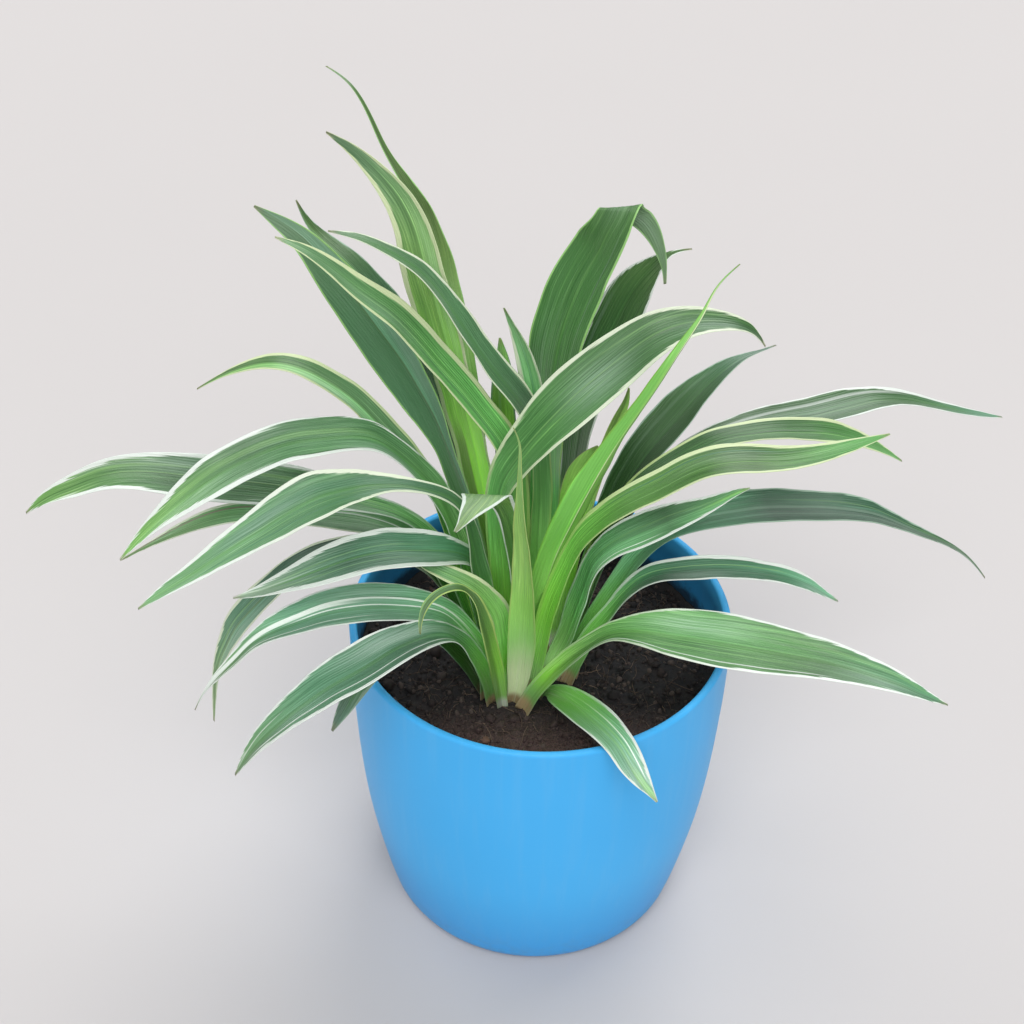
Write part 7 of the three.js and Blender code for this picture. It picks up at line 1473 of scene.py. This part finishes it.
def pot_piece():
    knots = np.array([(r, z) for z, r in OUTER_WALL[3:-1]], float)
    zs = np.concatenate([np.linspace(5, 30, 14)[:-1], np.linspace(30, 110, 22)])
    rs = spline(knots[:, 1], knots[:, :1], zs)[:, 0]
    profile = [(0, 0.9), (20, 0.9), (47, 0.9), (50.5, 0.55), (52.2, 0.05), (54.6, 0.0), (56.6, 0.12), (58.2, 0.6), (59.6, 1.5), (60.7, 3.0)]
    profile += list(zip(rs, zs))
    top = POT_HEIGHT - LIP_ROUND
    profile += [(74.78, 120), (74.88, 128), (74.95, 134), (RIM_OUTER_R, top - 1.2)]
    for a in np.linspace(0, 90, 6):
        profile.append((RIM_OUTER_R - LIP_ROUND * (1 - math.cos(math.radians(a))), top + LIP_ROUND * math.sin(math.radians(a))))
    for a in np.linspace(90, 180, 6):
        profile.append((RIM_OUTER_R - LIP_WALL + LIP_ROUND + LIP_ROUND * math.cos(math.radians(a)), top + LIP_ROUND * math.sin(math.radians(a))))
    inner = [137.0, 134.5, 131, 126, 120, 114, 108, 100, 85, 65, 45, 25, 12, 7]
    for z in inner:
        wall = LIP_WALL if z > 134 else WALL + (LIP_WALL - WALL) * max(0.0, (z - 128) / 8)
        profile.append((outer_radius(z) - wall, z))
    profile += [(outer_radius(5) - WALL - 2.4, FLOOR_THICKNESS + 0.6), (outer_radius(5) - WALL - 6, FLOOR_THICKNESS), (0, FLOOR_THICKNESS)]
    profile = np.array(profile, float)
    seg = 288
    ang = 2 * np.pi * np.arange(seg) / seg
    ring = profile[1:-1]
    # hardly visible moulding unevenness
    out = 1 + 0.0006 * np.sin(3 * ang + 0.4) + 0.0004 * np.sin(7 * ang + 1.1)
    pts = np.stack([ring[:, 0][:, None] * out * np.cos(ang), ring[:, 0][:, None] * out * np.sin(ang), np.tile(ring[:, 1][:, None], (1, seg))], -1)
    points = np.vstack([pts.reshape(-1, 3), [[0, 0, profile[0, 1]], [0, 0, profile[-1, 1]]]])
    n = len(ring)
    i = np.arange(n - 1)[:, None] * seg
    j = np.arange(seg)[None, :]
    k = (j + 1) % seg
    quads = np.stack([i + j, i + k, i + seg + k, i + seg + j], -1).reshape(-1, 4)
    first, last = n * seg, n * seg + 1
    j, k = np.arange(seg), (np.arange(seg) + 1) % seg
    tris = np.vstack([np.stack([np.full(seg, first), k, j], -1), np.stack([np.full(seg, last), (n - 1) * seg + j, (n - 1) * seg + k], -1)])
    first_inner = 1 + next(q for q in range(1, len(ring)) if ring[q, 0] < ring[q - 1, 0] - 0.2 and ring[q, 1] < POT_HEIGHT and q > len(zs) + 12)
    inside = np.zeros(n + 2)
    inside[first_inner:n] = 1.0
    inside = np.concatenate([np.repeat(inside[:n], seg), [0.0, 1.0]])
    return mesh_piece("pot_shell", points, quads, tris, floats={"inside": inside})


def pot_material():
    g = Graph("pot_plastic_blue")
    p = g.place()
    z = g.split(p)[2]
    cloud = g.noise(p, 9.0, 3.0, 0.5)
    colour = g.mix(g.step(cloud, 0.3, 0.7), linear(POT_BLUE_A), linear(POT_BLUE_B))
    # moulding flow, drawn out up and down
    flow = g.noise(g.scale(p, (260.0, 260.0, 14.0)), 1.0, 2.0, 0.5)
    colour = g.mix(g.step(flow, 0.45, 0.75, 0.0, 0.10), colour, linear((126, 196, 246)))
    # grey dust at the foot
    dust = g.noise(p, 160.0, 4.0, 0.65)
    foot = g.math("MULTIPLY", g.step(z, 0.022, 0.0), g.step(dust, 0.40, 0.7, 0.0, 0.35))
    colour = g.mix(foot, colour, linear((120, 128, 132)))
    # painted shade: the blue darker towards the foot
    colour = g.mix(g.step(z, 0.060, 0.002, 0.0, 0.42), colour, linear((52, 138, 214)))
    inside = g.math("MULTIPLY", g.attribute("inside"), g.step(z, 0.1385, 0.1300))
    # a near-black band on the inside wall just above the mix
    edge = g.math("ADD", z, g.math("MULTIPLY", g.math("SUBTRACT", dust, 0.5), 0.012))
    dark_band_above_mix = g.math("MULTIPLY", inside, g.step(edge, 0.1235, 0.1165, 0.0, 0.85))
    # painted shade: the inside wall darker than the outside
    colour = g.mix(g.math("MULTIPLY", inside, 0.5), colour, linear((16, 74, 128)))
    colour = g.mix(dark_band_above_mix, colour, linear((38, 34, 34)))
    # scuffs: short fine lines
    scuff = g.noise(g.scale(p, (60.0, 60.0, 900.0)), 1.0, 3.0, 0.7)
    marks = g.math("MULTIPLY", g.step(scuff, 0.66, 0.72), g.step(g.noise(p, 22.0, 2.0), 0.5, 0.7, 0.0, 0.5))
    colour = g.mix(g.math("MULTIPLY", marks, 0.35), colour, linear((150, 204, 244)))
    rough = g.step(cloud, 0.3, 0.7, 0.36, 0.42, smooth=False)
    rough = g.math("ADD", rough, g.math("MULTIPLY", g.math("MAXIMUM", marks, dark_band_above_mix), 0.2))
    fine = g.noise(p, 2600.0, 2.0, 0.5)
    height = g.math("ADD", g.math("MULTIPLY", fine, 0.4), g.math("MULTIPLY", flow, 0.5))
    g.set(Base_Color=colour, Roughness=rough, Normal=g.bump(height, 0.25, 0.00005))
    g.shader.inputs["Specular IOR Level"].default_value = 0.13
    return g.material


# ---------------------------------------------------------------- potting mix


def lattice(seed, size=64):
    return np.random.default_rng(seed).random((size, size))


def value_noise(x, y, cell, seed):
    grid = lattice(seed)
    n = grid.shape[0]
    gx, gy = x / cell, y / cell
    i, j = np.floor(gx).astype(int), np.floor(gy).astype(int)
    fx, fy = gx - i, gy - j
    fx, fy = fx * fx * (3 - 2 * fx), fy * fy * (3 - 2 * fy)
    a, b = grid[i % n, j % n], grid[(i + 1) % n, j % n]
    c, d = grid[i % n, (j + 1) % n], grid[(i + 1) % n, (j + 1) % n]
    return (a * (1 - fx) + b * fx) * (1 - fy) + (c * (1 - fx) + d * fx) * fy


def soil_level(x, y):
    far = np.clip((np.hypot(x, y + 8) - 34) / 40, 0, 1)
    far = far * far * (3 - 2 * far)
    uneven = 0.5 + 0.25 * np.sin(0.21 * x + 1.3) + 0.25 * np.sin(0.17 * y - 0.11 * x + 0.4)
    return SOIL_TOP - far * (SOIL_DIP * 0.55 + SOIL_DIP * 0.45 * uneven)


def soil_surface(x, y):
    z = soil_level(x, y)
    lumps = 1.5 * (value_noise(x, y, 7.5, 3) - 0.5) + 1.1 * (value_noise(x + 31, y - 17, 3.2, 4) - 0.5)
    crumbs = 0.9 * (value_noise(x, y, 1.5, 5) - 0.5) + 0.45 * (value_noise(x, y, 0.8, 6) - 0.5)
    return z - 0.35 + lumps + crumbs


def soil_piece():
    rings, seg = 118, 420
    wall = outer_radius(114) - WALL - 0.15
    ang = 2 * np.pi * np.arange(seg) / seg
    r = wall * (np.arange(1, rings + 1) / rings)
    x, y = r[:, None] * np.cos(ang), r[:, None] * np.sin(ang)
    z = soil_surface(x, y)
    # the mix stands up the wall here and there
    near = np.clip((r[:, None] - (wall - 4)) / 4, 0, 1) ** 2
    z = z + near * (1.6 * (value_noise(x * 1.0, y * 1.0, 6.0, 9)) + 0.2)
    pts = [np.stack([x, y, z], -1).reshape(-1, 3)]
    lower = [(outer_radius(h) - WALL - 0.5, h) for h in (100, 70, 40, 15, 7)] + [(outer_radius(5) - WALL - 6.4, FLOOR_THICKNESS + 0.3)]
    for rr, h in lower:
        pts.append(np.stack([rr * np.cos(ang), rr * np.sin(ang), np.full(seg, float(h))], -1))
    points = np.vstack(pts + [np.array([[0, 0, soil_surface(np.array([0.0]), np.array([0.0]))[0]], [0, 0, FLOOR_THICKNESS + 0.3]])])
    n = rings + len(lower)
    i = np.arange(n - 1)[:, None] * seg
    j = np.arange(seg)[None, :]
    k = (j + 1) % seg
    quads = np.stack([i + j, i + seg + j, i + seg + k, i + k], -1).reshape(-1, 4)
    c0, c1 = n * seg, n * seg + 1
    j, k = np.arange(seg), (np.arange(seg) + 1) % seg
    tris = np.vstack([np.stack([np.full(seg, c0), j, k], -1), np.stack([np.full(seg, c1), (n - 1) * seg + k, (n - 1) * seg + j], -1)])
    return mesh_piece("potting_mix", points, quads, tris)


def icosphere():
    p = (1 + 5**0.5) / 2
    v = unit(np.array([(-1, p, 0), (1, p, 0), (-1, -p, 0), (1, -p, 0), (0, -1, p), (0, 1, p), (0, -1, -p), (0, 1, -p), (p, 0, -1), (p, 0, 1), (-p, 0, -1), (-p, 0, 1)], float))
    f = [(0, 11, 5), (0, 5, 1), (0, 1, 7), (0, 7, 10), (0, 10, 11), (1, 5, 9), (5, 11, 4), (11, 10, 2), (10, 7, 6), (7, 1, 8), (3, 9, 4), (3, 4, 2), (3, 2, 6), (3, 6, 8), (3, 8, 9), (4, 9, 5), (2, 4, 11), (6, 2, 10), (8, 6, 7), (9, 8, 1)]
    return v, np.array(f)


def finer(v, f):
    v = [tuple(p) for p in v]
    seen, out = {}, []

    def halfway(a, b):
        key = (min(a, b), max(a, b))
        if key not in seen:
            q = unit((np.array(v[a]) + np.array(v[b])) / 2)
            seen[key] = len(v)
            v.append(tuple(q))
        return seen[key]

    for a, b, c in f:
        ab, bc, ca = halfway(a, b), halfway(b, c), halfway(c, a)
        out += [(a, ab, ca), (b, bc, ab), (c, ca, bc), (ab, bc, ca)]
    return np.array(v), np.array(out)


STEMS = [rows[-1][:3] for rows in LEAVES.values()]


def scattered(rng, count, margin=2.0, clear=3.0):
    """Places on the soil, clear of the stems."""
    wall = outer_radius(114) - WALL - margin
    stems = np.array(STEMS)[:, :2]
    found = []
    while len(found) < count:
        r, a = wall * math.sqrt(rng.random()), rng.uniform(0, 2 * np.pi)
        p = np.array([r * math.cos(a), r * math.sin(a)])
        if np.min(np.linalg.norm(stems - p, axis=1)) > clear:
            found.append(p)
    return np.array(found)


def crumbs_piece(name, seed, count, lo, hi, flat, fine):
    rng = np.random.default_rng(seed)
    v, f = icosphere()
    if fine:
        v, f = finer(v, f)
    places = scattered(rng, count, margin=hi + 0.4)
    points, tris, tone = [], [], []
    for q, (x, y) in enumerate(places):
        size = lo + (hi - lo) * rng.random() ** 2.2
        rot = np.linalg.qr(rng.normal(size=(3, 3)))[0]
        if np.linalg.det(rot) < 0:
            rot[:, 0] *= -1
        bumps = 1 + 0.28 * np.sin(v @ rng.normal(size=3) * 3 + rng.uniform(0, 6)) * rng.uniform(0.4, 1) + rng.normal(0, 0.07, len(v))
        shape = v * bumps[:, None] * np.array([1.0, rng.uniform(0.6, 0.95), flat * rng.uniform(0.8, 1.2)])
        shape = shape @ rot.T if flat > 0.5 else shape @ tilt(rng, 25).T
        z = soil_surface(np.array([x]), np.array([y]))[0] + size * rng.uniform(-0.15, 0.45) * (0.9 if flat > 0.5 else 0.3)
        points.append(shape * size + [x, y, z])
        tris.append(f + q * len(v))
        tone.append(np.full(len(v), rng.random()))
    return mesh_piece(name, np.vstack(points), [], np.vstack(tris), fine, {"tone": np.concatenate(tone)})


def tilt(rng, most):
    a, b, c = np.radians(rng.uniform(-most, most)), np.radians(rng.uniform(-most, most)), rng.uniform(0, 2 * np.pi)
    rx = np.array([[1, 0, 0], [0, math.cos(a), -math.sin(a)], [0, math.sin(a), math.cos(a)]])
    ry = np.array([[math.cos(b), 0, math.sin(b)], [0, 1, 0], [-math.sin(b), 0, math.cos(b)]])
    rz = np.array([[math.cos(c), -math.sin(c), 0], [math.sin(c), math.cos(c), 0], [0, 0, 1]])
    return rx @ ry @ rz


def fibres_piece(name, seed, count, long, thick, lift):
    """Coir: thin curved fibres lying on and poking out of the mix."""
    rng = np.random.default_rng(seed)
    sides, steps = 5, 9
    places = scattered(rng, count, margin=7.0, clear=2.0)
    points, quads, tris, tone = [], [], [], []
    base = 0
    wall = outer_radius(114) - WALL - 1.2
    for x, y in places:
        length = rng.uniform(*long)
        radius = rng.uniform(*thick)
        turn = rng.uniform(-0.9, 0.9) / length
        head = rng.uniform(0, 2 * np.pi)
        h = head + turn * np.linspace(-0.5, 0.5, steps) * length + 0.25 * np.sin(np.linspace(0, 5, steps) + rng.uniform(0, 6))
        px = x + np.cumsum(np.cos(h)) * length / steps - 0.5 * np.sum(np.cos(h)) * length / steps
        py = y + np.cumsum(np.sin(h)) * length / steps - 0.5 * np.sum(np.sin(h)) * length / steps
        far = np.maximum(np.hypot(px, py) / wall, 1.0)
        px, py = px / far, py / far
        arch = rng.uniform(0, lift) * np.sin(np.linspace(0, np.pi, steps)) + rng.normal(0, 0.12, steps)
        if rng.random() < 0.16:
            arch = arch + np.linspace(0, 1, steps) ** 1.5 * rng.uniform(1.0, 4.5)
        pz = soil_surface(px, py) + arch + 0.15
        path = np.stack([px, py, pz], -1)
        tangent = unit(np.gradient(path, axis=0))
        side = unit(np.cross(tangent, [0.13, 0.07, 1.0]))
        top = np.cross(side, tangent)
        r = radius * (0.35 + 0.65 * np.sin(np.linspace(0.25, np.pi - 0.25, steps)))
        a = 2 * np.pi * np.arange(sides) / sides
        ring = path[:, None] + r[:, None, None] * (np.cos(a)[None, :, None] * side[:, None] + np.sin(a)[None, :, None] * top[:, None])
        points.append(ring.reshape(-1, 3))
        i = base + np.arange(steps - 1)[:, None] * sides
        j = np.arange(sides)[None, :]
        k = (j + 1) % sides
        quads.append(np.stack([i + j, i + k, i + sides + k, i + sides + j], -1).reshape(-1, 4))
        end = base + (steps - 1) * sides
        tris += [(base, base + 2, base + 1), (base, base + 3, base + 2), (base, base + 4, base + 3), (end, end + 1, end + 2), (end, end + 2, end + 3), (end, end + 3, end + 4)]
        tone.append(np.full(steps * sides, rng.random()))
        base += steps * sides
    return mesh_piece(name, np.vstack(points), np.vstack(quads), tris, True, {"tone": np.concatenate(tone)})


def mix_material(name, dark, warm, light, wet):
    g = Graph(name)
    p = g.place()
    tone = g.attribute("tone")
    lump = g.noise(p, 240.0, 4.0, 0.65)
    grit = g.noise(p, 1500.0, 3.0, 0.7)
    front = g.step(g.math("ADD", g.split(p)[1], g.math("MULTIPLY", lump, 0.02)), -0.012, -0.052)
    patch = g.noise(p, 34.0, 2.0, 0.5)
    colour = g.mix(g.step(lump, 0.35, 0.68), linear(dark), linear(warm))
    colour = g.mix(g.step(patch, 0.4, 0.7, 0.0, 0.5), colour, linear(warm))
    colour = g.mix(g.math("MULTIPLY", front, g.step(grit, 0.35, 0.65, 0.25, 0.9)), colour, linear((116, 90, 84)))
    colour = g.mix(g.step(grit, 0.58, 0.78, 0.0, 0.55), colour, linear(light))
    colour = g.mix(g.step(tone, 0.55, 1.0, 0.0, 0.75), colour, linear(light))
    rough = g.step(lump, 0.3, 0.7, wet, 0.95, smooth=False)
    height = g.math("ADD", g.math("MULTIPLY", grit, 0.5), lump)
    g.set(Base_Color=colour, Roughness=rough, Normal=g.bump(height, 0.8, 0.0005))
    g.shader.inputs["Specular IOR Level"].default_value = 0.35
    return g.material


# ---------------------------------------------------------------- putting it together

POT_BLUE_A = (74, 181, 247)
POT_BLUE_B = (78, 184, 249)


def add(piece, material, slot, *nodes):
    piece.data.materials.append(material)
    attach(piece, "root")
    if nodes:
        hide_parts(*nodes)
    return piece


CREAM = """tall_thread_tip tall_cream_edge crossing_upper arching_centre_left arching_centre_right centre_spike
right_upright left_cream_edge left_short left_small_curl right_upper right_back right_slender right_inner centre_back"""
CREAM = {"leaf_" + word for word in CREAM.split()}

add(pot_piece(), pot_material(), "pot_plastic", "pot")
add(soil_piece(), mix_material("potting_mix_dark", (22, 22, 24), (45, 41, 41), (76, 68, 65), 0.72), "soil_coir", "soil")
crumb_stuff = mix_material("coir_crumbs", (27, 26, 27), (54, 46, 44), (92, 80, 74), 0.78)
add(crumbs_piece("coir_crumbs_small", 21, 3400, 0.35, 1.3, 0.9, False), crumb_stuff, "soil_coir")
add(crumbs_piece("coir_crumbs_large", 22, 260, 1.0, 2.8, 0.8, True), crumb_stuff, "soil_coir")
chip_stuff = mix_material("bark_chips_red", (44, 31, 28), (88, 62, 52), (134, 104, 88), 0.7)
add(crumbs_piece("bark_chips", 23, 34, 1.2, 3.6, 0.30, True), chip_stuff, "soil_coir")
fibre_stuff = mix_material("coir_fibre", (56, 46, 41), (92, 76, 65), (132, 112, 95), 0.7)
add(fibres_piece("coir_fibres", 24, 560, (5, 15), (0.06, 0.17), 0.8), fibre_stuff, "soil_coir")

for index, (node, rows) in enumerate(LEAVES.items()):
    look = LOOKS[node]
    blade = leaf_piece(node.replace("leaf_", "blade_"), rows, look, index)
    add(blade, leaf_material(node, look, index), "leaf_cream_edge" if node in CREAM else "leaf_white_edge", node)

# ---------------------------------------------------------------- floor, light


def floor_material():
    g = Graph("studio_floor")
    p = g.place()
    cloud = g.noise(p, 3.0, 2.0, 0.5)
    g.set(Base_Color=g.mix(g.step(cloud, 0.3, 0.7), linear(FLOOR_A), linear(FLOOR_B)), Roughness=g.step(cloud, 0.3, 0.7, 0.88, 0.94))
    g.shader.inputs["Specular IOR Level"].default_value = 0.1
    return g.material


FLOOR_A = (198, 194, 193)
FLOOR_B = (199, 195, 194)
floor = mesh_piece("studio_floor", [(-6000, -6000, -0.05), (6000, -6000, -0.05), (6000, 6000, -0.05), (-6000, 6000, -0.05)], [(0, 1, 2, 3)], smooth=False)
floor.data.materials.append(floor_material())


def sun(name, strength, angle, azimuth, elevation, colour=(1, 1, 1)):
    """azimuth 0 shines from the camera's side, 90 from the right, 180 from behind the plant."""
    data = bpy.data.lights.new(name, "SUN")
    data.energy = strength
    data.angle = math.radians(angle)
    data.color = colour
    lamp = bpy.data.objects.new(name, data)
    bpy.context.scene.collection.objects.link(lamp)
    a, e = math.radians(azimuth), math.radians(elevation)
    z = np.array([math.sin(a) * math.cos(e), -math.cos(a) * math.cos(e), math.sin(e)])
    x = unit(np.cross([0.0, 1.0, 0.0] if abs(z[2]) > 0.99 else [0.0, 0.0, 1.0], z))
    place = np.eye(4)
    place[:3, 0], place[:3, 1], place[:3, 2] = x, np.cross(z, x), z
    place[:3, 3] = z * 2
    lamp.matrix_world = Matrix(place.tolist())
    return lamp


sun("soft_front", FRONT, 56, 6, 42)
sun("soft_top_front", KEY, 28, -8, 60)
sun("soft_back_high", BACK, 40, 146, 57, (0.985, 0.995, 1.0))
sun("soft_back_low", LOW, 34, 166, 24, (0.98, 0.995, 1.0))
sun("soft_left", LEFT, 40, 236, 36, (0.98, 0.99, 1.0))

world = bpy.data.worlds.new("studio_world")
bpy.context.scene.world = world
world.use_nodes = True
sky = world.node_tree.nodes["Background"]
sky.inputs["Color"].default_value = (0.975, 0.985, 1.0, 1.0)
sky.inputs["Strength"].default_value = WORLD

settings = bpy.context.scene.view_settings
settings.view_transform = "Standard"
settings.look = "None"
settings.exposure = 0.0
settings.gamma = 1.0
